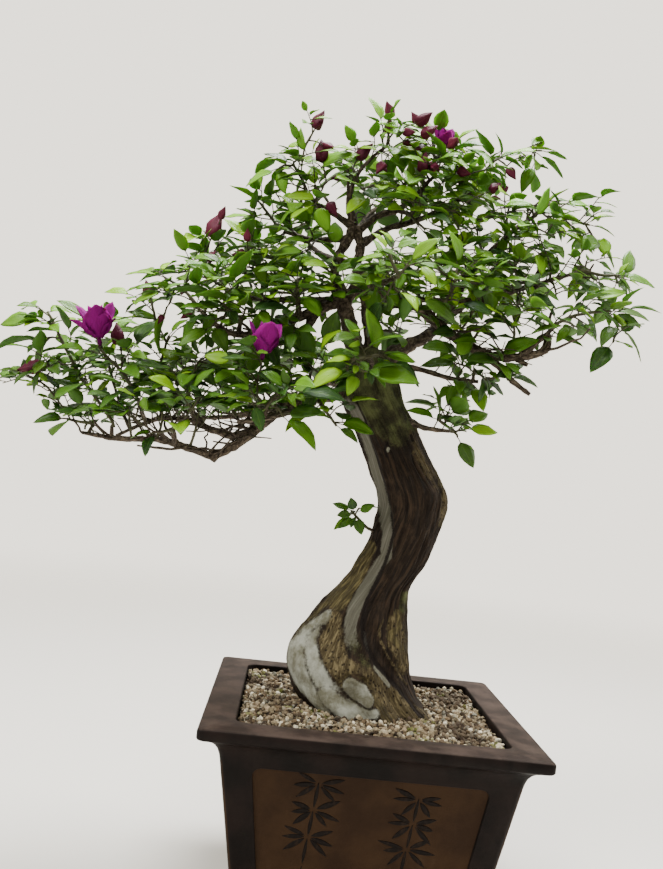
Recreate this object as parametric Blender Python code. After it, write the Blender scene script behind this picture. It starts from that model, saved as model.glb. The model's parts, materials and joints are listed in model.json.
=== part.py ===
"""Bougainvillea bonsai in a square clay pot, standing on the ground with +Z up and its front toward -Y.

The pot, the soil bed, the grown wood, each leafy spray, each bud cluster and each bloom is one closed solid.
Leaves are placed along hand-routed shoots by a seeded rule, and a leaf that would cross anything that is
already there is drawn again. Lengths are in millimetres until a mesh is made.
"""

import math
import random
from dataclasses import dataclass, field

import bmesh
import bpy
from mathutils import Quaternion, Vector
from mathutils.bvhtree import BVHTree

MM = 0.001
SEED = 20417
CONTACT_GAP = 0.3

# The pot.
POT_HEIGHT = 200.0
RIM_HALF = 160.0
MOUTH_HALF = 128.0
MOUTH_CORNER = 12.0
WALL_TOP_HALF = 139.5
WALL_TOP_HEIGHT = 173.0
WALL_FOOT_HALF = 109.0
WALL = 12.0
FEET_HEIGHT = 14.0
FLOOR_TOP = 26.0
SLOT_HALF = 68.0
DRAIN_RADIUS = 14.0
PANEL_LOW = 45.0
PANEL_HIGH = 163.0
PANEL_POST = 29.0
PANEL_CORNER = 9.0
PANEL_DEPTH = 2.5
CORNER_STEPS = 3

# The soil bed.
SOIL_EDGE = 191.5
SOIL_CROWN = 194.0
SOIL_RELIEF = 1.1
SOIL_RINGS = 3
TRUNK_FOOT = 168.0
TRUNK_SOCKET_GAP = 0.4

# The trunk's outline: (height, left edge, right edge, middle of the depth, half depth).
TRUNK_ROWS = [
    (150, -62, 62, 0, 60), (189, -62, 62, 0, 60), (195.5, -62, 62, 0, 60), (205, -71, 55, 0, 59),
    (217, -80, 50, 1, 56),
    (234, -86, 44, 2, 53), (252, -85, 40, 3, 50), (266, -78, 38, 3, 47), (282, -67, 37, 3, 44),
    (300, -56, 35, 2, 41), (322, -37, 34, 1, 38), (340, -26, 43, 0, 36), (358, -18, 51, 0, 35),
    (380, -12, 58, 0, 36), (403, -8, 62, 0, 37), (418, -12, 63, 1, 37), (434, -19, 56, 2, 36),
    (452, -27, 45, 3, 34), (472, -37, 33, 3, 32), (492, -48, 22, 3, 30), (512, -59, 9, 2, 29),
    (532, -65, 1, 1, 28), (549, -66, -6, 0, 25), (560, -62, -12, 0, 20), (567, -54, -18, 0, 13),
]
TRUNK_SIDES = 20
SOIL_TURNS = 2 * TRUNK_SIDES
# Swellings and hollows of the trunk: (height, turn from +X in degrees, tall, wide in degrees, rise).
TRUNK_LUMPS = [
    (192, 182, 22, 16, 6), (192, 224, 22, 15, 7), (190, 250, 24, 14, 9), (190, 283, 24, 14, 5),
    (190, 328, 26, 15, 13), (190, 32, 26, 20, 12), (190, 128, 26, 24, 12), (190, 80, 24, 18, 5),
    (205, 268, 22, 9, -5), (208, 306, 24, 10, -7), (236, 262, 16, 20, 4), (262, 236, 14, 18, -4),
    (300, 300, 26, 14, -4), (346, 200, 10, 20, 3), (352, 318, 16, 16, 3), (384, 236, 22, 18, 3),
    (405, 12, 12, 16, 4), (424, 292, 12, 16, 4), (436, 262, 10, 14, 3), (470, 214, 24, 16, -3),
    (506, 300, 18, 16, 3), (300, 90, 40, 30, 4), (410, 100, 40, 26, -4), (500, 80, 30, 24, 3),
]

# The rule that grows the sprays.
END_REACH = 16.0
TRIES = 14
STEM_TRIES = 12
LEAF_CLEARANCE = 0.7
SIDE_REACH = 158.0
LEAF_SPACING = 46.0
LEAVES_ALONG = 2
LEAF_SIZES = ((20, 25), (23, 28), (28, 34), (30, 38), (36, 45))
GOLDEN = math.radians(137.5)
STEM_SIDES = 3
TRUNK_HOLD = 9.0
WELD = 1.5e-6
NUDGE = 0.015
FUSE_TRIES = 8
FUSE_WAYS = (("MANIFOLD", "BEAUTY"), ("MANIFOLD", "EAR_CLIP"), ("EXACT", "EAR_CLIP"))
TWIG_SIDES = 4
JOINT_MARGIN = 2.4

# Each route runs from the thick end to the thin end: (across, away, up, radius), in millimetres from the
# ground under the pot's centre.
BRANCHES = {
    "leader_left": [(-43, 0, 549, 15), (-51, -2, 567, 10), (-59, -3, 587, 9), (-65, -4, 605, 9),
        (-70, -4, 622, 8), (-81, -3, 642, 5), (-78, 0, 665, 5), (-69, 0, 685, 6), (-67, 0, 700, 5)],
    "leader_right": [(-29, 0, 550, 10), (-34, 1, 572, 6.5), (-41, 2, 598, 6), (-46, 1, 621, 6),
        (-51, 0, 638, 6.5), (-58, 0, 654, 5.5), (-56, 0, 674, 5.5), (-62, 0, 688, 5)],
    "low_left": [(-45, 0, 523, 9), (-72, -10, 513, 6.5), (-97, -20, 505, 6), (-118, -28, 494, 5.5),
        (-138, -38, 473, 5.2), (-157, -45, 454, 4.8), (-181, -50, 438, 4.6), (-206, -50, 442, 4),
        (-240, -46, 447, 3.5), (-278, -38, 444, 3), (-318, -28, 446, 2)],
    "low_left_knee": [(-180, -50, 440, 4.2), (-183, -50, 432, 3.4)],
    "low_left_inner": [(-138, -38, 473, 4.6), (-163, -24, 460, 4.4), (-190, -8, 464, 4),
        (-217, 6, 472, 3.4), (-252, 17, 469, 2.6), (-291, 10, 447, 1.8)],
    "low_left_back": [(-102, -22, 502, 4.6), (-133, 16, 494, 4.2), (-168, 50, 484, 3.4),
        (-206, 74, 479, 2.4)],
    "low_front": [(-84, -15, 509, 4.4), (-103, -52, 493, 3.8), (-131, -88, 479, 3),
        (-158, -106, 471, 2.2)],
    "low_back": [(-49, 12, 530, 5), (-77, 52, 532, 4), (-109, 84, 529, 3), (-149, 102, 531, 2.2)],
    "mid_left": [(-51, 0, 636, 7), (-68, -6, 616, 6), (-90, -12, 603, 5.6), (-112, -20, 590, 5),
        (-133, -28, 578, 4.6), (-155, -34, 566, 4), (-176, -38, 562, 3.4), (-197, -38, 570, 2.6),
        (-213, -36, 583, 2)],
    "mid_left_lower": [(-94, -14, 600, 3.6), (-106, -28, 577, 3.0), (-140, -46, 571, 2)],
    "mid_left_hanging": [(-102, -16, 593, 3), (-108, -14, 569, 2.8), (-149, -2, 557, 1.8)],
    "mid_left_back": [(-80, -8, 610, 4.6), (-101, 30, 618, 4.2), (-130, 62, 620, 3.6),
        (-184, 92, 622, 2.4)],
    "crown_left": [(-69, 0, 683, 4), (-98, 8, 679, 3.4), (-120, 14, 681, 2.8), (-145, 19, 692, 2)],
    "crown_left_back": [(-74, 4, 657, 4), (-98, 42, 672, 3.4), (-123, 66, 693, 2.6),
        (-142, 82, 701, 1.8)],
    "apex_left": [(-68, 0, 696, 4), (-92, -8, 706, 3), (-113, -12, 714, 2.5), (-126, -14, 736, 1.8)],
    "apex": [(-67, 0, 700, 4.4), (-74, -4, 719, 3.2), (-73, -6, 735, 2.8), (-67, -8, 752, 2.4),
        (-55, -8, 769, 2), (-44, -7, 781, 1.6)],
    "apex_cut_twig": [(-74, -4, 716, 2), (-79, -8, 753, 1.4)],
    "apex_right": [(-61, 0, 692, 4.4), (-41, 6, 712, 3.8), (-20, 10, 722, 3.6), (-3, 14, 740, 3),
        (11, 16, 760, 2.2)],
    "apex_back": [(-61, 2, 686, 4.2), (-52, 36, 716, 3.4), (-35, 62, 741, 2.4)],
    "right_upper": [(-56, 4, 679, 4), (-31, 18, 701, 3.8), (-2, 30, 716, 3.4), (29, 40, 736, 3),
        (61, 46, 760, 2.2)],
    "right_middle": [(-51, 0, 636, 7), (-26, -6, 628, 6), (-3, -12, 622, 6), (21, -18, 607, 6),
        (42, -24, 591, 6), (64, -30, 579, 5.5), (88, -36, 570, 5), (116, -40, 572, 4.6),
        (141, -42, 581, 4), (143, -42, 598, 2.8)],
    "right_stub": [(108, -39, 571, 3), (124, -44, 564, 2)],
    "right_heavy": [(-24, 0, 549, 13), (0, 8, 572, 8), (23, 16, 589, 7), (44, 24, 610, 6),
        (55, 30, 638, 5), (68, 34, 667, 4.4), (89, 38, 695, 3.8), (112, 42, 722, 3.2),
        (135, 44, 743, 2.2)],
    "right_far": [(53, 29, 634, 4), (79, 15, 636, 3.6), (118, 1, 650, 3), (176, -10, 673, 1.8)],
    "right_far_low": [(116, -40, 572, 3.2), (131, -48, 588, 2.6), (148, -46, 607, 2)],
    "right_back": [(23, 16, 589, 5.4), (45, 58, 613, 4.6), (75, 92, 642, 3.6), (119, 112, 673, 2.4)],
    "right_low": [(76, -33, 574, 4), (95, -40, 560, 3.4), (110, -44, 546, 3), (129, -46, 534, 2.2)],
    "right_low_inner": [(-14, 2, 554, 4), (20, -2, 552, 3), (52, -13, 545, 2.7), (80, -20, 544, 2)],
    "trunk_right": [(9, -6, 497, 4), (30, -18, 490, 2.8), (55, -26, 489, 1.8)],
    "front_crown": [(-49, -2, 629, 5), (-41, -48, 623, 4), (-32, -82, 624, 3), (-24, -100, 626, 2)],
    "front_low": [(-37, -12, 540, 5), (-36, -50, 546, 3.8), (-40, -84, 548, 2.4)],
    "right_front": [(-6, -12, 622, 4.2), (12, -38, 619, 3.2), (28, -60, 617, 2)],
    "centre_back": [(-36, 4, 567, 6), (-29, 56, 603, 4.8), (-16, 92, 636, 3.6), (0, 114, 661, 2.2)],
}


def spaced(rows, height):
    """Reads the table's row at a height, easing between the rows with Catmull-Rom slopes."""
    if height <= rows[0][0]:
        return rows[0][1:]
    for index in range(len(rows) - 1):
        low, high = rows[index], rows[index + 1]
        if height <= high[0]:
            span = high[0] - low[0]
            part = (height - low[0]) / span
            before, after = rows[max(index - 1, 0)], rows[min(index + 2, len(rows) - 1)]
            values = []
            for column in range(1, len(low)):
                slope_low = (high[column] - before[column]) / max(high[0] - before[0], 1e-6) * span
                slope_high = (after[column] - low[column]) / max(after[0] - low[0], 1e-6) * span
                square, cube = part * part, part ** 3
                value = (2 * cube - 3 * square + 1) * low[column]
                value += (cube - 2 * square + part) * slope_low
                value += (3 * square - 2 * cube) * high[column] + (cube - square) * slope_high
                values.append(value)
            return tuple(values)
    return rows[-1][1:]


def trunk_point(height, turn):
    """A point on the trunk's surface at a height and a turn from +X, in radians."""
    left, right, middle, half_depth = spaced(TRUNK_ROWS, height)
    rise = 0.0
    for lump_height, lump_turn, tall, wide, lump_rise in TRUNK_LUMPS:
        away = (math.degrees(turn) - lump_turn + 180.0) % 360.0 - 180.0
        read_height = max(height, lump_height) if lump_height < 196.0 else height
        fall = ((read_height - lump_height) / tall) ** 2 + (away / wide) ** 2
        if fall < 9.0:
            rise += lump_rise * math.exp(-fall)
    across = math.cos(turn)
    depth = math.sin(turn)
    half_width = (right - left) / 2
    centre = (left + right) / 2
    return Vector((centre + (half_width + rise) * across, middle + (half_depth + rise) * depth, height))


def ring_heights(rows):
    """Heights of the trunk's rings: the foot in the soil, then the table's own rows up to the crown."""
    return [TRUNK_FOOT] + [float(row[0]) for row in rows[2:]]


def trunk_shell(sides, heights):
    """The trunk as a closed lofted body: rings of points, a flat foot and a low crown."""
    points = []
    for height in heights:
        points += [trunk_point(height, math.tau * step / sides) for step in range(sides)]
    faces = []
    for ring in range(len(heights) - 1):
        for step in range(sides):
            low, high = ring * sides, (ring + 1) * sides
            after = (step + 1) % sides
            faces.append((low + step, low + after, high + after, high + step))
    faces.append(tuple(reversed(range(sides))))
    top = (len(heights) - 1) * sides
    points.append(trunk_crown(heights[-1]))
    faces += [(top + step, top + (step + 1) % sides, len(points) - 1) for step in range(sides)]
    return points, faces


def trunk_crown(height):
    """The middle of the trunk's top, just above its last ring."""
    left, right, middle, _ = spaced(TRUNK_ROWS, height)
    return Vector(((left + right) / 2, middle, height + 3.0))


def frames(points):
    """The way, the across and the up of a line at each of its points, carried along without twist."""
    ways = []
    for index in range(len(points)):
        before = points[index] - points[max(index - 1, 0)]
        after = points[min(index + 1, len(points) - 1)] - points[index]
        ways.append((before.normalized() + after.normalized()).normalized())
    across = ways[0].orthogonal().normalized()
    found = []
    for index, way in enumerate(ways):
        if index:
            across.rotate(ways[index - 1].rotation_difference(way))
        across = (across - way * across.dot(way)).normalized()
        found.append((way, across.copy(), way.cross(across)))
    return found


def tube(points, radii, sides):
    """A closed tapering tube through the points, with a flat cap square to each end."""
    verts, faces = [], []
    for index, (_, across, up) in enumerate(frames(points)):
        point = points[index]
        for step in range(sides):
            angle = math.tau * step / sides
            verts.append(point + (across * math.cos(angle) + up * math.sin(angle)) * radii[index])
    for ring in range(len(points) - 1):
        for step in range(sides):
            low, high, after = ring * sides, (ring + 1) * sides, (step + 1) % sides
            faces.append((low + step, low + after, high + after, high + step))
    last = (len(points) - 1) * sides
    faces.append(tuple(reversed(range(sides))))
    faces.append(tuple(range(last, last + sides)))
    return verts, faces


@dataclass
class Blade:
    """One leaf or bract: where its stalk starts, which way it points and how it is shaped."""

    root: Vector
    along: Vector
    up: Vector
    length: float
    width: float
    stalk: float
    droop: float
    fold: float
    twist: float = 0.0

    def place(self, part, lateral, rise):
        """A point of the blade: part of its length, sideways and along its own normal, in millimetres."""
        side = self.along.cross(self.up)
        turned = Quaternion(self.along, self.twist * part)
        side, normal = turned @ side, turned @ self.up
        sag = self.droop * self.length * max(part, 0.0) ** 2
        folded = abs(lateral) * math.sin(self.fold)
        centre = self.root + self.along * (self.stalk + self.length * part) - self.up * sag
        return centre + side * lateral * math.cos(self.fold) + normal * (rise + folded)


BLADE_THICK = 1.25
STALK_RADIUS = 0.6
SMALL_STATIONS = [(0.40, 1.0)]
SHORT_STATIONS = [(0.24, 0.90), (0.62, 0.82)]
LONG_STATIONS = [(0.15, 0.72), (0.42, 1.0), (0.74, 0.62)]
SHORT_BLADE = 38.5
LONG_BLADE = 44.0


def blade_mesh(blade, grow=0.0, skip_root=0.0):
    """The blade as a closed body: a stalk of three sides, rings of four points and a sharp tip."""
    verts = []
    side = blade.along.cross(blade.up)
    for reach in (skip_root, blade.stalk * 0.95):
        middle = blade.root + blade.along * reach
        for across, rise in ((-0.87, -0.5), (0.0, 1.0), (0.87, -0.5)):
            verts.append(middle + (side * across + blade.up * rise) * (STALK_RADIUS + grow))
    faces = [(0, 2, 1), (0, 1, 4, 3), (1, 2, 5, 4), (2, 0, 3, 5)]
    faces += [(3, 4, 7), (3, 7, 6), (4, 5, 8), (4, 8, 7), (5, 3, 9), (5, 9, 8), (3, 6, 9)]
    stations = SMALL_STATIONS if blade.length < SHORT_BLADE else SHORT_STATIONS
    if blade.length >= LONG_BLADE:
        stations = LONG_STATIONS
    for part, breadth in stations:
        half = blade.width / 2 * breadth + grow
        thick = (BLADE_THICK / 2 if part < 0.6 else BLADE_THICK * 0.44) + grow
        verts += [blade.place(part, -half, 0.0), blade.place(part, 0.0, thick),
                  blade.place(part, half, 0.0), blade.place(part, 0.0, -thick)]
    verts.append(blade.place(1.0 + grow / blade.length, 0.0, 0.0))
    for ring in range(len(stations) - 1):
        low, high = 6 + 4 * ring, 10 + 4 * ring
        faces += [(low, low + 1, high + 1), (low, high + 1, high),
                  (low + 1, low + 2, high + 1), (low + 2, high + 2, high + 1),
                  (low + 3, low, high + 3), (low, high, high + 3),
                  (low + 2, low + 3, high + 3), (low + 2, high + 3, high + 2)]
    last, tip = 6 + 4 * (len(stations) - 1), len(verts) - 1
    faces += [(last + step, last + (step + 1) % 4, tip) for step in range(4)]
    return verts, faces


class Space:
    """What has been placed so far, against which each new piece is tested before it is kept."""

    def __init__(self):
        self.taken = []

    def add(self, shape, owner):
        """Keeps a shape under its owner's name."""
        verts, faces = shape
        low = Vector([min(vert[axis] for vert in verts) for axis in range(3)])
        high = Vector([max(vert[axis] for vert in verts) for axis in range(3)])
        self.taken.append((BVHTree.FromPolygons(verts, faces), low, high, owner))

    def clear(self, shape, passes=()):
        """Whether the shape crosses nothing but what belongs to the owners that it may pass."""
        verts, faces = shape
        low = Vector([min(vert[axis] for vert in verts) for axis in range(3)])
        high = Vector([max(vert[axis] for vert in verts) for axis in range(3)])
        tree = None
        for other, other_low, other_high, owner in self.taken:
            if owner in passes:
                continue
            if any(low[axis] > other_high[axis] or high[axis] < other_low[axis] for axis in range(3)):
                continue
            tree = tree or BVHTree.FromPolygons(verts, faces)
            if tree.overlap(other):
                return False
        return True


@dataclass
class Shoot:
    """One shoot of a spray, toward a point, and what it carries at its end."""

    kind: str
    toward: tuple
    size: float = 0.0


def leafy(toward, size=0.0):
    """A shoot with leaves along it and one at its end."""
    return Shoot("leafy", toward, size)


def cut(toward):
    """A long bare twig that was cut off."""
    return Shoot("cut", toward)


def bud(toward, size):
    """A stalk with a cluster of young folded bracts at its end."""
    return Shoot("bud", toward, size)


def bloom(toward, size):
    """A stalk with an open bloom at its end."""
    return Shoot("bloom", toward, size)


@dataclass
class Spray:
    """One leafy spray: the branch that carries it, where it starts and its shoots."""

    branch: str
    start: tuple
    shoots: list = field(default_factory=list)


SPRAYS = {
    "left_bloom_twigs": Spray("low_left_inner", (-263, -30, 480), [
        bloom((-322, -46, 548), 48), bud((-292, -30, 548), 19), leafy((-285, -42, 514)),
        leafy((-261, -22, 538))]),
    "low_front": Spray("low_front", (-133, -96, 486), [
        leafy((-104, -106, 519)), leafy((-159, -124, 489)), leafy((-99, -106, 466)),
        leafy((-151, -96, 508)),
        bloom((-143, -86, 549), 42)]),
    "top_right": Spray("apex_right", (10, 14, 768), [
        leafy((7, 18, 826)), bud((-4, 0, 788), 18), bloom((18, 6, 797), 30), leafy((33, 4, 788)),
        leafy((56, 34, 806)), leafy((-10, 30, 796))]),
    "mid_left_upper": Spray("mid_left_back", (-208, 60, 629), [
        leafy((-240, 30, 650)), bud((-216, 40, 686), 24), bud((-216, 20, 630), 13),
        leafy((-200, 56, 701)),
        leafy((-245, 80, 621))]),
    "top": Spray("apex", (-40, -7, 787), [
        bud((-39, -12, 801), 13), leafy((-25, -4, 818)), leafy((-26, -34, 772)),
        leafy((-49, 20, 776))]),
    "low_left_tip": Spray("low_left", (-310, -26, 452), [
        leafy((-351, -34, 462)), leafy((-341, -18, 479)), leafy((-319, -30, 436), 20), cut((-391, -10, 501))
        ,
        leafy((-364, 0, 499))]),
    "far_left": Spray("low_left", (-287, -40, 456), [
        cut((-366, -32, 564)), leafy((-317, -52, 500)), bud((-373, -36, 506), 20),
        leafy((-385, -30, 535), 46)]),
    "low_left_behind": Spray("low_left_inner", (-290, 20, 475), [
        leafy((-342, 16, 584)), leafy((-308, 26, 582)), leafy((-327, 34, 554)),
        leafy((-318, 30, 500))]),
    "low_left_middle": Spray("low_left_inner", (-248, 18, 486), [
        leafy((-250, 22, 575)), bud((-276, 12, 604), 15), leafy((-275, 10, 524)),
        leafy((-242, 48, 524))]),
    "low_left_front": Spray("low_left", (-222, -72, 456), [
        leafy((-256, -66, 450)), leafy((-284, -88, 477)), leafy((-246, -92, 497)),
        leafy((-190, -96, 500)),
        leafy((-218, -98, 468))]),
    "low_left_centre": Spray("low_left_inner", (-214, -18, 483), [
        leafy((-233, -25, 546)), leafy((-202, -45, 544)), leafy((-238, -48, 509)),
        leafy((-183, -50, 521))]),
    "low_left_far_back": Spray("low_left_back", (-214, 78, 489), [
        leafy((-232, 80, 552)), leafy((-201, 96, 565)), leafy((-271, 92, 530)),
        leafy((-218, 125, 537))]),
    "low_back": Spray("low_back", (-117, 78, 539), [
        leafy((-142, 60, 562)), leafy((-111, 90, 571)), leafy((-170, 88, 550)), leafy((-81, 104, 580)),
        leafy((-131, 130, 560))]),
    "low_drooping": Spray("low_left", (-84, -44, 503), [
        leafy((-54, -58, 470)), leafy((-73, -74, 537)), leafy((-92, -60, 479)),
        leafy((-108, -40, 552))]),
    "mid_left_tip": Spray("mid_left", (-215, -38, 588), [
        leafy((-268, -42, 622)), leafy((-246, -60, 593)), leafy((-249, -42, 565)),
        leafy((-235, -24, 624))]),
    "mid_left_front": Spray("mid_left", (-170, -56, 572), [
        leafy((-209, -76, 602)), leafy((-186, -66, 615)), leafy((-212, -72, 549)),
        leafy((-160, -86, 598))]),
    "mid_left_back": Spray("mid_left_back", (-174, 94, 632), [
        leafy((-192, 92, 691)), leafy((-164, 84, 694)), leafy((-223, 112, 663)),
        leafy((-137, 110, 680))]),
    "mid_left_inside": Spray("mid_left", (-150, -8, 593), [
        leafy((-179, 8, 687)), leafy((-160, -6, 658)), leafy((-135, -22, 644)),
        leafy((-181, -26, 638))]),
    "mid_left_near": Spray("mid_left", (-115, -34, 603), [
        leafy((-121, -50, 638)), leafy((-97, -42, 638)), leafy((-142, -76, 606)),
        leafy((-109, -84, 614))]),
    "crown_left_tip": Spray("crown_left", (-150, 20, 698), [
        leafy((-185, 12, 727)), leafy((-168, 28, 704)), leafy((-148, 42, 720)),
        bud((-139, 16, 719), 14)]),
    "crown_left_top": Spray("apex_left", (-129, -15, 744), [
        leafy((-149, -14, 763)), leafy((-170, -18, 736)), bud((-117, -16, 797), 17),
        leafy((-138, -34, 753))]),
    "crown_left_inside": Spray("apex_left", (-107, -20, 718), [
        leafy((-120, -36, 735)), leafy((-137, -32, 689)), leafy((-90, -26, 750)),
        bud((-108, -22, 763), 20),
        bud((-91, -34, 705), 15)]),
    "crown_left_back": Spray("crown_left_back", (-126, 76, 706), [
        leafy((-98, 70, 740)), leafy((-129, 78, 751)), leafy((-157, 94, 693)),
        leafy((-111, 112, 720))]),
    "top_left": Spray("apex", (-69, -16, 739), [
        leafy((-79, -14, 770)), leafy((-56, -42, 717)), bud((-67, -22, 769), 18),
        leafy((-40, -40, 737))]),
    "top_back": Spray("apex_back", (-31, 70, 753), [
        leafy((-41, 74, 790)), leafy((-4, 90, 786)), leafy((-69, 92, 755)), leafy((23, 96, 760))]),
    "crown_front": Spray("apex_right", (-11, -14, 712), [
        leafy((13, -40, 731)), leafy((-25, -52, 725)), leafy((49, -34, 714)), leafy((12, -54, 681))]),
    "right_top": Spray("right_upper", (67, 46, 767), [
        leafy((43, 38, 791)), leafy((96, 50, 820)), leafy((87, 66, 794)), leafy((152, 46, 824)),
        leafy((133, 34, 799)), bud((104, 40, 788), 14)]),
    "right_shoulder": Spray("right_heavy", (141, 44, 751), [
        leafy((171, 46, 756)), leafy((162, 28, 726)), leafy((208, 20, 732)), leafy((210, 28, 710)),
        leafy((126, 24, 757))]),
    "right_tip": Spray("right_far", (183, -11, 678), [
        leafy((240, -16, 674)), leafy((222, -4, 658)), leafy((154, -14, 687)), leafy((193, 12, 700))]),
    "right_low_tip": Spray("right_far_low", (154, -46, 614), [
        leafy((226, -36, 638)), leafy((234, -42, 601)), leafy((176, -66, 601)), leafy((204, -50, 578)),
        leafy((170, -30, 639))]),
    "right_back": Spray("right_back", (126, 116, 681), [
        leafy((140, 112, 721)), leafy((100, 126, 715)), leafy((176, 120, 678)), leafy((91, 134, 659))]),
    "right_front": Spray("right_front", (34, -68, 618), [
        leafy((46, -60, 670)), leafy((6, -78, 649)), leafy((57, -88, 613)), leafy((86, -50, 642))]),
    "front_crown": Spray("front_crown", (-22, -108, 630), [
        leafy((-38, -108, 660)), leafy((-6, -118, 652)), leafy((-42, -96, 585)),
        leafy((-15, -116, 600))]),
    "centre_back": Spray("centre_back", (5, 122, 668), [
        leafy((-15, 122, 722)), leafy((38, 128, 712)), leafy((-49, 128, 687)), leafy((30, 140, 640))]),
    "right_low": Spray("right_low_inner", (74, -22, 550), [
        leafy((73, -36, 560)), leafy((100, -28, 537)), leafy((41, -24, 568)), leafy((51, -26, 527)),
        leafy((126, -16, 558))]),
    "trunk_right": Spray("trunk_right", (60, -27, 495), [
        leafy((26, -38, 509)), leafy((55, -18, 522)), leafy((87, -30, 498)), leafy((68, -32, 477))]),
    "trunk_front": Spray("front_low", (-42, -90, 550), [
        leafy((-76, -98, 538)), leafy((-57, -102, 519)), leafy((-16, -98, 555)),
        leafy((-29, -104, 529))]),
    "trunk_shoot": Spray("trunk", (-17, -20, 380), [
        leafy((-46, -24, 404), 18), leafy((-36, -28, 388), 18), leafy((-24, -22, 410), 18)]),
}


@dataclass
class Growth:
    """Everything that the rule has placed, by the name of the node that carries it."""

    space: Space
    twigs: list = field(default_factory=list)
    stems: dict = field(default_factory=dict)
    leaves: dict = field(default_factory=dict)
    buds: dict = field(default_factory=dict)
    blooms: dict = field(default_factory=dict)


def branch_tube(route, grow=0.0):
    """A branch's tube along its route."""
    radii = [step[3] + grow for step in route]
    sides = 6 if route[0][3] > 8.0 else 5 if route[0][3] > 6.0 else 4 if route[0][3] > 3.0 else 3
    return tube([Vector(step[:3]) for step in route], radii, sides)


def nearest_on(route, point):
    """The point of a branch's middle line that is nearest to a point, and the branch's radius there."""
    best = None
    for low, high in zip(route, route[1:]):
        start, run = Vector(low[:3]), Vector(high[:3]) - Vector(low[:3])
        part = min(max((point - start).dot(run) / max(run.length_squared, 1e-9), 0.0), 1.0)
        found = start + run * part
        if best is None or (point - found).length < (point - best[0]).length:
            best = (found, low[3] + (high[3] - low[3]) * part)
    return best


def spray_start(spray, growth):
    """Where a spray starts: face to face with the branch's own end, or with a twig that is grown for it."""
    start = Vector(spray.start)
    if spray.branch == "trunk":
        left, right, middle = spaced(TRUNK_ROWS, start.z)[:3]
        inside = min(max(start.x, left + TRUNK_HOLD), right - TRUNK_HOLD)
        base, reach = Vector((inside, middle, start.z - 6.0)), 2.6
    else:
        route = BRANCHES[spray.branch]
        end, before = Vector(route[-1][:3]), Vector(route[-2][:3])
        along = (end - before).normalized()
        if (start - end).length < END_REACH and (start - end).dot(along) > 0:
            return end + along * CONTACT_GAP, along, route[-1][3]
        base, reach = nearest_on(route, start)
    along = (start - base).normalized()
    radius = min(max(reach * 0.66, 1.8), 2.6)
    growth.twigs.append(((base, start), (radius * 1.25, radius)))
    growth.space.add(tube([base, start], [radius * 1.25, radius], TWIG_SIDES), "wood")
    return start + along * CONTACT_GAP, along, radius


def shoot_points(rng, start, along, target, length_back, own_foot):
    """A shoot's middle line: out of its start along its own way, then bent toward its target."""
    run = target - start
    end = target - run.normalized() * min(length_back, run.length * 0.55)
    lead = start + along * min(5.0, run.length * 0.2)
    side = run.cross(Vector((rng.uniform(-1, 1), rng.uniform(-1, 1), rng.uniform(-1, 1))))
    side = side.normalized() if side.length > 1e-6 else run.orthogonal().normalized()
    bow = (end - lead).length * rng.uniform(0.04, 0.12)
    middle = lead.lerp(end, 0.45) + side * bow + Vector((0, 0, bow * 0.5))
    return [start, lead, middle, end] if own_foot else [start, middle, end]


def along_points(points, part):
    """The point at a part of the line's length, the line's way there and the number of the run it is on."""
    lengths = [(high - low).length for low, high in zip(points, points[1:])]
    reach = sum(lengths) * part
    run = 0
    while run < len(lengths) - 1 and reach > lengths[run]:
        reach -= lengths[run]
        run += 1
    margin = min(JOINT_MARGIN, lengths[run] * 0.4)
    reach = min(max(reach, margin), lengths[run] - margin)
    way = (points[run + 1] - points[run]).normalized()
    return points[run] + way * reach, way, run


def facet_out(points, run, way, turn):
    """The way out of the middle of a stem's side that looks most nearly toward a turn."""
    _, across, up = frames(points)[run]
    sector = math.tau / STEM_SIDES
    middle = (math.floor(turn / sector) + 0.5) * sector
    out = across * math.cos(middle) + up * math.sin(middle)
    return (out - way * out.dot(way)).normalized()


def fork_from(lines, target):
    """Where on the spray's own stems a new shoot best starts, and the way that it sets out."""
    best = None
    for line, limit in lines:
        for step in range(1, 9):
            point, way, _ = along_points(line, limit * step / 8)
            run = target - point
            turn = 1.0 - run.normalized().dot(way)
            cost = run.length * (1.0 + 0.55 * turn)
            if best is None or cost < best[0]:
                best = (cost, point, (way + run.normalized()).normalized())
    return best[1], best[2]


def leaf_size(rng, shoot, terminal):
    """A leaf's length: a shoot's own size at its end, otherwise drawn."""
    if terminal and shoot.size:
        return shoot.size
    low, high = rng.choice(LEAF_SIZES)
    return rng.uniform(low, high)


def drawn_blade(rng, root, way, out, length):
    """Draws one leaf at a point of a stem: its way, its normal and its curves."""
    if out is None:
        along = way + Vector((rng.uniform(-1, 1), rng.uniform(-1, 1), rng.uniform(-1, 1))) * 0.16
    else:
        leaned = out.copy()
        leaned.rotate(Quaternion(way, rng.uniform(-0.6, 0.6)))
        along = leaned + way * rng.uniform(0.05, 0.8)
    along = along.normalized()
    along.z = along.z * 0.5 - 0.06
    along = along.normalized()
    outward = Vector((root.x + 35.0, root.y, 0.0)).normalized()
    facing = Vector((0, -0.42, 0.85)) + outward * 0.3
    facing += Vector((rng.uniform(-1, 1), rng.uniform(-1, 1), rng.uniform(-0.6, 1))) * 0.42
    up = facing - along * facing.dot(along)
    if up.length < 0.05:
        up = along.orthogonal()
    return Blade(root, along, up.normalized(), length, length * rng.uniform(0.50, 0.68),
                 length * rng.uniform(0.16, 0.26), rng.uniform(0.08, 0.36), rng.uniform(0.12, 0.5),
                 rng.uniform(-0.35, 0.35))


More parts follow.
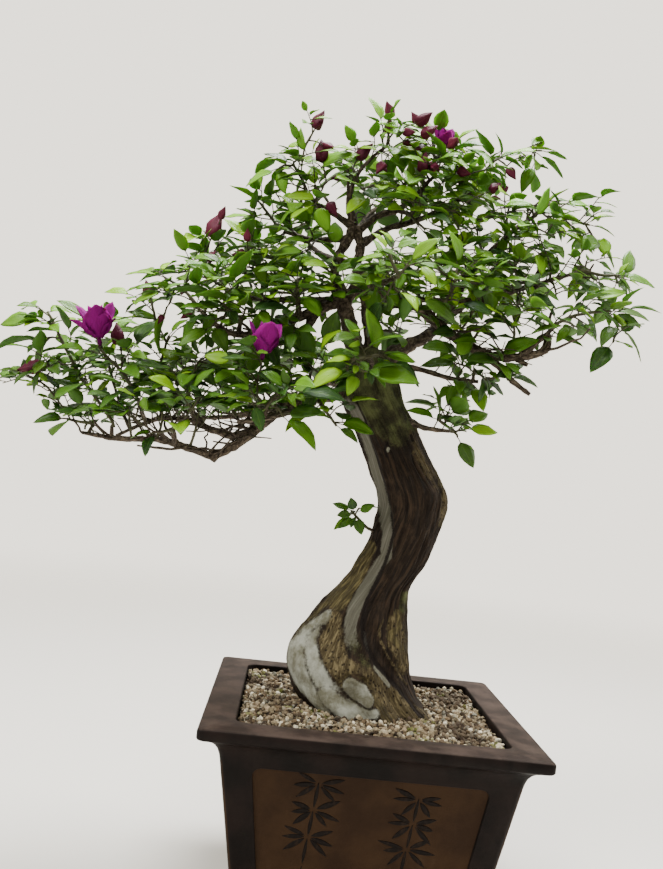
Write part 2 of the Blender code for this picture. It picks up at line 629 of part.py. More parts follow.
def place_leaf(rng, growth, name, line, part, turn, length):
    """Keeps the first drawn leaf that crosses nothing, each try a little shorter than the one before."""
    for _ in range(TRIES):
        if part is None:
            way = (line[-1] - line[-2]).normalized()
            root, out = line[-1] - way * 0.7, None
        else:
            root, way, run = along_points(line, part)
            out = facet_out(line, run, way, turn)
        blade = drawn_blade(rng, root, way, out, length)
        whole = blade_mesh(blade, LEAF_CLEARANCE)
        outer = blade_mesh(blade, LEAF_CLEARANCE, min(3.4, blade.stalk * 0.7))
        inside = max(abs(vert.y) for vert in whole[0]) < SIDE_REACH
        if inside and growth.space.clear(whole, (name,)) and growth.space.clear(outer):
            growth.space.add(blade_mesh(blade, 0.0, 1.6), name + ".leaf")
            growth.leaves[name].append(blade)
            return True
        turn += rng.uniform(1.2, 2.6)
        length = max(length * 0.96, 19.0)
        if part is not None:
            part = min(max(part + rng.uniform(-0.08, 0.08), 0.1), 0.93)
    return False


BUD_RINGS = [(0.0, 0.36, 0.32), (0.32, 1.0, 0.60), (0.72, 0.76, 0.48)]


def bud_mesh(end, way, size, grow=0.0):
    """A cluster of three young bracts folded round each other: a pointed spindle with three keels."""
    across = way.orthogonal().normalized()
    up = way.cross(across)
    verts, faces = [], []
    for ring, (part, keel, hollow) in enumerate(BUD_RINGS):
        for step in range(6):
            angle = math.tau * step / 6 + ring * 0.22
            reach = (keel if step % 2 == 0 else hollow) * size * 0.27 + grow
            centre = end + way * (size * part)
            verts.append(centre + (across * math.cos(angle) + up * math.sin(angle)) * reach)
    for ring in range(len(BUD_RINGS) - 1):
        for step in range(6):
            low, high, after = ring * 6, ring * 6 + 6, (step + 1) % 6
            faces.append((low + step, low + after, high + after, high + step))
    verts.append(end + way * (size + grow))
    last = 6 * (len(BUD_RINGS) - 1)
    faces += [(last + step, last + (step + 1) % 6, len(verts) - 1) for step in range(6)]
    faces.append(tuple(reversed(range(6))))
    return verts, faces


def bloom_blades(end, way, size):
    """A bloom's bracts: an outer ring of three that stand in a cup and an inner ring of three."""
    across = way.orthogonal().normalized()
    blades = []
    for step in range(6):
        inner = step >= 3
        angle = math.tau * step / 3 + (math.pi / 3 if inner else 0.0)
        out = across.copy()
        out.rotate(Quaternion(way, angle))
        along = (way * (3.0 if inner else 1.55) + out).normalized()
        up = (way - along * way.dot(along)).normalized()
        length = size * (0.72 if inner else 0.80)
        width = length * (0.60 if inner else 0.86)
        stalk = size * (0.08 if inner else 0.15)
        droop = -0.12 if inner else -0.10
        root = end + way * (3.4 if inner else 1.8)
        blades.append(Blade(root, along, up, length, width, stalk, droop, 0.42, 0.12))
    return blades


def bloom_core(end, way, size):
    """The bloom's short foot, square to its stalk, that runs up into the flower tubes."""
    return [tube([end, end + way * 3.0, end + way * (size * 0.4)], [1.5, 2.7, 1.6], 6)]


def turned_up(line, radii):
    """A bloom's stalk with its end turned up."""
    way = ((line[-1] - line[-2]).normalized() * 0.35 + Vector((0.0, -0.2, 1.0))).normalized()
    return line + [line[-1] + way * 4.0], radii + [radii[-1]]


def carried_room(shoot, end, way):
    """The room that a shoot's bud or bloom needs, or None where it carries neither."""
    if shoot.kind == "bud":
        return bud_mesh(end, way, shoot.size, 0.5)
    if shoot.kind == "bloom":
        return bud_mesh(end, way, shoot.size * 0.9, shoot.size * 0.36)
    return None


def grow_stems(growth):
    """Grows every spray's stems, with its buds and blooms, and returns the stems that carry leaves."""
    carriers = []
    for number, (name, spray) in enumerate(SPRAYS.items()):
        rng = random.Random(SEED + 101 * number)
        growth.stems[name], growth.leaves[name] = [], []
        start, along, radius = spray_start(spray, growth)
        lines = []
        for shoot in spray.shoots:
            target = Vector(shoot.toward)
            length = leaf_size(rng, shoot, True) if shoot.kind == "leafy" else 0.0
            back = length * 0.62 if shoot.kind == "leafy" else shoot.size * 0.5
            for _ in range(STEM_TRIES):
                origin, way = fork_from(lines, target) if lines else (start, along)
                line = shoot_points(rng, origin, way, target, back, not lines)
                radii = [1.0, 1.4, 1.2] if lines else [radius, radius * 0.96, 1.7, 1.3]
                if shoot.kind == "bloom":
                    line, radii = turned_up(line, radii)
                free = line[0] + (line[1] - line[0]).normalized() * (3.6 if lines else 1.0)
                bare = tube([free] + line[1:], [each + 0.6 for each in radii], STEM_SIDES)
                end_way = (line[-1] - line[-2]).normalized()
                body = carried_room(shoot, line[-1] + end_way * CONTACT_GAP, end_way)
                if growth.space.clear(bare, (name,)) and (body is None or growth.space.clear(body)):
                    break
                target += Vector((rng.uniform(-5, 5), rng.uniform(-9, 9), rng.uniform(-4, 7)))
            else:
                continue
            growth.stems[name].append((line, radii))
            growth.space.add(tube(line, radii, STEM_SIDES), name)
            if shoot.kind in ("leafy", "cut") or not lines:
                lines.append((line, 0.88 if shoot.kind in ("leafy", "cut") else 0.55))
            body_start = line[-1] + end_way * CONTACT_GAP
            if shoot.kind == "bud":
                growth.buds[f"{name}_bud_{len(growth.buds) + 1}"] = (body_start, end_way, shoot.size)
                growth.space.add(bud_mesh(body_start, end_way, shoot.size), name + ".bud")
            if shoot.kind == "bloom":
                growth.blooms[f"{name}_bloom"] = (body_start, end_way, shoot.size)
                for blade in bloom_blades(body_start, end_way, shoot.size):
                    growth.space.add(blade_mesh(blade), name + ".bloom")
                growth.space.add(bloom_core(body_start, end_way, shoot.size)[0], name + ".bloom")
            if shoot.kind == "leafy":
                carriers.append((name, shoot, line, length))
    return carriers


def grow_leaves(growth, carriers):
    """Sets each carrying stem's leaves: one at its end, then some along it by the golden angle."""
    rng = random.Random(SEED)
    for name, shoot, line, length in carriers:
        place_leaf(rng, growth, name, line, None, 0.0, length)
    for name, shoot, line, length in carriers:
        reach = sum((high - low).length for low, high in zip(line, line[1:]))
        count = min(round(reach / LEAF_SPACING + 0.2), LEAVES_ALONG)
        turn = rng.uniform(0, math.tau)
        for index in range(count):
            part = 0.90 - 0.70 * index / count + rng.uniform(-0.05, 0.05)
            turn += GOLDEN
            place_leaf(rng, growth, name, line, part, turn, leaf_size(rng, shoot, False))


def grow():
    """Runs the whole rule: wood first, then stems with buds and blooms, then the leaves."""
    growth = Growth(Space())
    growth.space.add(trunk_shell(TRUNK_SIDES, ring_heights(TRUNK_ROWS)), "wood")
    for route in BRANCHES.values():
        growth.space.add(branch_tube(route, 0.3), "wood")
    carriers = grow_stems(growth)
    grow_leaves(growth, carriers)
    return growth


def mesh_object(name, shape, scale=MM):
    """Makes an object of a shape in millimetres, with its faces turned outward."""
    verts, faces = shape
    mesh = bpy.data.meshes.new(name)
    mesh.from_pydata([tuple(Vector(vert) * scale) for vert in verts], [], faces)
    piece = bpy.data.objects.new(name, mesh)
    bpy.context.scene.collection.objects.link(piece)
    work = bmesh.new()
    work.from_mesh(mesh)
    bmesh.ops.recalc_face_normals(work, faces=work.faces)
    work.to_mesh(mesh)
    work.free()
    return piece


def apply_modifiers(piece):
    """Bakes the piece's modifiers into its mesh."""
    graph = bpy.context.evaluated_depsgraph_get()
    baked = bpy.data.meshes.new_from_object(piece.evaluated_get(graph))
    piece.modifiers.clear()
    old, piece.data = piece.data, baked
    baked.name = piece.name
    bpy.data.meshes.remove(old)


def fuse(name, shapes, solver):
    """Joins closed shapes into one body: one Boolean union of the first with a collection of the rest."""
    body = mesh_object(name, shapes[0])
    group = bpy.data.collections.new(name + "_parts")
    bpy.context.scene.collection.children.link(group)
    for number, shape in enumerate(shapes[1:]):
        piece = mesh_object(f"{name}_{number}", shape)
        bpy.context.scene.collection.objects.unlink(piece)
        group.objects.link(piece)
    if len(shapes) > 1:
        union = body.modifiers.new("union", "BOOLEAN")
        union.operation = "UNION"
        union.operand_type = "COLLECTION"
        union.collection = group
        union.solver = solver
        apply_modifiers(body)
    for piece in list(group.objects):
        bpy.data.objects.remove(piece)
    bpy.data.collections.remove(group)
    return body


def main_body(work):
    """The points of the mesh's largest connected body."""
    left, largest = set(work.verts), set()
    while left:
        body = {left.pop()}
        edge = list(body)
        while edge:
            for link in edge.pop().link_edges:
                for vert in link.verts:
                    if vert in left:
                        left.discard(vert)
                        body.add(vert)
                        edge.append(vert)
        if len(body) > len(largest):
            largest = body
    return largest


def tidy_mesh(piece, split="BEAUTY"):
    """Merges points that coincide, drops loose scraps and sealed hollows, and splits faces into triangles."""
    work = bmesh.new()
    work.from_mesh(piece.data)
    bmesh.ops.remove_doubles(work, verts=work.verts, dist=WELD)
    kept = main_body(work)
    bmesh.ops.delete(work, geom=[vert for vert in work.verts if vert not in kept], context="VERTS")
    bmesh.ops.triangulate(work, faces=work.faces, ngon_method=split)
    work.to_mesh(piece.data)
    work.free()


def cut_away(body, cutters):
    """Takes the cutters out of a body, one after another."""
    for cutter in cutters:
        cutter.hide_render = True
        cutter.display_type = "WIRE"
        step = body.modifiers.new("cut", "BOOLEAN")
        step.operation = "DIFFERENCE"
        step.object = cutter
        step.solver = "EXACT"
        apply_modifiers(body)
        bpy.data.objects.remove(cutter)


def rounded_square(half, corner, height):
    """The points of a square with round corners, in order round +Z, starting at the right front corner."""
    points = []
    for quarter in range(4):
        start = math.radians(-90 + 90 * quarter)
        centre_turn = math.radians(-45 + 90 * quarter)
        centre = Vector((math.cos(centre_turn), math.sin(centre_turn))) * (half - corner) * math.sqrt(2)
        for step in range(CORNER_STEPS + 1):
            turn = start + math.radians(90 * step / CORNER_STEPS)
            points.append((centre.x + corner * math.cos(turn), centre.y + corner * math.sin(turn), height))
    return points


def wall_half(height):
    """The half width of the pot's outer wall at a height."""
    part = height / WALL_TOP_HEIGHT
    return WALL_FOOT_HALF + (WALL_TOP_HALF - WALL_FOOT_HALF) * part


def lofted(rings):
    """A closed body through rings that have the same number of points, with flat ends."""
    count = len(rings[0])
    verts = [point for ring in rings for point in ring]
    faces = []
    for ring in range(len(rings) - 1):
        for step in range(count):
            low, high, after = ring * count, (ring + 1) * count, (step + 1) % count
            faces.append((low + step, low + after, high + after, high + step))
    last = (len(rings) - 1) * count
    faces.append(tuple(reversed(range(count))))
    faces.append(tuple(range(last, last + count)))
    return verts, faces


def box(low, high):
    """A plain box between two corners."""
    return lofted([[(low[0], low[1], z), (high[0], low[1], z), (high[0], high[1], z), (low[0], high[1], z)]
                   for z in (low[2], high[2])])


def cavity_half(height):
    """The half width of the pot's inside at a height."""
    return wall_half(height) - WALL


def make_pot():
    """The pot: flat overhanging rim, sloped walls with a sunk panel on each side, four corner feet."""
    rings = [rounded_square(wall_half(0), 6, 0), rounded_square(WALL_TOP_HALF, 6, WALL_TOP_HEIGHT)]
    for half, height in ((141, 181), (146, 186), (154, 187.5), (159, 188.3), (RIM_HALF, 189.5),
                         (RIM_HALF, 197.6), (158.8, 199), (150.2, 199), (149.2, POT_HEIGHT)):
        rings.append(rounded_square(half, 6 if half < 150 else 4, height))
    rings.append(rounded_square(MOUTH_HALF + 1, MOUTH_CORNER + 1, POT_HEIGHT))
    rings.append(rounded_square(MOUTH_HALF, MOUTH_CORNER, POT_HEIGHT - 1.2))
    rings.append(rounded_square(cavity_half(WALL_TOP_HEIGHT), MOUTH_CORNER, WALL_TOP_HEIGHT))
    rings.append(rounded_square(cavity_half(FLOOR_TOP), MOUTH_CORNER, FLOOR_TOP))
    pot = mesh_object("pot", lofted(rings))
    reach = RIM_HALF
    cutters = [mesh_object("slot_x", box((-reach, -SLOT_HALF, -5), (reach, SLOT_HALF, FEET_HEIGHT))),
               mesh_object("slot_y", box((-SLOT_HALF, -reach, -5), (SLOT_HALF, reach, FEET_HEIGHT)))]
    turns = [math.tau * step / 16 for step in range(16)]
    circle = [(DRAIN_RADIUS * math.cos(turn), DRAIN_RADIUS * math.sin(turn)) for turn in turns]
    drain = [[(across, depth, height) for across, depth in circle] for height in (5, 40)]
    cutters.append(mesh_object("drain", lofted(drain)))
    cutters += [mesh_object(f"panel_{side}", panel_cutter(side)) for side in range(4)]
    cut_away(pot, cutters)
    return pot


def panel_outline():
    """The sunk panel's outline: (across, height) round a trapezoid with round corners."""
    low_half = wall_half(PANEL_LOW) - PANEL_POST + 4
    high_half = wall_half(PANEL_HIGH) - PANEL_POST
    corners = [(-low_half, PANEL_LOW), (low_half, PANEL_LOW)]
    corners += [(high_half, PANEL_HIGH), (-high_half, PANEL_HIGH)]
    outline = []
    for index, corner in enumerate(corners):
        here = Vector(corner)
        before = (Vector(corners[index - 1]) - here).normalized()
        after = (Vector(corners[(index + 1) % 4]) - here).normalized()
        start, end = here + before * PANEL_CORNER, here + after * PANEL_CORNER
        for step in range(4):
            part = step / 3
            outline.append(start.lerp(here, part).lerp(here.lerp(end, part), part))
    return outline


def panel_cutter(side):
    """The body that sinks one side's panel square to its sloped wall."""
    slope = math.atan2(WALL_TOP_HALF - WALL_FOOT_HALF, WALL_TOP_HEIGHT)
    outward = Vector((0, -math.cos(slope), -math.sin(slope)))
    rings = []
    for depth in (-PANEL_DEPTH, 6.0):
        ring = []
        for across, height in panel_outline():
            point = Vector((across, -wall_half(height), height)) + outward * depth
            point.rotate(Quaternion(Vector((0, 0, 1)), math.radians(90 * side)))
            ring.append(point)
        rings.append(ring)
    return lofted(rings)


def socket_ring(height):
    """The hole in the soil round the trunk's foot."""
    ring = []
    for step in range(SOIL_TURNS):
        low = trunk_point(TRUNK_FOOT, math.tau * (step // 2) / TRUNK_SIDES)
        high = trunk_point(TRUNK_FOOT, math.tau * ((step + 1) // 2) / TRUNK_SIDES)
        point = (low + high) / 2
        away = Vector((point.x, point.y, 0)).normalized() * TRUNK_SOCKET_GAP
        ring.append(Vector((point.x + away.x, point.y + away.y, height)))
    return ring


def square_ring(half, corner, height):
    """A square ring with round corners whose points lie at equal turns about the middle."""
    ring = []
    for step in range(SOIL_TURNS):
        turn = math.tau * step / SOIL_TURNS
        across, depth = math.cos(turn), math.sin(turn)
        reach = half / max(abs(across), abs(depth))
        inner = half - corner
        if reach * min(abs(across), abs(depth)) > inner:
            spread = inner * (abs(across) + abs(depth))
            reach = spread + math.sqrt(max(spread ** 2 - (2 * inner ** 2 - corner ** 2), 0.0))
        ring.append(Vector((reach * across, reach * depth, height)))
    return ring


def make_soil():
    """The soil bed: fills the pot, mounded a little to the trunk, with its gravel as low relief on top."""
    rng = random.Random(SEED + 7)
    gap = CONTACT_GAP
    low = FLOOR_TOP + gap
    rings = [square_ring(cavity_half(low) - gap, MOUTH_CORNER, low),
             square_ring(cavity_half(WALL_TOP_HEIGHT) - gap, MOUTH_CORNER, WALL_TOP_HEIGHT)]
    edge = square_ring(cavity_half(WALL_TOP_HEIGHT) - gap, MOUTH_CORNER, SOIL_EDGE - 1.5)
    rings.append(edge)
    mouth = socket_ring(SOIL_CROWN)
    for ring in range(1, SOIL_RINGS + 1):
        part = ring / (SOIL_RINGS + 1)
        points = []
        for outer, inner in zip(edge, mouth):
            height = SOIL_EDGE + (SOIL_CROWN - SOIL_EDGE) * part + rng.uniform(-1, 1) * SOIL_RELIEF
            shift = rng.uniform(-0.22, 0.22) / (SOIL_RINGS + 1)
            flat = outer.lerp(inner, part + shift)
            points.append(Vector((flat.x, flat.y, height)))
        rings.append(points)
    rings.append(mouth)
    rings.append(socket_ring(TRUNK_FOOT - TRUNK_SOCKET_GAP))
    return mesh_object("soil", lofted(rings))


def is_closed(piece):
    """Whether every edge of the piece's mesh has exactly two faces."""
    work = bmesh.new()
    work.from_mesh(piece.data)
    closed = all(len(edge.link_faces) == 2 for edge in work.edges)
    work.free()
    return closed


def nudged(shapes, step):
    """The shapes, each but the first moved by a few hundredths of a millimetre."""
    rng = random.Random(SEED + step)
    moved = [shapes[0]]
    for points, faces in shapes[1:]:
        shift = Vector((rng.uniform(-1, 1), rng.uniform(-1, 1), rng.uniform(-1, 1))) * NUDGE * step
        moved.append(([point + shift for point in points], faces))
    return moved


def fuse_closed(name, shapes):
    """Fuses the shapes into a closed body, split another way or after a nudge where one fails."""
    for step in range(FUSE_TRIES):
        for solver, split in FUSE_WAYS:
            body = fuse(name, nudged(shapes, step), solver)
            tidy_mesh(body, split)
            if is_closed(body):
                return body
            bpy.data.meshes.remove(body.data)
    raise RuntimeError(name + " does not close")


def make_wood(growth):
    """The grown wood: trunk, branches and the twigs that carry the sprays, fused into one body."""
    shapes = [trunk_shell(TRUNK_SIDES, ring_heights(TRUNK_ROWS))]
    shapes += [branch_tube(route) for route in BRANCHES.values()]
    shapes += [tube(list(points), list(radii), TWIG_SIDES) for points, radii in growth.twigs]
    return fuse_closed("wood", shapes)


def make_sprays(growth):
    """One fused body for each spray, bud cluster and bloom."""
    pieces = {"leaf": [], "bud": [], "bloom": []}
    for name, stems in growth.stems.items():
        shapes = [tube(line, radii, STEM_SIDES) for line, radii in stems]
        shapes += [blade_mesh(blade) for blade in growth.leaves[name]]
        pieces["leaf"].append(fuse_closed("spray_" + name, shapes))
    for name, (end, way, size) in growth.buds.items():
        pieces["bud"].append(mesh_object(name, bud_mesh(end, way, size)))
    for name, (end, way, size) in growth.blooms.items():
        shapes = bloom_core(end, way, size) + [blade_mesh(blade) for blade in bloom_blades(end, way, size)]
        pieces["bloom"].append(fuse_closed(name, shapes))
    return pieces


def paint(piece, colour, roughness):
    """Gives a piece its own material."""
    material = bpy.data.materials.new(piece.name)
    material.use_nodes = True
    shader = material.node_tree.nodes["Principled BSDF"]
    shader.inputs["Base Color"].default_value = (*colour, 1.0)
    shader.inputs["Roughness"].default_value = roughness
    piece.data.materials.clear()
    piece.data.materials.append(material)


def settle_origin(pieces):
    """Shifts every mesh so that the origin lies under the middle of the whole part, on the ground."""
    low = [min(vert.co[axis] for piece in pieces for vert in piece.data.vertices) for axis in range(3)]
    high = [max(vert.co[axis] for piece in pieces for vert in piece.data.vertices) for axis in range(3)]
    shift = Vector((-(low[0] + high[0]) / 2, -(low[1] + high[1]) / 2, -low[2]))
    for piece in pieces:
        for vert in piece.data.vertices:
            vert.co += shift


def main():
    """Builds the part."""
    for old in list(bpy.data.objects):
        bpy.data.objects.remove(old)
    growth = grow()
    pot, soil, wood = make_pot(), make_soil(), make_wood(growth)
    plants = make_sprays(growth)
    paint(pot, (0.085, 0.062, 0.050), 0.7)
    paint(soil, (0.42, 0.35, 0.28), 0.95)
    paint(wood, (0.22, 0.17, 0.12), 0.85)
    for piece in plants["leaf"]:
        paint(piece, (0.10, 0.27, 0.05), 0.45)
    for piece in plants["bud"]:
        paint(piece, (0.22, 0.03, 0.06), 0.5)
    for piece in plants["bloom"]:
        paint(piece, (0.62, 0.03, 0.25), 0.5)
    pieces = [pot, soil, wood] + plants["leaf"] + plants["bud"] + plants["bloom"]
    for piece in pieces:
        tidy_mesh(piece)
    settle_origin(pieces)


main()
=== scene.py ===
"""Looks of a potted bougainvillea bonsai: clay pot, grit, weathered trunk, leafy sprays, buds and blooms.

Each sub-assembly is a class that holds its own sizes and builds its meshes. The leafy sprays follow the same
seeded growth as the part's solids, so every leaf stands where its solid does, and smaller leaves fill in.
Growth is reckoned in millimetres from the ground under the pot's centre, and meshes are in metres.
"""

import json
import logging
import math
import random
from dataclasses import dataclass, field
from enum import Enum

import bmesh
import bpy
import numpy as np
from mathutils import Matrix, Quaternion, Vector, noise
from mathutils.bvhtree import BVHTree

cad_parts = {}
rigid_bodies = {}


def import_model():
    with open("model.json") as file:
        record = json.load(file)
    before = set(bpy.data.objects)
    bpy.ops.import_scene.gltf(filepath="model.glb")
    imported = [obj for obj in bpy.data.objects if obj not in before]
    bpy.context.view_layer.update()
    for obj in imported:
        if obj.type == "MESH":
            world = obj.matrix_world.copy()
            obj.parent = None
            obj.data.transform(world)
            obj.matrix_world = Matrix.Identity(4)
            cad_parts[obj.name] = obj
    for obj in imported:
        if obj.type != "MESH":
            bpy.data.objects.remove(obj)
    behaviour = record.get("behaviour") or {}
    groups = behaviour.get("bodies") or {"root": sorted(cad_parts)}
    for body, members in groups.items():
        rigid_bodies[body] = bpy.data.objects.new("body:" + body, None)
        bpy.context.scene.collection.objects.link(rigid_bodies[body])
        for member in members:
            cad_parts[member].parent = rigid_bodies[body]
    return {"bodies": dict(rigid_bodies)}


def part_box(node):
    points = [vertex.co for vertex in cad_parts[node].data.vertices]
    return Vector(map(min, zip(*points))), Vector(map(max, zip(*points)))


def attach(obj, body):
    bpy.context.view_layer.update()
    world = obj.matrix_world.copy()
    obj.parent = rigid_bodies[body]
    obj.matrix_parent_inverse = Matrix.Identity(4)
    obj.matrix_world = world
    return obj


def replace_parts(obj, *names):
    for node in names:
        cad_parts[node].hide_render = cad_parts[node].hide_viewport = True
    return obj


LOG = logging.getLogger("bonsai")
MM = 0.001
SEED = 20417
CONTACT_GAP = 0.3
PHOTO_SIZE = (663, 869)


class ShaderTree:
    """Adds nodes to one node tree and joins them."""

    def __init__(self, tree: bpy.types.NodeTree) -> None:
        """Works on an empty or given tree."""
        self.tree = tree

    def add(self, kind: str, sockets: dict | None = None, **settings: object) -> bpy.types.Node:
        """Adds a shader node.

        Args:
            kind: The node's type without its "ShaderNode" prefix.
            sockets: Values or links for its inputs, by name or number.
            **settings: Properties of the node itself.

        Returns:
            The new node.
        """
        node = self.tree.nodes.new("ShaderNode" + kind)
        for name, value in settings.items():
            setattr(node, name, value)
        for name, value in (sockets or {}).items():
            self.feed(node.inputs[name], value)
        return node

    def feed(self, socket: bpy.types.NodeSocket, value: object) -> None:
        """Links another node's output to a socket, or sets the socket's own value.

        Args:
            socket: The input that is fed.
            value: An output socket, a number or a colour.
        """
        if isinstance(value, bpy.types.NodeSocket):
            self.tree.links.new(value, socket)
        elif isinstance(value, tuple) and len(value) == 3 and socket.type == "RGBA":
            socket.default_value = (*value, 1.0)
        else:
            socket.default_value = value

    def math(self, operation: str, first: object, second: object = 0.0,
             clamp: bool = False) -> bpy.types.NodeSocket:
        """One step of arithmetic on two values."""
        return self.add("Math", {0: first, 1: second}, operation=operation, use_clamp=clamp).outputs[0]

    def times(self, first: object, second: object, clamp: bool = False) -> bpy.types.NodeSocket:
        """The product of two values or links."""
        return self.math("MULTIPLY", first, second, clamp)

    def plus(self, first: object, second: object, clamp: bool = False) -> bpy.types.NodeSocket:
        """The sum of two values or links."""
        return self.math("ADD", first, second, clamp)

    def minus(self, first: object, second: object) -> bpy.types.NodeSocket:
        """The difference of two values or links."""
        return self.math("SUBTRACT", first, second)

    def blend(self, part: object, first: object, second: object, kind: str = "MIX") -> bpy.types.NodeSocket:
        """Mixes two colours.

        Args:
            part: How much of the second colour shows.
            first: The colour at 0.
            second: The colour at 1.
            kind: The blend type.

        Returns:
            The mixed colour's socket.
        """
        node = self.add("Mix", data_type="RGBA", blend_type=kind)
        self.feed(node.inputs[0], part)
        self.feed(node.inputs[6], first)
        self.feed(node.inputs[7], second)
        return node.outputs[2]

    def ease(self, value: object, low: float, high: float, start: float = 0.0,
             end: float = 1.0) -> bpy.types.NodeSocket:
        """Maps a value smoothly from one range to another."""
        sockets = {0: value, 1: low, 2: high, 3: start, 4: end}
        return self.add("MapRange", sockets, interpolation_type="SMOOTHSTEP").outputs[0]

    def noise(self, vector: object, scale: float, detail: float = 4.0,
              rough: float = 0.55) -> bpy.types.NodeSocket:
        """A fractal noise value."""
        sockets = {"Vector": vector, "Scale": scale, "Detail": detail, "Roughness": rough}
        return self.add("TexNoise", sockets).outputs[0]

    def stretch(self, vector: object, scale: tuple[float, float, float]) -> bpy.types.NodeSocket:
        """Coordinates that are scaled along each axis."""
        return self.add("Mapping", {"Vector": vector, "Scale": scale}).outputs[0]

    def bump(self, height: object, strength: float, distance: float) -> bpy.types.NodeSocket:
        """A bumped normal."""
        return self.add("Bump", {"Height": height, "Strength": strength, "Distance": distance}).outputs[0]


class SharedEffect(Enum):
    """The node groups that several finishes use."""

    MOTTLE = "mottled tone"
    FIBRE = "fibre along a stem"
    VEINS = "veins of a blade"


class EffectLibrary:
    """Builds each shared node group once."""

    def __init__(self) -> None:
        """Starts with no group built."""
        self.built: dict[SharedEffect, bpy.types.NodeTree] = {}

    def group(self, effect: SharedEffect) -> bpy.types.NodeTree:
        """The group of an effect, built at its first use.

        Args:
            effect: Which effect.

        Returns:
            Its node tree.
        """
        if effect not in self.built:
            makers = {SharedEffect.MOTTLE: self.mottle, SharedEffect.FIBRE: self.fibre,
                      SharedEffect.VEINS: self.veins}
            self.built[effect] = makers[effect](bpy.data.node_groups.new(effect.value, "ShaderNodeTree"))
        return self.built[effect]

    def sockets(self, tree: bpy.types.NodeTree, takes: dict[str, object], gives: dict[str, str]) -> tuple:
        """Makes a group's inputs and outputs.

        Args:
            tree: The group's tree.
            takes: The default of each input by its name; a colour has three numbers, coordinates are None.
            gives: The socket type of each output by its name.

        Returns:
            The tree's builder, its input node and its output node.
        """
        for name, value in takes.items():
            kind = "NodeSocketVector" if value is None else "NodeSocketFloat"
            kind = "NodeSocketColor" if isinstance(value, tuple) else kind
            socket = tree.interface.new_socket(name, in_out="INPUT", socket_type=kind)
            if value is not None:
                socket.default_value = (*value, 1.0) if isinstance(value, tuple) else value
        for name, kind in gives.items():
            tree.interface.new_socket(name, in_out="OUTPUT", socket_type=kind)
        return ShaderTree(tree), tree.nodes.new("NodeGroupInput"), tree.nodes.new("NodeGroupOutput")

    def mottle(self, tree: bpy.types.NodeTree) -> bpy.types.NodeTree:
        """Two colours in soft patches with finer flecks.

        Args:
            tree: The empty group.

        Returns:
            The finished group.
        """
        takes = {"Vector": None, "Light": (0.5, 0.5, 0.5), "Dark": (0.2, 0.2, 0.2), "Scale": 40.0, "Fleck": 0.3}
        gives = {"Color": "NodeSocketColor", "Height": "NodeSocketFloat"}
        work, given, result = self.sockets(tree, takes, gives)
        broad = work.noise(given.outputs["Vector"], 1.0, 3.0)
        fine = work.noise(given.outputs["Vector"], 1.0, 5.0, 0.7)
        work.feed(broad.node.inputs["Scale"], given.outputs["Scale"])
        work.feed(fine.node.inputs["Scale"], work.times(given.outputs["Scale"], 7.0))
        flecks = work.times(work.minus(fine, 0.5), given.outputs["Fleck"])
        tone = work.plus(work.ease(broad, 0.32, 0.68), flecks, True)
        work.feed(result.inputs["Color"], work.blend(tone, given.outputs["Dark"], given.outputs["Light"]))
        work.feed(result.inputs["Height"], fine)
        return tree

    def fibre(self, tree: bpy.types.NodeTree) -> bpy.types.NodeTree:
        """Long streaks that run along a stem, from its own map, with painted shade darkening their thin cracks.

        Args:
            tree: The empty group.

        Returns:
            The finished group.
        """
        takes = {"Vector": None, "Light": (0.3, 0.2, 0.1), "Dark": (0.05, 0.03, 0.02), "Across": 30.0,
                 "Along": 2.0}
        gives = {"Color": "NodeSocketColor", "Height": "NodeSocketFloat"}
        work, given, result = self.sockets(tree, takes, gives)
        axes = work.add("SeparateXYZ", {0: given.outputs["Vector"]})
        sway = work.times(work.minus(work.noise(given.outputs["Vector"], 3.0, 2.0), 0.5), 0.06)
        across = work.times(work.plus(axes.outputs[0], sway), given.outputs["Across"])
        along = work.times(axes.outputs[1], given.outputs["Along"])
        place = work.add("CombineXYZ", {0: across, 1: along}).outputs[0]
        streak = work.noise(place, 1.0, 6.0, 0.62)
        ridge = work.math("ABSOLUTE", work.minus(work.noise(place, 0.45, 4.0, 0.6), 0.5))
        crack = work.ease(ridge, 0.0, 0.09)
        # Painted shade: the colour is darkened to a quarter along the thin cracks, which are also sunk in the
        # height.
        painted_crack_shade = work.add("Math", {0: crack, 1: 0.75, 2: 0.25}, operation="MULTIPLY_ADD").outputs[0]
        tone = work.times(work.ease(streak, 0.34, 0.66), painted_crack_shade)
        work.feed(result.inputs["Color"], work.blend(tone, given.outputs["Dark"], given.outputs["Light"]))
        work.feed(result.inputs["Height"], work.plus(work.times(streak, 0.5), crack))
        return tree

    def veins(self, tree: bpy.types.NodeTree) -> bpy.types.NodeTree:
        """A blade's midrib and its arched side veins, from its own map.

        Args:
            tree: The empty group.

        Returns:
            The finished group.
        """
        takes = {"Vector": None, "Pairs": 6.0, "Lift": 1.6}
        gives = {"Mask": "NodeSocketFloat", "Height": "NodeSocketFloat"}
        work, given, result = self.sockets(tree, takes, gives)
        axes = work.add("SeparateXYZ", {0: given.outputs["Vector"]})
        off = work.math("ABSOLUTE", work.minus(axes.outputs[0], 0.5))
        midrib = work.ease(off, 0.012, 0.045, 1.0, 0.0)
        arch = work.times(work.math("POWER", off, 0.72), given.outputs["Lift"])
        run = work.times(work.minus(axes.outputs[1], arch), given.outputs["Pairs"])
        wave = work.math("ABSOLUTE", work.minus(work.math("FRACT", run), 0.5))
        fade = work.ease(off, 0.30, 0.48, 1.0, 0.0)
        side = work.times(work.ease(wave, 0.0, 0.13, 1.0, 0.0), fade)
        mask = work.math("MAXIMUM", midrib, work.times(side, 0.6))
        net = work.noise(work.stretch(given.outputs["Vector"], (26.0, 34.0, 1.0)), 1.0, 2.0)
        height = work.minus(work.times(net, 0.35), mask)
        work.feed(result.inputs["Mask"], mask)
        work.feed(result.inputs["Height"], height)
        return tree


EFFECTS = EffectLibrary()


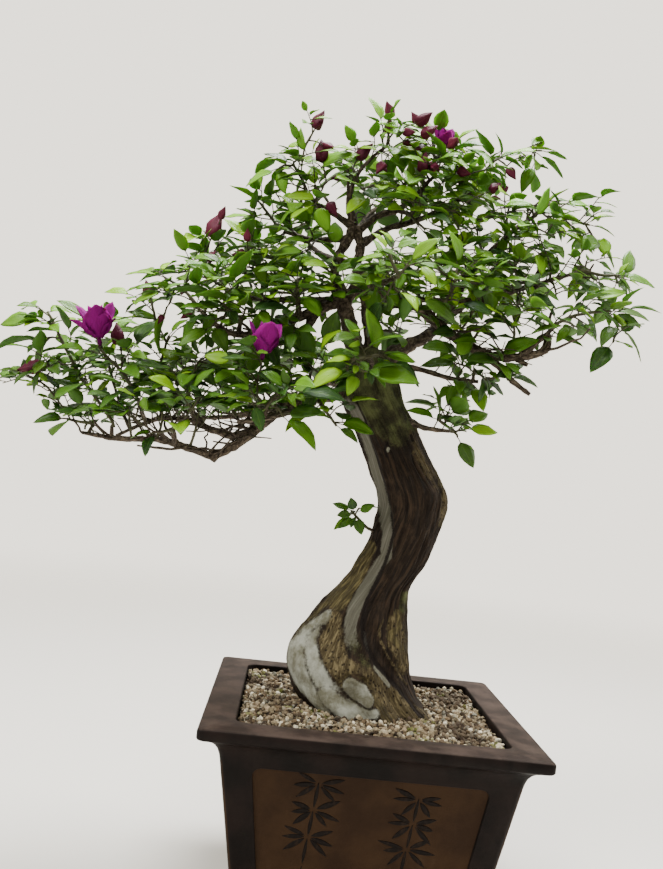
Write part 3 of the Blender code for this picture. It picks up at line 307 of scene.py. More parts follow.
@dataclass(frozen=True)
class Finish:
    """What every finish has: a name, its roughness, a bump depth and how strongly it mirrors."""

    name: str
    roughness: float = 0.6
    bump: float = 0.0005
    mirror: float = 0.5

    def material(self) -> bpy.types.Material:
        """Builds the finish as a material.

        Returns:
            The new material.
        """
        made = bpy.data.materials.new(self.name)
        made.use_nodes = True
        made.diffuse_color = (0.5, 0.5, 0.5, 1.0)
        work = ShaderTree(made.node_tree)
        shader = made.node_tree.nodes["Principled BSDF"]
        shader.inputs["Roughness"].default_value = self.roughness
        shader.inputs["Specular IOR Level"].default_value = self.mirror
        self.dress(work, shader)
        return made

    def dress(self, work: ShaderTree, shader: bpy.types.Node) -> None:
        """Feeds the shader; each finish has its own way."""
        raise NotImplementedError

    def effect(self, work: ShaderTree, which: SharedEffect, **values: object) -> bpy.types.Node:
        """Places a shared effect.

        Args:
            work: The material's tree.
            which: The effect.
            **values: Its inputs by name.

        Returns:
            The group's node.
        """
        node = work.add("Group")
        node.node_tree = EFFECTS.group(which)
        for name, value in values.items():
            work.feed(node.inputs[name], value)
        return node


@dataclass(frozen=True)
class ClayFinish(Finish):
    """Unglazed, dark fired clay with a dusty bloom on what faces up."""

    light: tuple[float, float, float] = (0.0090, 0.0050, 0.0040)
    dark: tuple[float, float, float] = (0.0032, 0.0019, 0.0015)
    dust: tuple[float, float, float] = (0.100, 0.070, 0.056)
    dust_amount: float = 0.36

    def dress(self, work: ShaderTree, shader: bpy.types.Node) -> None:
        """Mottled body colour, dust on the upward faces, water marks and a fine sandy grain."""
        place = work.add("TexCoord").outputs["Object"]
        body = self.effect(work, SharedEffect.MOTTLE, Vector=place, Light=self.light, Dark=self.dark,
                           Scale=26.0, Fleck=0.5)
        upward = work.add("SeparateXYZ", {0: work.add("NewGeometry").outputs["Normal"]}).outputs[2]
        patch = work.ease(work.noise(place, 34.0, 4.0, 0.65), 0.38, 0.66)
        top = work.times(work.ease(upward, 0.35, 0.95), self.dust_amount)
        marks = work.ease(work.noise(work.stretch(place, (60.0, 60.0, 6.0)), 1.0, 3.0), 0.56, 0.72)
        dusty = work.plus(work.times(top, work.plus(patch, 0.55)),
                          work.times(marks, 0.025), True)
        work.feed(shader.inputs["Base Color"], work.blend(dusty, body.outputs["Color"], self.dust))
        rough = work.plus(work.times(dusty, 0.25), self.roughness - 0.04, True)
        work.feed(shader.inputs["Roughness"], rough)
        grain = work.plus(work.noise(place, 900.0, 2.0), body.outputs["Height"])
        work.feed(shader.inputs["Normal"], work.bump(grain, 0.35, self.bump))


@dataclass(frozen=True)
class InkFinish(Finish):
    """Thin dark slip brushed on the clay."""

    colour: tuple[float, float, float] = (0.0050, 0.0032, 0.0026)

    def dress(self, work: ShaderTree, shader: bpy.types.Node) -> None:
        """Brush streaks, thinner here and there."""
        place = work.add("TexCoord").outputs["Object"]
        streak = work.noise(work.stretch(place, (300.0, 300.0, 60.0)), 1.0, 4.0)
        thin = work.ease(streak, 0.45, 0.75, 0.0, 0.45)
        work.feed(shader.inputs["Base Color"], work.blend(thin, self.colour, (0.030, 0.017, 0.010)))
        work.feed(shader.inputs["Normal"], work.bump(streak, 0.3, self.bump))


@dataclass(frozen=True)
class GritFinish(Finish):
    """Pumice, baked clay and granite grit; each grain's own number picks its colour."""

    def dress(self, work: ShaderTree, shader: bpy.types.Node) -> None:
        """A colour for each grain, speckled, with moss where the grain is marked."""
        tint = work.add("Attribute", attribute_name="tint")
        parts = work.add("SeparateColor", {0: tint.outputs["Color"]})
        place = work.add("TexCoord").outputs["Object"]
        ramp = work.add("ValToRGB", {0: parts.outputs[0]})
        ramp.color_ramp.interpolation = "CONSTANT"
        stops = ((0.0, (0.28, 0.225, 0.140)), (0.18, (0.46, 0.395, 0.27)), (0.34, (0.17, 0.120, 0.070)),
                 (0.50, (0.33, 0.255, 0.165)), (0.64, (0.105, 0.076, 0.048)), (0.76, (0.66, 0.60, 0.46)),
                 (0.86, (0.042, 0.030, 0.021)), (0.94, (0.20, 0.190, 0.150)))
        for index, (at, colour) in enumerate(stops):
            stop = ramp.color_ramp.elements[index] if index < 2 else ramp.color_ramp.elements.new(at)
            stop.position = at
            stop.color = (*colour, 1.0)
        speck = work.noise(place, 700.0, 4.0, 0.7)
        bright = work.plus(work.times(parts.outputs[1], 0.6), work.ease(speck, 0.3, 0.7, 0.35, 0.75))
        shade = work.add("CombineColor", {0: bright, 1: bright, 2: bright}).outputs[0]
        colour = work.blend(1.0, ramp.outputs[0], shade, "MULTIPLY")
        damp = work.ease(work.noise(place, 20.0, 3.0), 0.46, 0.64, 0.0, 0.80)
        colour = work.blend(damp, colour, (0.045, 0.030, 0.020))
        moss = work.times(parts.outputs[2], work.ease(work.noise(place, 260.0), 0.35, 0.6))
        work.feed(shader.inputs["Base Color"], work.blend(moss, colour, (0.13, 0.15, 0.03)))
        work.feed(shader.inputs["Normal"], work.bump(speck, 0.7, self.bump))


class Zone(Enum):
    """What shows on a part of the trunk; the number is its place among the zone maps."""

    DEADWOOD = 0
    PALE = 1
    OLIVE = 2
    TAN = 3
    # The crack zone is sunk into the trunk and painted near black, which is painted shade in the crack.
    CRACK = 4
    GREEN = 5


# The trunk's zones, lowest first: amount, light and dark colour, and a mottle's scale and fleck or a fibre's
# repeats across and along.
ZONE_LAYERS = (
    (Zone.GREEN, 0.94, (0.085, 0.095, 0.035), (0.022, 0.020, 0.010), (70.0, 1.2)),
    (Zone.OLIVE, 0.92, (0.165, 0.135, 0.058), (0.034, 0.027, 0.012), (110.0, 26.0)),
    (Zone.TAN, 0.95, (0.178, 0.142, 0.072), (0.042, 0.031, 0.014), (130.0, 34.0)),
    (Zone.DEADWOOD, 1.0, (0.150, 0.146, 0.118), (0.078, 0.075, 0.056), (70.0, 5.0)),
    (Zone.PALE, 0.95, (0.33, 0.34, 0.29), (0.120, 0.115, 0.078), (48.0, 1.1)),
)


@dataclass(frozen=True)
class BarkFinish(Finish):
    """Furrowed bark, and on the trunk the zones that the zone maps mark."""

    light: tuple[float, float, float] = (0.038, 0.024, 0.0145)
    dark: tuple[float, float, float] = (0.0075, 0.0048, 0.0032)
    zoned: bool = False

    def dress(self, work: ShaderTree, shader: bpy.types.Node) -> None:
        """Fibrous bark first, then each zone over it with a ragged edge."""
        place = work.add("TexCoord")
        bark = self.effect(work, SharedEffect.FIBRE, Vector=place.outputs["UV"], Light=self.light,
                           Dark=self.dark, Across=58.0 if self.zoned else 9.0, Along=9.0 if self.zoned else 6.0)
        colour, height = bark.outputs["Color"], bark.outputs["Height"]
        patch = work.noise(place.outputs["Object"], 55.0, 5.0, 0.62)
        colour = work.blend(work.ease(patch, 0.50, 0.76, 0.0, 0.4), colour,
                            tuple(1.9 * each for each in self.light))
        if self.zoned:
            colour, height = self.zones(work, place, colour, height, patch)
        work.feed(shader.inputs["Base Color"], colour)
        work.feed(shader.inputs["Normal"], work.bump(height, 0.8, self.bump))

    def zones(self, work: ShaderTree, place: bpy.types.Node, colour: bpy.types.NodeSocket,
              height: bpy.types.NodeSocket, patch: bpy.types.NodeSocket) -> tuple:
        """Lays the trunk's zones over the bark.

        Args:
            work: The material's tree.
            place: The coordinates' node.
            colour: The bark's colour.
            height: The bark's height.
            patch: A broad noise that frays the zones' edges.

        Returns:
            The colour and the height with the zones in them.
        """
        fine = work.noise(place.outputs["Object"], 420.0, 4.0, 0.7)
        ragged = work.times(work.minus(work.plus(patch, fine), 1.0), 0.75)
        masks = []
        for name in ("zones_a", "zones_b"):
            parts = work.add("SeparateColor", {0: work.add("Attribute", attribute_name=name).outputs["Color"]})
            masks += [work.ease(work.plus(parts.outputs[index], ragged), 0.30, 0.72) for index in range(3)]
        for zone, amount, light, dark, (first, second) in ZONE_LAYERS:
            if zone in (Zone.GREEN, Zone.PALE):
                layer = self.effect(work, SharedEffect.MOTTLE, Vector=place.outputs["Object"], Light=light,
                                    Dark=dark, Scale=first, Fleck=second)
            else:
                layer = self.effect(work, SharedEffect.FIBRE, Vector=place.outputs["UV"], Light=light,
                                    Dark=dark, Across=first, Along=second)
            cover = work.times(masks[zone.value], amount)
            colour = work.blend(cover, colour, layer.outputs["Color"])
        pits = work.add("TexVoronoi", {"Vector": place.outputs["Object"], "Scale": 230.0}).outputs["Distance"]
        pit_depth_and_shade = work.times(work.ease(pits, 0.16, 0.34, 1.0, 0.0), masks[Zone.TAN.value])
        # Painted shade: the pits in the tan wood are painted near black as well as sunk in the height.
        colour = work.blend(work.times(pit_depth_and_shade, 0.8), colour, (0.012, 0.008, 0.005))
        # Painted shade: the cracks are painted near black.
        colour = work.blend(work.times(masks[Zone.CRACK.value], 0.93), colour, (0.008, 0.005, 0.004))
        smooth = work.math("MAXIMUM", masks[Zone.DEADWOOD.value], masks[Zone.PALE.value])
        calm = work.minus(1.0, work.times(smooth, 0.72))
        height = work.minus(work.times(height, calm), work.times(pit_depth_and_shade, 0.8))
        height = work.plus(height, work.times(fine, 0.5))
        return colour, height


@dataclass(frozen=True)
class BladeFinish(Finish):
    """A living leaf or bract: veined, a little translucent, each with its own tone, which on leaves is partly
    painted light and shade.
    """

    deep: tuple[float, float, float] = (0.016, 0.048, 0.010)
    bright: tuple[float, float, float] = (0.125, 0.310, 0.006)
    young: tuple[float, float, float] = (0.240, 0.450, 0.001)
    under: tuple[float, float, float] = (0.060, 0.145, 0.022)
    rib: tuple[float, float, float] = (0.120, 0.250, 0.020)
    rib_amount: float = 0.22
    pairs: float = 6.0
    coat: float = 0.0

    def dress(self, work: ShaderTree, shader: bpy.types.Node) -> None:
        """Tone from the blade's own numbers, which on leaves hold painted light and shade by height, then
        veins, a pale underside and a little gloss.
        """
        place = work.add("TexCoord")
        parts = work.add("SeparateColor", {0: work.add("Attribute", attribute_name="tint").outputs["Color"]})
        cloud = work.noise(place.outputs["Object"], 120.0, 3.0)
        # The first number is the tone; on leaves it is painted light and shade by height in the canopy, with a
        # random spread.
        tone = work.plus(parts.outputs[0], work.times(work.minus(cloud, 0.5), 0.55), True)
        colour = work.blend(tone, self.deep, self.bright)
        # The third number sets how young the blade looks; on leaves set high up it is partly painted light
        # through the leaves.
        colour = work.blend(parts.outputs[2], colour, self.young)
        veins = self.effect(work, SharedEffect.VEINS, Vector=place.outputs["UV"], Pairs=self.pairs)
        colour = work.blend(work.times(veins.outputs["Mask"], self.rib_amount), colour, self.rib)
        colour = work.blend(work.times(parts.outputs[1], 0.6), colour, self.under)
        work.feed(shader.inputs["Base Color"], colour)
        gloss = work.plus(work.times(parts.outputs[1], 0.22), self.roughness, True)
        work.feed(shader.inputs["Roughness"], gloss)
        work.feed(shader.inputs["Normal"], work.bump(veins.outputs["Height"], 0.55, self.bump))
        shader.inputs["Coat Weight"].default_value = self.coat
        shader.inputs["Coat Roughness"].default_value = 0.25
        shader.inputs["Subsurface Weight"].default_value = 0.10
        shader.inputs["Subsurface Radius"].default_value = (0.4, 0.8, 0.15)
        shader.inputs["Subsurface Scale"].default_value = 0.002


@dataclass(frozen=True)
class GroundFinish(Finish):
    """The plain pale ground, which fades into its surroundings far away."""

    colour: tuple[float, float, float] = (0.66, 0.635, 0.585)
    fade: tuple[float, float] = (0.6, 3.2)

    def dress(self, work: ShaderTree, shader: bpy.types.Node) -> None:
        """A very soft unevenness of tone, and the fade."""
        place = work.add("TexCoord").outputs["Object"]
        soft = work.times(work.noise(place, 1.5, 3.0), 0.10)
        work.feed(shader.inputs["Base Color"], work.blend(soft, self.colour, (0.60, 0.575, 0.53)))
        away = work.add("VectorMath", {0: place}, operation="LENGTH").outputs["Value"]
        work.feed(shader.inputs["Alpha"], work.ease(away, *self.fade, 1.0, 0.0))


POT_CLAY = ClayFinish("pot_clay", 0.58, 0.0004, 0.10)
PANEL_CLAY = ClayFinish("panel_clay", 0.75, 0.0006, 0.10, (0.032, 0.0165, 0.0075), (0.021, 0.0105, 0.005),
                        (0.22, 0.17, 0.12), 0.2)
SLIP_INK = InkFinish("slip_ink", 0.6, 0.0003, 0.10)
GRIT = GritFinish("grit", 0.92, 0.0006, 0.2)
TRUNK_BARK = BarkFinish("trunk_bark", 0.82, 0.0016, 0.18, zoned=True)
BRANCH_BARK = BarkFinish("branch_bark", 0.80, 0.0009, 0.2, (0.165, 0.130, 0.092), (0.020, 0.013, 0.008))
GREEN_STEM = BarkFinish("green_stem", 0.55, 0.0003, 0.35, (0.070, 0.080, 0.024), (0.036, 0.030, 0.013))
LEAF = BladeFinish("leaf", 0.36, 0.0003, 0.20)
YOUNG_BRACT = BladeFinish("young_bract", 0.50, 0.0004, 0.15, (0.026, 0.0022, 0.007), (0.088, 0.006, 0.024),
                          (0.15, 0.014, 0.044), (0.10, 0.012, 0.03), (0.15, 0.03, 0.05), 0.4, 5.0)
OPEN_BRACT = BladeFinish("open_bract", 0.55, 0.0005, 0.10, (0.080, 0.0002, 0.058), (0.250, 0.0004, 0.190),
                         (0.38, 0.003, 0.30), (0.24, 0.001, 0.17), (0.13, 0.001, 0.085), 0.4, 5.0)
FLOWER_TUBE = BladeFinish("flower_tube", 0.50, 0.0003, 0.4, (0.30, 0.05, 0.10), (0.55, 0.33, 0.20),
                          (0.75, 0.65, 0.35), (0.45, 0.22, 0.18), (0.5, 0.25, 0.2), 0.3, 3.0)
GROUND = GroundFinish("ground", 0.9, 0.0, 0.1)


# The trunk's outline: (height, left edge, right edge, middle of the depth, half depth).
TRUNK_ROWS = [
    (150, -62, 62, 0, 60), (189, -62, 62, 0, 60), (195.5, -62, 62, 0, 60), (205, -71, 55, 0, 59),
    (217, -80, 50, 1, 56),
    (234, -86, 44, 2, 53), (252, -85, 40, 3, 50), (266, -78, 38, 3, 47), (282, -67, 37, 3, 44),
    (300, -56, 35, 2, 41), (322, -37, 34, 1, 38), (340, -26, 43, 0, 36), (358, -18, 51, 0, 35),
    (380, -12, 58, 0, 36), (403, -8, 62, 0, 37), (418, -12, 63, 1, 37), (434, -19, 56, 2, 36),
    (452, -27, 45, 3, 34), (472, -37, 33, 3, 32), (492, -48, 22, 3, 30), (512, -59, 9, 2, 29),
    (532, -65, 1, 1, 28), (549, -66, -6, 0, 25), (560, -62, -12, 0, 20), (567, -54, -18, 0, 13),
]
TRUNK_SIDES = 20
TRUNK_FOOT = 168.0
# Swellings and hollows of the trunk: (height, turn from +X in degrees, tall, wide in degrees, rise).
TRUNK_LUMPS = [
    (192, 182, 22, 16, 6), (192, 224, 22, 15, 7), (190, 250, 24, 14, 9), (190, 283, 24, 14, 5),
    (190, 328, 26, 15, 13), (190, 32, 26, 20, 12), (190, 128, 26, 24, 12), (190, 80, 24, 18, 5),
    (205, 268, 22, 9, -5), (208, 306, 24, 10, -7), (236, 262, 16, 20, 4), (262, 236, 14, 18, -4),
    (300, 300, 26, 14, -4), (346, 200, 10, 20, 3), (352, 318, 16, 16, 3), (384, 236, 22, 18, 3),
    (405, 12, 12, 16, 4), (424, 292, 12, 16, 4), (436, 262, 10, 14, 3), (470, 214, 24, 16, -3),
    (506, 300, 18, 16, 3), (300, 90, 40, 30, 4), (410, 100, 40, 26, -4), (500, 80, 30, 24, 3),
]

# Each route runs from the thick end to the thin end: (across, away, up, radius), in millimetres from the
# ground under the pot's centre.
BRANCHES = {
    "leader_left": [(-43, 0, 549, 15), (-51, -2, 567, 10), (-59, -3, 587, 9), (-65, -4, 605, 9),
                    (-70, -4, 622, 8), (-81, -3, 642, 5), (-78, 0, 665, 5), (-69, 0, 685, 6), (-67, 0, 700, 5)],
    "leader_right": [(-29, 0, 550, 10), (-34, 1, 572, 6.5), (-41, 2, 598, 6), (-46, 1, 621, 6),
                     (-51, 0, 638, 6.5), (-58, 0, 654, 5.5), (-56, 0, 674, 5.5), (-62, 0, 688, 5)],
    "low_left": [(-45, 0, 523, 9), (-72, -10, 513, 6.5), (-97, -20, 505, 6), (-118, -28, 494, 5.5),
                 (-138, -38, 473, 5.2), (-157, -45, 454, 4.8), (-181, -50, 438, 4.6), (-206, -50, 442, 4),
                 (-240, -46, 447, 3.5), (-278, -38, 444, 3), (-318, -28, 446, 2)],
    "low_left_knee": [(-180, -50, 440, 4.2), (-183, -50, 432, 3.4)],
    "low_left_inner": [(-138, -38, 473, 4.6), (-163, -24, 460, 4.4), (-190, -8, 464, 4), (-217, 6, 472, 3.4),
                       (-252, 17, 469, 2.6), (-291, 10, 447, 1.8)],
    "low_left_back": [(-102, -22, 502, 4.6), (-133, 16, 494, 4.2), (-168, 50, 484, 3.4), (-206, 74, 479, 2.4)],
    "low_front": [(-84, -15, 509, 4.4), (-103, -52, 493, 3.8), (-131, -88, 479, 3), (-158, -106, 471, 2.2)],
    "low_back": [(-49, 12, 530, 5), (-77, 52, 532, 4), (-109, 84, 529, 3), (-149, 102, 531, 2.2)],
    "mid_left": [(-51, 0, 636, 7), (-68, -6, 616, 6), (-90, -12, 603, 5.6), (-112, -20, 590, 5),
                 (-133, -28, 578, 4.6), (-155, -34, 566, 4), (-176, -38, 562, 3.4), (-197, -38, 570, 2.6),
                 (-213, -36, 583, 2)],
    "mid_left_lower": [(-94, -14, 600, 3.6), (-106, -28, 577, 3.0), (-140, -46, 571, 2)],
    "mid_left_hanging": [(-102, -16, 593, 3), (-108, -14, 569, 2.8), (-149, -2, 557, 1.8)],
    "mid_left_back": [(-80, -8, 610, 4.6), (-101, 30, 618, 4.2), (-130, 62, 620, 3.6), (-184, 92, 622, 2.4)],
    "crown_left": [(-69, 0, 683, 4), (-98, 8, 679, 3.4), (-120, 14, 681, 2.8), (-145, 19, 692, 2)],
    "crown_left_back": [(-74, 4, 657, 4), (-98, 42, 672, 3.4), (-123, 66, 693, 2.6), (-142, 82, 701, 1.8)],
    "apex_left": [(-68, 0, 696, 4), (-92, -8, 706, 3), (-113, -12, 714, 2.5), (-126, -14, 736, 1.8)],
    "apex": [(-67, 0, 700, 4.4), (-74, -4, 719, 3.2), (-73, -6, 735, 2.8), (-67, -8, 752, 2.4),
             (-55, -8, 769, 2), (-44, -7, 781, 1.6)],
    "apex_cut_twig": [(-74, -4, 716, 2), (-79, -8, 753, 1.4)],
    "apex_right": [(-61, 0, 692, 4.4), (-41, 6, 712, 3.8), (-20, 10, 722, 3.6), (-3, 14, 740, 3),
                   (11, 16, 760, 2.2)],
    "apex_back": [(-61, 2, 686, 4.2), (-52, 36, 716, 3.4), (-35, 62, 741, 2.4)],
    "right_upper": [(-56, 4, 679, 4), (-31, 18, 701, 3.8), (-2, 30, 716, 3.4), (29, 40, 736, 3),
                    (61, 46, 760, 2.2)],
    "right_middle": [(-51, 0, 636, 7), (-26, -6, 628, 6), (-3, -12, 622, 6), (21, -18, 607, 6),
                     (42, -24, 591, 6), (64, -30, 579, 5.5), (88, -36, 570, 5), (116, -40, 572, 4.6),
                     (141, -42, 581, 4), (143, -42, 598, 2.8)],
    "right_stub": [(108, -39, 571, 3), (124, -44, 564, 2)],
    "right_heavy": [(-24, 0, 549, 13), (0, 8, 572, 8), (23, 16, 589, 7), (44, 24, 610, 6), (55, 30, 638, 5),
                    (68, 34, 667, 4.4), (89, 38, 695, 3.8), (112, 42, 722, 3.2), (135, 44, 743, 2.2)],
    "right_far": [(53, 29, 634, 4), (79, 15, 636, 3.6), (118, 1, 650, 3), (176, -10, 673, 1.8)],
    "right_far_low": [(116, -40, 572, 3.2), (131, -48, 588, 2.6), (148, -46, 607, 2)],
    "right_back": [(23, 16, 589, 5.4), (45, 58, 613, 4.6), (75, 92, 642, 3.6), (119, 112, 673, 2.4)],
    "right_low": [(76, -33, 574, 4), (95, -40, 560, 3.4), (110, -44, 546, 3), (129, -46, 534, 2.2)],
    "right_low_inner": [(-14, 2, 554, 4), (20, -2, 552, 3), (52, -13, 545, 2.7), (80, -20, 544, 2)],
    "trunk_right": [(9, -6, 497, 4), (30, -18, 490, 2.8), (55, -26, 489, 1.8)],
    "front_crown": [(-49, -2, 629, 5), (-41, -48, 623, 4), (-32, -82, 624, 3), (-24, -100, 626, 2)],
    "front_low": [(-37, -12, 540, 5), (-36, -50, 546, 3.8), (-40, -84, 548, 2.4)],
    "right_front": [(-6, -12, 622, 4.2), (12, -38, 619, 3.2), (28, -60, 617, 2)],
    "centre_back": [(-36, 4, 567, 6), (-29, 56, 603, 4.8), (-16, 92, 636, 3.6), (0, 114, 661, 2.2)],
}


Shape = tuple[list[Vector], list[tuple[int, ...]]]
END_REACH = 16.0
TRIES = 14
STEM_TRIES = 12
LEAF_CLEARANCE = 0.7
TRUNK_HOLD = 9.0
SIDE_REACH = 158.0
LEAF_SPACING = 46.0
LEAVES_ALONG = 2
LEAF_SIZES = ((20, 25), (23, 28), (28, 34), (30, 38), (36, 45))
GOLDEN = math.radians(137.5)
STEM_SIDES = 3
TWIG_SIDES = 4
JOINT_MARGIN = 2.4
BLADE_THICK = 1.25
STALK_RADIUS = 0.6
SMALL_STATIONS = [(0.40, 1.0)]
SHORT_STATIONS = [(0.24, 0.90), (0.62, 0.82)]
LONG_STATIONS = [(0.15, 0.72), (0.42, 1.0), (0.74, 0.62)]
SHORT_BLADE = 38.5
LONG_BLADE = 44.0
BUD_RINGS = [(0.0, 0.36, 0.32), (0.32, 1.0, 0.60), (0.72, 0.76, 0.48)]


def cubic(part: float, low: object, slope_low: object, high: object, slope_high: object) -> object:
    """A value or point between two others that leaves and meets them at their slopes."""
    square, cube = part * part, part ** 3
    return ((2 * cube - 3 * square + 1) * low + (cube - 2 * square + part) * slope_low
            + (3 * square - 2 * cube) * high + (cube - square) * slope_high)


def ring_faces(rings: int, sides: int) -> list[tuple[int, ...]]:
    """The faces between rings of points that follow each other."""
    return [(low + step, low + (step + 1) % sides, low + (step + 1) % sides + sides, low + step + sides)
            for low in range(0, (rings - 1) * sides, sides) for step in range(sides)]


def fan(first: int, sides: int, tip: int) -> list[tuple[int, ...]]:
    """The faces between a ring's points, from its first, and a tip."""
    return [(first + step, first + (step + 1) % sides, tip) for step in range(sides)]


def spaced(rows: list[tuple], height: float) -> tuple[float, ...]:
    """Reads a table's row at a height, easing between the rows with Catmull-Rom slopes.

    Args:
        rows: The table, sorted by its first column.
        height: Where it is read.

    Returns:
        The other columns there.
    """
    if height <= rows[0][0]:
        return rows[0][1:]
    for index in range(len(rows) - 1):
        low, high = rows[index], rows[index + 1]
        if height <= high[0]:
            span = high[0] - low[0]
            part = (height - low[0]) / span
            before, after = rows[max(index - 1, 0)], rows[min(index + 2, len(rows) - 1)]
            values = []
            for column in range(1, len(low)):
                slope_low = (high[column] - before[column]) / max(high[0] - before[0], 1e-6) * span
                slope_high = (after[column] - low[column]) / max(after[0] - low[0], 1e-6) * span
                values.append(cubic(part, low[column], slope_low, high[column], slope_high))
            return tuple(values)
    return rows[-1][1:]


def trunk_point(height: float, turn: float) -> Vector:
    """A point on the trunk's surface.

    Args:
        height: Its height in millimetres.
        turn: Its turn from +X in radians.

    Returns:
        The point in millimetres.
    """
    left, right, middle, half_depth = spaced(TRUNK_ROWS, height)
    rise = 0.0
    for lump_height, lump_turn, tall, wide, lump_rise in TRUNK_LUMPS:
        away = (math.degrees(turn) - lump_turn + 180.0) % 360.0 - 180.0
        read_height = max(height, lump_height) if lump_height < 196.0 else height
        fall = ((read_height - lump_height) / tall) ** 2 + (away / wide) ** 2
        if fall < 9.0:
            rise += lump_rise * math.exp(-fall)
    across, depth = math.cos(turn), math.sin(turn)
    half_width = (right - left) / 2
    return Vector(((left + right) / 2 + (half_width + rise) * across, middle + (half_depth + rise) * depth,
                   height))


def trunk_shell() -> Shape:
    """The trunk's solid, as the part has it: rings of points, a flat foot and a low crown.

    Returns:
        Its points and faces.
    """
    heights = [TRUNK_FOOT] + [float(row[0]) for row in TRUNK_ROWS[2:]]
    points = [trunk_point(height, math.tau * step / TRUNK_SIDES) for height in heights
              for step in range(TRUNK_SIDES)]
    top = len(points) - TRUNK_SIDES
    left, right, middle, _ = spaced(TRUNK_ROWS, heights[-1])
    points.append(Vector(((left + right) / 2, middle, heights[-1] + 3.0)))
    faces = ring_faces(len(heights), TRUNK_SIDES) + [tuple(reversed(range(TRUNK_SIDES)))]
    return points, faces + fan(top, TRUNK_SIDES, len(points) - 1)


def frames(points: list[Vector]) -> list[tuple[Vector, Vector, Vector]]:
    """Carries a frame along a line without twist.

    Args:
        points: The line.

    Returns:
        The way, the across and the up at each point.
    """
    ways = []
    for index in range(len(points)):
        before = points[index] - points[max(index - 1, 0)]
        after = points[min(index + 1, len(points) - 1)] - points[index]
        ways.append((before.normalized() + after.normalized()).normalized())
    across = ways[0].orthogonal().normalized()
    found = []
    for index, way in enumerate(ways):
        if index:
            across.rotate(ways[index - 1].rotation_difference(way))
        across = (across - way * across.dot(way)).normalized()
        found.append((way, across.copy(), way.cross(across)))
    return found


def tube(points: list[Vector], radii: list[float], sides: int) -> Shape:
    """A closed tapering tube with a flat cap square to each end.

    Args:
        points: Its middle line.
        radii: Its radius at each point.
        sides: How many sides it has.

    Returns:
        Its points and faces.
    """
    verts = []
    for point, radius, (_, across, up) in zip(points, radii, frames(points)):
        for step in range(sides):
            angle = math.tau * step / sides
            verts.append(point + (across * math.cos(angle) + up * math.sin(angle)) * radius)
    caps = [tuple(reversed(range(sides))), tuple(range(len(verts) - sides, len(verts)))]
    return verts, ring_faces(len(points), sides) + caps


@dataclass
class Blade:
    """One leaf or bract: where its stalk starts, which way it points and how it is shaped."""

    root: Vector
    along: Vector
    up: Vector
    length: float
    width: float
    stalk: float
    droop: float
    fold: float
    twist: float = 0.0

    def place(self, part: float, lateral: float, rise: float) -> Vector:
        """A point of the blade.

        Args:
            part: How far along its length.
            lateral: How far to its side, in millimetres.
            rise: How far along its own normal, in millimetres.

        Returns:
            The point in millimetres.
        """
        side = self.along.cross(self.up)
        turned = Quaternion(self.along, self.twist * part)
        side, normal = turned @ side, turned @ self.up
        sag = self.droop * self.length * max(part, 0.0) ** 2
        folded = abs(lateral) * math.sin(self.fold)
        centre = self.root + self.along * (self.stalk + self.length * part) - self.up * sag
        return centre + side * lateral * math.cos(self.fold) + normal * (rise + folded)


def blade_mesh(blade: Blade, grow: float = 0.0, skip_root: float = 0.0) -> Shape:
    """The blade's plain solid, as the part has it, by which it is given its room.

    Args:
        blade: The blade.
        grow: How much it is swollen.
        skip_root: How much of its stalk is left off.

    Returns:
        Its points and faces.
    """
    verts = []
    side = blade.along.cross(blade.up)
    for reach in (skip_root, blade.stalk * 0.95):
        middle = blade.root + blade.along * reach
        for across, rise in ((-0.87, -0.5), (0.0, 1.0), (0.87, -0.5)):
            verts.append(middle + (side * across + blade.up * rise) * (STALK_RADIUS + grow))
    faces = [(0, 2, 1), (0, 1, 4, 3), (1, 2, 5, 4), (2, 0, 3, 5)]
    faces += [(3, 4, 7), (3, 7, 6), (4, 5, 8), (4, 8, 7), (5, 3, 9), (5, 9, 8), (3, 6, 9)]
    stations = SMALL_STATIONS if blade.length < SHORT_BLADE else SHORT_STATIONS
    if blade.length >= LONG_BLADE:
        stations = LONG_STATIONS
    for part, breadth in stations:
        half = blade.width / 2 * breadth + grow
        thick = (BLADE_THICK / 2 if part < 0.6 else BLADE_THICK * 0.44) + grow
        verts += [blade.place(part, -half, 0.0), blade.place(part, 0.0, thick),
                  blade.place(part, half, 0.0), blade.place(part, 0.0, -thick)]
    verts.append(blade.place(1.0 + grow / blade.length, 0.0, 0.0))
    for ring in range(len(stations) - 1):
        low, high = 6 + 4 * ring, 10 + 4 * ring
        faces += [(low, low + 1, high + 1), (low, high + 1, high),
                  (low + 1, low + 2, high + 1), (low + 2, high + 2, high + 1),
                  (low + 3, low, high + 3), (low, high, high + 3),
                  (low + 2, low + 3, high + 3), (low + 2, high + 3, high + 2)]
    return verts, faces + fan(6 + 4 * (len(stations) - 1), 4, len(verts) - 1)


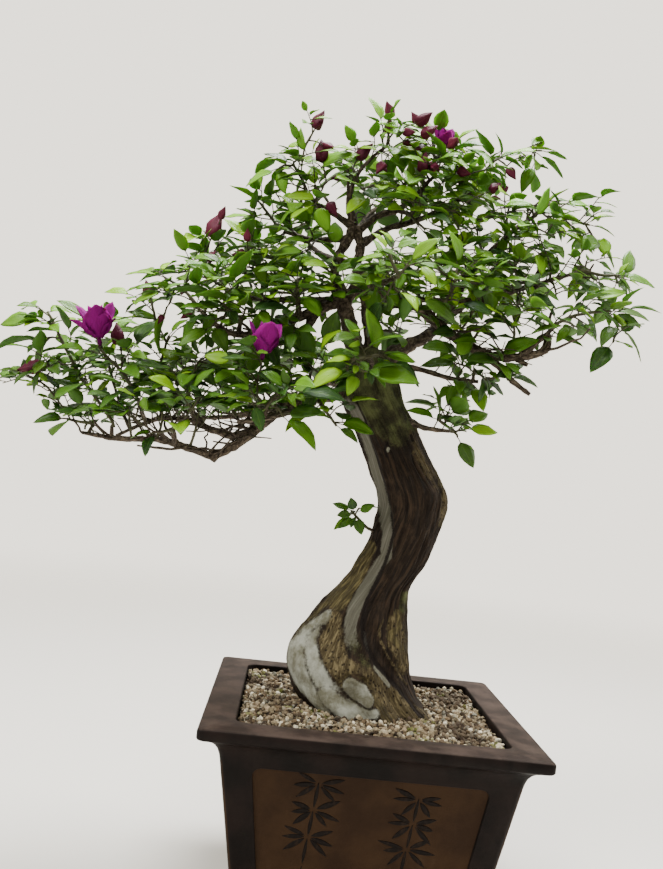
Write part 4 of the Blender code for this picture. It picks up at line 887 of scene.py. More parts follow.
class Space:
    """What has been placed so far, against which each new piece is tested before it is kept."""

    CELL = 50.0

    def __init__(self) -> None:
        """Starts empty."""
        self.taken: list[tuple] = []
        self.cells: dict[tuple, list[int]] = {}

    def reach(self, verts: list[Vector]) -> tuple[Vector, Vector, list[tuple]]:
        """A shape's lowest and highest corner and the cells that it touches.

        Args:
            verts: The shape's points.

        Returns:
            The two corners and the cells' keys.
        """
        low = Vector([min(vert[axis] for vert in verts) for axis in range(3)])
        high = Vector([max(vert[axis] for vert in verts) for axis in range(3)])
        spans = [range(math.floor(low[axis] / self.CELL), math.floor(high[axis] / self.CELL) + 1)
                 for axis in range(3)]
        return low, high, [(x, y, z) for x in spans[0] for y in spans[1] for z in spans[2]]

    def add(self, shape: Shape, owner: str) -> None:
        """Keeps a shape.

        Args:
            shape: Its points and faces.
            owner: The name under which it may be passed.
        """
        verts, faces = shape
        low, high, keys = self.reach(verts)
        for key in keys:
            self.cells.setdefault(key, []).append(len(self.taken))
        self.taken.append((BVHTree.FromPolygons(verts, faces), low, high, owner))

    def clear(self, shape: Shape, passes: tuple[str, ...] = ()) -> bool:
        """Whether the shape crosses nothing but what belongs to the owners that it may pass.

        Args:
            shape: Its points and faces.
            passes: The owners' names.

        Returns:
            True if there is room.
        """
        verts, faces = shape
        low, high, keys = self.reach(verts)
        tree = None
        for index in {index for key in keys for index in self.cells.get(key, ())}:
            other, other_low, other_high, owner = self.taken[index]
            if owner in passes:
                continue
            if any(low[axis] > other_high[axis] or high[axis] < other_low[axis] for axis in range(3)):
                continue
            tree = tree or BVHTree.FromPolygons(verts, faces)
            if tree.overlap(other):
                return False
        return True


class Carries(Enum):
    """What a shoot has at its end."""

    LEAVES = "leafy"
    NOTHING = "cut"
    BUD = "bud"
    BLOOM = "bloom"


@dataclass(frozen=True)
class Shoot:
    """One shoot of a spray, toward a point, and the size of what it carries at its end."""

    carries: Carries
    toward: tuple
    size: float = 0.0


def leafy(toward: tuple, size: float = 0.0) -> Shoot:
    """A shoot with leaves along it and one at its end."""
    return Shoot(Carries.LEAVES, toward, size)


def cut(toward: tuple) -> Shoot:
    """A long bare twig that was cut off."""
    return Shoot(Carries.NOTHING, toward)


def bud(toward: tuple, size: float) -> Shoot:
    """A stalk with a cluster of young folded bracts at its end."""
    return Shoot(Carries.BUD, toward, size)


def bloom(toward: tuple, size: float) -> Shoot:
    """A stalk with an open bloom at its end."""
    return Shoot(Carries.BLOOM, toward, size)


@dataclass(frozen=True)
class Spray:
    """One leafy spray: the branch that carries it, where it starts and its shoots."""

    branch: str
    start: tuple
    shoots: list[Shoot]


SPRAYS = {
    "left_bloom_twigs": Spray("low_left_inner", (-263, -30, 480), [
        bloom((-322, -46, 548), 48), bud((-292, -30, 548), 19), leafy((-285, -42, 514)),
        leafy((-261, -22, 538))]),
    "low_front": Spray("low_front", (-133, -96, 486), [
        leafy((-104, -106, 519)), leafy((-159, -124, 489)), leafy((-99, -106, 466)), leafy((-151, -96, 508)),
        bloom((-143, -86, 549), 42)]),
    "top_right": Spray("apex_right", (10, 14, 768), [
        leafy((7, 18, 826)), bud((-4, 0, 788), 18), bloom((18, 6, 797), 30), leafy((33, 4, 788)),
        leafy((56, 34, 806)), leafy((-10, 30, 796))]),
    "mid_left_upper": Spray("mid_left_back", (-208, 60, 629), [
        leafy((-240, 30, 650)), bud((-216, 40, 686), 24), bud((-216, 20, 630), 13), leafy((-200, 56, 701)),
        leafy((-245, 80, 621))]),
    "top": Spray("apex", (-40, -7, 787), [
        bud((-39, -12, 801), 13), leafy((-25, -4, 818)), leafy((-26, -34, 772)), leafy((-49, 20, 776))]),
    "low_left_tip": Spray("low_left", (-310, -26, 452), [
        leafy((-351, -34, 462)), leafy((-341, -18, 479)), leafy((-319, -30, 436), 20), cut((-391, -10, 501)),
        leafy((-364, 0, 499))]),
    "far_left": Spray("low_left", (-287, -40, 456), [
        cut((-366, -32, 564)), leafy((-317, -52, 500)), bud((-373, -36, 506), 20),
        leafy((-385, -30, 535), 46)]),
    "low_left_behind": Spray("low_left_inner", (-290, 20, 475), [
        leafy((-342, 16, 584)), leafy((-308, 26, 582)), leafy((-327, 34, 554)), leafy((-318, 30, 500))]),
    "low_left_middle": Spray("low_left_inner", (-248, 18, 486), [
        leafy((-250, 22, 575)), bud((-276, 12, 604), 15), leafy((-275, 10, 524)), leafy((-242, 48, 524))]),
    "low_left_front": Spray("low_left", (-222, -72, 456), [
        leafy((-256, -66, 450)), leafy((-284, -88, 477)), leafy((-246, -92, 497)), leafy((-190, -96, 500)),
        leafy((-218, -98, 468))]),
    "low_left_centre": Spray("low_left_inner", (-214, -18, 483), [
        leafy((-233, -25, 546)), leafy((-202, -45, 544)), leafy((-238, -48, 509)), leafy((-183, -50, 521))]),
    "low_left_far_back": Spray("low_left_back", (-214, 78, 489), [
        leafy((-232, 80, 552)), leafy((-201, 96, 565)), leafy((-271, 92, 530)), leafy((-218, 125, 537))]),
    "low_back": Spray("low_back", (-117, 78, 539), [
        leafy((-142, 60, 562)), leafy((-111, 90, 571)), leafy((-170, 88, 550)), leafy((-81, 104, 580)),
        leafy((-131, 130, 560))]),
    "low_drooping": Spray("low_left", (-84, -44, 503), [
        leafy((-54, -58, 470)), leafy((-73, -74, 537)), leafy((-92, -60, 479)), leafy((-108, -40, 552))]),
    "mid_left_tip": Spray("mid_left", (-215, -38, 588), [
        leafy((-268, -42, 622)), leafy((-246, -60, 593)), leafy((-249, -42, 565)), leafy((-235, -24, 624))]),
    "mid_left_front": Spray("mid_left", (-170, -56, 572), [
        leafy((-209, -76, 602)), leafy((-186, -66, 615)), leafy((-212, -72, 549)), leafy((-160, -86, 598))]),
    "mid_left_back": Spray("mid_left_back", (-174, 94, 632), [
        leafy((-192, 92, 691)), leafy((-164, 84, 694)), leafy((-223, 112, 663)), leafy((-137, 110, 680))]),
    "mid_left_inside": Spray("mid_left", (-150, -8, 593), [
        leafy((-179, 8, 687)), leafy((-160, -6, 658)), leafy((-135, -22, 644)), leafy((-181, -26, 638))]),
    "mid_left_near": Spray("mid_left", (-115, -34, 603), [
        leafy((-121, -50, 638)), leafy((-97, -42, 638)), leafy((-142, -76, 606)), leafy((-109, -84, 614))]),
    "crown_left_tip": Spray("crown_left", (-150, 20, 698), [
        leafy((-185, 12, 727)), leafy((-168, 28, 704)), leafy((-148, 42, 720)), bud((-139, 16, 719), 14)]),
    "crown_left_top": Spray("apex_left", (-129, -15, 744), [
        leafy((-149, -14, 763)), leafy((-170, -18, 736)), bud((-117, -16, 797), 17), leafy((-138, -34, 753))]),
    "crown_left_inside": Spray("apex_left", (-107, -20, 718), [
        leafy((-120, -36, 735)), leafy((-137, -32, 689)), leafy((-90, -26, 750)), bud((-108, -22, 763), 20),
        bud((-91, -34, 705), 15)]),
    "crown_left_back": Spray("crown_left_back", (-126, 76, 706), [
        leafy((-98, 70, 740)), leafy((-129, 78, 751)), leafy((-157, 94, 693)), leafy((-111, 112, 720))]),
    "top_left": Spray("apex", (-69, -16, 739), [
        leafy((-79, -14, 770)), leafy((-56, -42, 717)), bud((-67, -22, 769), 18), leafy((-40, -40, 737))]),
    "top_back": Spray("apex_back", (-31, 70, 753), [
        leafy((-41, 74, 790)), leafy((-4, 90, 786)), leafy((-69, 92, 755)), leafy((23, 96, 760))]),
    "crown_front": Spray("apex_right", (-11, -14, 712), [
        leafy((13, -40, 731)), leafy((-25, -52, 725)), leafy((49, -34, 714)), leafy((12, -54, 681))]),
    "right_top": Spray("right_upper", (67, 46, 767), [
        leafy((43, 38, 791)), leafy((96, 50, 820)), leafy((87, 66, 794)), leafy((152, 46, 824)),
        leafy((133, 34, 799)), bud((104, 40, 788), 14)]),
    "right_shoulder": Spray("right_heavy", (141, 44, 751), [
        leafy((171, 46, 756)), leafy((162, 28, 726)), leafy((208, 20, 732)), leafy((210, 28, 710)),
        leafy((126, 24, 757))]),
    "right_tip": Spray("right_far", (183, -11, 678), [
        leafy((240, -16, 674)), leafy((222, -4, 658)), leafy((154, -14, 687)), leafy((193, 12, 700))]),
    "right_low_tip": Spray("right_far_low", (154, -46, 614), [
        leafy((226, -36, 638)), leafy((234, -42, 601)), leafy((176, -66, 601)), leafy((204, -50, 578)),
        leafy((170, -30, 639))]),
    "right_back": Spray("right_back", (126, 116, 681), [
        leafy((140, 112, 721)), leafy((100, 126, 715)), leafy((176, 120, 678)), leafy((91, 134, 659))]),
    "right_front": Spray("right_front", (34, -68, 618), [
        leafy((46, -60, 670)), leafy((6, -78, 649)), leafy((57, -88, 613)), leafy((86, -50, 642))]),
    "front_crown": Spray("front_crown", (-22, -108, 630), [
        leafy((-38, -108, 660)), leafy((-6, -118, 652)), leafy((-42, -96, 585)), leafy((-15, -116, 600))]),
    "centre_back": Spray("centre_back", (5, 122, 668), [
        leafy((-15, 122, 722)), leafy((38, 128, 712)), leafy((-49, 128, 687)), leafy((30, 140, 640))]),
    "right_low": Spray("right_low_inner", (74, -22, 550), [
        leafy((73, -36, 560)), leafy((100, -28, 537)), leafy((41, -24, 568)), leafy((51, -26, 527)),
        leafy((126, -16, 558))]),
    "trunk_right": Spray("trunk_right", (60, -27, 495), [
        leafy((26, -38, 509)), leafy((55, -18, 522)), leafy((87, -30, 498)), leafy((68, -32, 477))]),
    "trunk_front": Spray("front_low", (-42, -90, 550), [
        leafy((-76, -98, 538)), leafy((-57, -102, 519)), leafy((-16, -98, 555)), leafy((-29, -104, 529))]),
    "trunk_shoot": Spray("trunk", (-17, -20, 380), [
        leafy((-46, -24, 404), 18), leafy((-36, -28, 388), 18), leafy((-24, -22, 410), 18)]),
}


def branch_solid(route: list[tuple], grow: float = 0.0) -> Shape:
    """A branch's plain solid, as the part has it."""
    sides = 6 if route[0][3] > 8.0 else 5 if route[0][3] > 6.0 else 4 if route[0][3] > 3.0 else 3
    return tube([Vector(step[:3]) for step in route], [step[3] + grow for step in route], sides)


def nearest_on(route: list[tuple], point: Vector) -> tuple[Vector, float]:
    """The point of a branch's middle line that is nearest to a point.

    Args:
        route: The branch's route.
        point: The point.

    Returns:
        The nearest point and the branch's radius there.
    """
    best = None
    for low, high in zip(route, route[1:]):
        start, run = Vector(low[:3]), Vector(high[:3]) - Vector(low[:3])
        part = min(max((point - start).dot(run) / max(run.length_squared, 1e-9), 0.0), 1.0)
        found = start + run * part
        if best is None or (point - found).length < (point - best[0]).length:
            best = (found, low[3] + (high[3] - low[3]) * part)
    return best


def shoot_points(rng: random.Random, start: Vector, along: Vector, target: Vector, length_back: float,
                 own_foot: bool) -> list[Vector]:
    """A shoot's middle line: out of its start along its own way, then bent toward its target.

    Args:
        rng: The draw.
        start: Where it starts.
        along: The way it sets out.
        target: Where it heads.
        length_back: How far before the target it ends.
        own_foot: Whether it keeps its start as a point of its own.

    Returns:
        The line's points.
    """
    run = target - start
    end = target - run.normalized() * min(length_back, run.length * 0.55)
    lead = start + along * min(5.0, run.length * 0.2)
    side = run.cross(Vector((rng.uniform(-1, 1), rng.uniform(-1, 1), rng.uniform(-1, 1))))
    side = side.normalized() if side.length > 1e-6 else run.orthogonal().normalized()
    bow = (end - lead).length * rng.uniform(0.04, 0.12)
    middle = lead.lerp(end, 0.45) + side * bow + Vector((0, 0, bow * 0.5))
    return [start, lead, middle, end] if own_foot else [start, middle, end]


def along_points(points: list[Vector], part: float) -> tuple[Vector, Vector, int]:
    """A place on a line, kept clear of its bends.

    Args:
        points: The line.
        part: The part of its length.

    Returns:
        The point, the line's way there and the number of the run it is on.
    """
    lengths = [(high - low).length for low, high in zip(points, points[1:])]
    reach = sum(lengths) * part
    run = 0
    while run < len(lengths) - 1 and reach > lengths[run]:
        reach -= lengths[run]
        run += 1
    margin = min(JOINT_MARGIN, lengths[run] * 0.4)
    reach = min(max(reach, margin), lengths[run] - margin)
    way = (points[run + 1] - points[run]).normalized()
    return points[run] + way * reach, way, run


def facet_out(points: list[Vector], run: int, way: Vector, turn: float) -> Vector:
    """The way out of the middle of a stem's side that looks most nearly toward a turn.

    Args:
        points: The stem's line.
        run: The run of the line.
        way: The line's way there.
        turn: The turn in radians.

    Returns:
        The way out, square to the stem.
    """
    _, across, up = frames(points)[run]
    sector = math.tau / STEM_SIDES
    middle = (math.floor(turn / sector) + 0.5) * sector
    out = across * math.cos(middle) + up * math.sin(middle)
    return (out - way * out.dot(way)).normalized()


def fork_from(lines: list[tuple], target: Vector) -> tuple[Vector, Vector]:
    """Where on the spray's own stems a new shoot best starts.

    Args:
        lines: The stems' lines, each with how far along it may fork.
        target: Where the new shoot heads.

    Returns:
        The start and the way that it sets out.
    """
    best = None
    for line, limit in lines:
        for step in range(1, 9):
            point, way, _ = along_points(line, limit * step / 8)
            run = target - point
            turn = 1.0 - run.normalized().dot(way)
            cost = run.length * (1.0 + 0.55 * turn)
            if best is None or cost < best[0]:
                best = (cost, point, (way + run.normalized()).normalized())
    return best[1], best[2]


def leaf_size(rng: random.Random, shoot: Shoot, terminal: bool) -> float:
    """A leaf's length: a shoot's own size at its end, otherwise drawn.

    Args:
        rng: The draw.
        shoot: The shoot.
        terminal: Whether the leaf is at the shoot's end.

    Returns:
        The length in millimetres.
    """
    if terminal and shoot.size:
        return shoot.size
    low, high = rng.choice(LEAF_SIZES)
    return rng.uniform(low, high)


def drawn_blade(rng: random.Random, line: list[Vector], part: float | None, turn: float, length: float,
                bite: float) -> Blade:
    """Draws one leaf on a stem: its way, its normal and its curves.

    Args:
        rng: The draw.
        line: The stem's line.
        part: Where along the line, or None for its end.
        turn: The leaf's turn about the stem.
        length: The blade's length.
        bite: How deep the stalk of an end leaf starts in the stem.

    Returns:
        The blade.
    """
    if part is None:
        way = (line[-1] - line[-2]).normalized()
        root = line[-1] - way * bite
        along = way + Vector((rng.uniform(-1, 1), rng.uniform(-1, 1), rng.uniform(-1, 1))) * 0.16
    else:
        root, way, run = along_points(line, part)
        leaned = facet_out(line, run, way, turn)
        leaned.rotate(Quaternion(way, rng.uniform(-0.6, 0.6)))
        along = leaned + way * rng.uniform(0.05, 0.8)
    along = along.normalized()
    along.z = along.z * 0.5 - 0.06
    along = along.normalized()
    outward = Vector((root.x + 35.0, root.y, 0.0)).normalized()
    facing = Vector((0, -0.42, 0.85)) + outward * 0.3
    facing += Vector((rng.uniform(-1, 1), rng.uniform(-1, 1), rng.uniform(-0.6, 1))) * 0.42
    up = facing - along * facing.dot(along)
    if up.length < 0.05:
        up = along.orthogonal()
    return Blade(root, along, up.normalized(), length, length * rng.uniform(0.50, 0.68),
                 length * rng.uniform(0.16, 0.26), rng.uniform(0.08, 0.36), rng.uniform(0.12, 0.5),
                 rng.uniform(-0.35, 0.35))


def bud_mesh(end: Vector, way: Vector, size: float, grow: float = 0.0) -> Shape:
    """A bud cluster's plain solid, as the part has it.

    Args:
        end: Its foot.
        way: The way it points.
        size: Its length.
        grow: How much it is swollen.

    Returns:
        Its points and faces.
    """
    across = way.orthogonal().normalized()
    up = way.cross(across)
    verts = []
    for ring, (part, keel, hollow) in enumerate(BUD_RINGS):
        for step in range(6):
            angle = math.tau * step / 6 + ring * 0.22
            reach = (keel if step % 2 == 0 else hollow) * size * 0.27 + grow
            centre = end + way * (size * part)
            verts.append(centre + (across * math.cos(angle) + up * math.sin(angle)) * reach)
    verts.append(end + way * (size + grow))
    faces = ring_faces(len(BUD_RINGS), 6) + fan(6 * (len(BUD_RINGS) - 1), 6, len(verts) - 1)
    return verts, faces + [tuple(reversed(range(6)))]


def bloom_blades(end: Vector, way: Vector, size: float) -> list[Blade]:
    """A bloom's bracts: an outer ring of three that stand in a cup and an inner ring of three.

    Args:
        end: The bloom's foot.
        way: The way it points.
        size: Its size.

    Returns:
        The six bracts.
    """
    across = way.orthogonal().normalized()
    blades = []
    for step in range(6):
        inner = step >= 3
        angle = math.tau * step / 3 + (math.pi / 3 if inner else 0.0)
        out = across.copy()
        out.rotate(Quaternion(way, angle))
        along = (way * (3.0 if inner else 1.55) + out).normalized()
        up = (way - along * way.dot(along)).normalized()
        length = size * (0.72 if inner else 0.80)
        blades.append(Blade(end + way * (3.4 if inner else 1.8), along, up, length,
                            length * (0.60 if inner else 0.86), size * (0.08 if inner else 0.15),
                            -0.12 if inner else -0.10, 0.42, 0.12))
    return blades


@dataclass
class Growth:
    """Grows all that is green by the part's own seeded rule, then fills in what its solids leave out."""

    space: Space = field(default_factory=Space)
    twigs: list = field(default_factory=list)
    stems: dict = field(default_factory=dict)
    leaves: dict = field(default_factory=dict)
    buds: dict = field(default_factory=dict)
    blooms: dict = field(default_factory=dict)
    fine: dict = field(default_factory=dict)
    small: dict = field(default_factory=dict)
    late_buds: dict = field(default_factory=dict)

    def run(self) -> "Growth":
        """Runs the whole rule: the wood, the stems with buds and blooms, the leaves, then the filling.

        Returns:
            The growth itself.
        """
        self.space.add(trunk_shell(), "wood")
        for route in BRANCHES.values():
            self.space.add(branch_solid(route, 0.3), "wood")
        self.set_leaves(self.grow_stems())
        Filling(self).run()
        return self

    def spray_start(self, spray: Spray) -> tuple[Vector, Vector, float]:
        """Where a spray starts: face to face with the branch's end, or with a twig that is grown for it.

        Args:
            spray: The spray.

        Returns:
            The start, the way that it sets out and its radius.
        """
        start = Vector(spray.start)
        if spray.branch == "trunk":
            left, right, middle = spaced(TRUNK_ROWS, start.z)[:3]
            inside = min(max(start.x, left + TRUNK_HOLD), right - TRUNK_HOLD)
            base, reach = Vector((inside, middle, start.z - 6.0)), 2.6
        else:
            route = BRANCHES[spray.branch]
            end, before = Vector(route[-1][:3]), Vector(route[-2][:3])
            along = (end - before).normalized()
            if (start - end).length < END_REACH and (start - end).dot(along) > 0:
                return end + along * CONTACT_GAP, along, route[-1][3]
            base, reach = nearest_on(route, start)
        along = (start - base).normalized()
        radius = min(max(reach * 0.66, 1.8), 2.6)
        self.twigs.append(((base, start), (radius * 1.25, radius)))
        self.space.add(tube([base, start], [radius * 1.25, radius], TWIG_SIDES), "wood")
        return start + along * CONTACT_GAP, along, radius

    def grow_stems(self) -> list[tuple]:
        """Grows every spray's stems, with its buds and blooms.

        Returns:
            The stems that carry leaves: the spray's name, the shoot, its line and its end leaf's length.
        """
        carriers = []
        for number, (name, spray) in enumerate(SPRAYS.items()):
            rng = random.Random(SEED + 101 * number)
            self.stems[name], self.leaves[name] = [], []
            start, along, radius = self.spray_start(spray)
            lines = []
            for shoot in spray.shoots:
                grown = self.grow_shoot(rng, name, shoot, lines, (start, along, radius))
                if grown and shoot.carries is Carries.LEAVES:
                    carriers.append((name, shoot, *grown))
        return carriers

    def grow_shoot(self, rng: random.Random, name: str, shoot: Shoot, lines: list[tuple],
                   foot: tuple) -> tuple | None:
        """Grows one shoot where there is room.

        Args:
            rng: The spray's draw.
            name: The spray's name.
            shoot: The shoot.
            lines: The spray's lines so far, which the new one joins.
            foot: The spray's start, way and radius.

        Returns:
            The shoot's line and its end leaf's length, or None if it has no room.
        """
        start, along, radius = foot
        leafy_end = shoot.carries is Carries.LEAVES
        target = Vector(shoot.toward)
        length = leaf_size(rng, shoot, True) if leafy_end else 0.0
        back = length * 0.62 if leafy_end else shoot.size * 0.5
        for _ in range(STEM_TRIES):
            origin, way = fork_from(lines, target) if lines else (start, along)
            line = shoot_points(rng, origin, way, target, back, not lines)
            radii = [1.0, 1.4, 1.2] if lines else [radius, radius * 0.96, 1.7, 1.3]
            if shoot.carries is Carries.BLOOM:
                way = ((line[-1] - line[-2]).normalized() * 0.35 + Vector((0.0, -0.2, 1.0))).normalized()
                line, radii = line + [line[-1] + way * 4.0], radii + [radii[-1]]
            free = line[0] + (line[1] - line[0]).normalized() * (3.6 if lines else 1.0)
            bare = tube([free] + line[1:], [each + 0.6 for each in radii], STEM_SIDES)
            end_way = (line[-1] - line[-2]).normalized()
            body_start = line[-1] + end_way * CONTACT_GAP
            body = None
            if shoot.carries is Carries.BUD:
                body = bud_mesh(body_start, end_way, shoot.size, 0.5)
            if shoot.carries is Carries.BLOOM:
                body = bud_mesh(body_start, end_way, shoot.size * 0.9, shoot.size * 0.36)
            if self.space.clear(bare, (name,)) and (body is None or self.space.clear(body)):
                break
            target += Vector((rng.uniform(-5, 5), rng.uniform(-9, 9), rng.uniform(-4, 7)))
        else:
            return None
        self.stems[name].append((line, radii))
        self.space.add(tube(line, radii, STEM_SIDES), name)
        bare_end = shoot.carries in (Carries.LEAVES, Carries.NOTHING)
        if bare_end or not lines:
            lines.append((line, 0.88 if bare_end else 0.55))
        if shoot.carries is Carries.BUD:
            self.buds[f"{name}_bud_{len(self.buds) + 1}"] = (body_start, end_way, shoot.size)
            self.space.add(bud_mesh(body_start, end_way, shoot.size), name + ".bud")
        if shoot.carries is Carries.BLOOM:
            self.blooms[f"{name}_bloom"] = (body_start, end_way, shoot.size)
            for blade in bloom_blades(body_start, end_way, shoot.size):
                self.space.add(blade_mesh(blade), name + ".bloom")
            core = [body_start, body_start + end_way * 3.0, body_start + end_way * (shoot.size * 0.4)]
            self.space.add(tube(core, [1.5, 2.7, 1.6], 6), name + ".bloom")
        return line, length

    def set_leaves(self, carriers: list[tuple]) -> None:
        """Sets each carrying stem's leaves: one at its end, then some along it by the golden angle.

        Args:
            carriers: What grow_stems gave.
        """
        rng = random.Random(SEED)
        for name, _, line, length in carriers:
            self.place_leaf(rng, name, line, None, 0.0, length)
        for name, shoot, line, length in carriers:
            reach = sum((high - low).length for low, high in zip(line, line[1:]))
            count = min(round(reach / LEAF_SPACING + 0.2), LEAVES_ALONG)
            turn = rng.uniform(0, math.tau)
            for index in range(count):
                part = 0.90 - 0.70 * index / count + rng.uniform(-0.05, 0.05)
                turn += GOLDEN
                self.place_leaf(rng, name, line, part, turn, leaf_size(rng, shoot, False))

    def place_leaf(self, rng: random.Random, name: str, line: list[Vector], part: float | None, turn: float,
                   length: float) -> None:
        """Keeps the first drawn leaf that crosses nothing, each try a little shorter than the one before.

        Args:
            rng: The draw.
            name: The spray's name.
            line: The stem's line.
            part: Where along the line, or None for its end.
            turn: The leaf's turn about the stem.
            length: The leaf's length at the first try.
        """
        for _ in range(TRIES):
            blade = drawn_blade(rng, line, part, turn, length, 0.7)
            whole = blade_mesh(blade, LEAF_CLEARANCE)
            outer = blade_mesh(blade, LEAF_CLEARANCE, min(3.4, blade.stalk * 0.7))
            inside = max(abs(vert.y) for vert in whole[0]) < SIDE_REACH
            if inside and self.space.clear(whole, (name,)) and self.space.clear(outer):
                self.space.add(blade_mesh(blade, 0.0, 1.6), name + ".leaf")
                self.leaves[name].append(blade)
                return
            turn += rng.uniform(1.2, 2.6)
            length = max(length * 0.96, 19.0)
            if part is not None:
                part = min(max(part + rng.uniform(-0.08, 0.08), 0.1), 0.93)


@dataclass
class Filling:
    """Fills the sprays and the outer branches with fine side twigs, small leaves and late buds."""

    growth: Growth
    step: float = 11.0
    reach: tuple[float, float] = (12.0, 32.0)
    sizes: tuple = ((12, 18), (15, 24), (18, 29), (21, 34), (25, 42))
    branch_step: float = 12.5
    branch_from: float = 0.42
    clearance: float = 4.0
    side_reach: float = 162.0

    def run(self) -> None:
        """Sets the late buds, grows the long twigs, then fills the sprays' stems and the branches."""
        rng = random.Random(SEED + 5)
        self.set_late_buds(rng)
        for branch, target in LONG_TWIGS:
            self.long_twig(rng, branch, Vector(target))
        for name, stems in list(self.growth.stems.items()):
            for line, _ in stems if name != "trunk_shoot" else []:
                step = self.step * (1.7 if name.startswith("crown_left") else 1.0)
                self.fill_line(rng, name, line, 0.10, step)
        for name, route in BRANCHES.items():
            if route[0][3] < 9.5 and name not in BARE_BRANCHES:
                self.fill_line(rng, "on_" + name, [Vector(step[:3]) for step in route], self.branch_from,
                               self.branch_step)

    def fill_line(self, rng: random.Random, name: str, line: list[Vector], start: float, step: float,
                  passes: tuple[str, ...] = ()) -> None:
        """Fills one line with side twigs.

        Args:
            rng: The draw.
            name: The piece that takes the twigs.
            line: The line.
            start: The part of the line where the twigs begin.
            step: How far apart they are.
            passes: The owners whose shapes the twigs may cross, by default the line's own.
        """
        passes = passes or ((name,) if name in self.growth.stems else ("wood",))
        length = sum((high - low).length for low, high in zip(line, line[1:])) * (1.0 - start)
        count = max(1, round(length / step))
        for index in range(count):
            part = start + (0.98 - start) * (index + rng.uniform(0.15, 0.85)) / count
            root, way, _ = along_points(line, part)
            self.side_twig(rng, name, root, way, passes)

    def long_twig(self, rng: random.Random, branch: str, target: Vector) -> None:
        """Grows a fine twig from a branch to a place that needs leaves, and fills it.

        Args:
            rng: The draw.
            branch: The branch that it grows from.
            target: Where it ends.
        """
        root, _ = nearest_on(BRANCHES[branch], target)
        run = target - root
        bow = Vector((rng.uniform(-1, 1), rng.uniform(-1, 1), rng.uniform(-0.3, 1))) * run.length * 0.10
        line = [root, root.lerp(target, 0.35) + bow, root.lerp(target, 0.72) + bow * 0.7, target]
        self.growth.fine.setdefault("on_" + branch, []).append((line, [1.5, 1.2, 0.9, 0.6]))
        self.growth.space.add(tube(line, [1.5, 1.2, 0.9, 0.6], STEM_SIDES), "on_" + branch + ".fine")
        self.fill_line(rng, "on_" + branch, line, 0.22, self.step * 0.8, ("wood", "on_" + branch + ".fine"))

    def side_twig(self, rng: random.Random, name: str, root: Vector, way: Vector,
                  passes: tuple[str, ...]) -> None:
        """Grows one side twig with its leaves, if one of a few draws has room.

        Args:
            rng: The draw.
            name: The piece that takes it.
            root: Where it leaves the stem.
            way: The stem's way there.
            passes: The owners whose shapes it may cross.
        """
        for _ in range(4):
            out = Vector((rng.gauss(0, 1), rng.gauss(0, 1), rng.gauss(0, 1)))
            out = (out - way * out.dot(way)).normalized()
            away = Vector((root.x + 35.0, root.y, 40.0)).normalized()
            heading = (out + way * rng.uniform(0.1, 0.9) + Vector((0, 0, 0.35)) + away * 0.45).normalized()
            reach = rng.uniform(*self.reach)
            bend = Vector((rng.uniform(-1, 1), rng.uniform(-1, 1), rng.uniform(-0.4, 1))) * reach * 0.12
            line = [root, root + heading * reach * 0.5 + bend, root + heading * reach + bend * 0.6]
            radii = [0.95, 0.75, 0.55]
            free = [root + heading * min(3.5, reach * 0.3)] + line[1:]
            if not (self.within(line[2]) and self.growth.space.clear(tube(free, radii, STEM_SIDES), passes)):
                continue
            self.growth.fine.setdefault(name, []).append((line, radii))
            self.growth.space.add(tube(line, radii, STEM_SIDES), name + ".fine")
            self.small_leaf(rng, name, line, None, rng.uniform(*rng.choice(self.sizes[1:])))
            turn = rng.uniform(0, math.tau)
            for index in range(2 + int(reach > 20.0) + int(reach > 28.0)):
                turn += GOLDEN
                part, size = max(0.86 - 0.2 * index, 0.15), rng.uniform(*rng.choice(self.sizes))
                self.small_leaf(rng, name, line, part, size, turn)
            return

    def small_leaf(self, rng: random.Random, name: str, line: list[Vector], part: float | None, length: float,
                   turn: float = 0.0) -> None:
        """Sets a small leaf on a side twig, if one of a few draws has room.

        Args:
            rng: The draw.
            name: The piece that takes it.
            line: The twig's line.
            part: Where along the line, or None for its end.
            length: The leaf's length.
            turn: The leaf's turn about the twig.
        """
        for _ in range(4):
            blade = drawn_blade(rng, line, part, turn, length, 0.4)
            shape = blade_mesh(blade, 0.1, 2.4)
            inside = all(self.within(vert) for vert in shape[0][6:])
            if inside and self.growth.space.clear(shape, (name + ".fine",)):
                self.growth.space.add(blade_mesh(blade, -0.3, 2.0), name + ".leaf")
                self.growth.small.setdefault(name, []).append(blade)
                return
            turn += rng.uniform(1.2, 2.6)
            length *= 0.92

    def within(self, point: Vector) -> bool:
        """Whether a point is inside the canopy: over its underside, under its top and not too deep."""
        floor, roof = spaced(CANOPY_ROWS, point.x)
        return floor < point.z < roof + self.clearance and abs(point.y) < self.side_reach

    def set_late_buds(self, rng: random.Random) -> None:
        """Sets small buds, each on a stalk from the nearest stem.

        Args:
            rng: The draw.
        """
        for number, (x, y, z, size) in enumerate(LATE_BUDS):
            target = Vector((x, y, z))
            name, root, way = self.nearest_stem(target)
            side = target - root
            bow = Vector((rng.uniform(-1, 1), rng.uniform(-1, 1), 1)) * side.length * 0.06
            line = [root, root.lerp(target, 0.5) + bow, target]
            self.growth.fine.setdefault(name, []).append((line, [0.9, 0.75, 0.75]))
            self.growth.space.add(tube(line, [0.9, 0.8, 0.8], STEM_SIDES), name + ".fine")
            end_way = ((line[2] - line[1]).normalized() + Vector((0, 0, 0.3))).normalized()
            self.growth.late_buds[f"late_bud_{number + 1}"] = (target, end_way, size)
            self.growth.space.add(bud_mesh(target, end_way, size), "late")

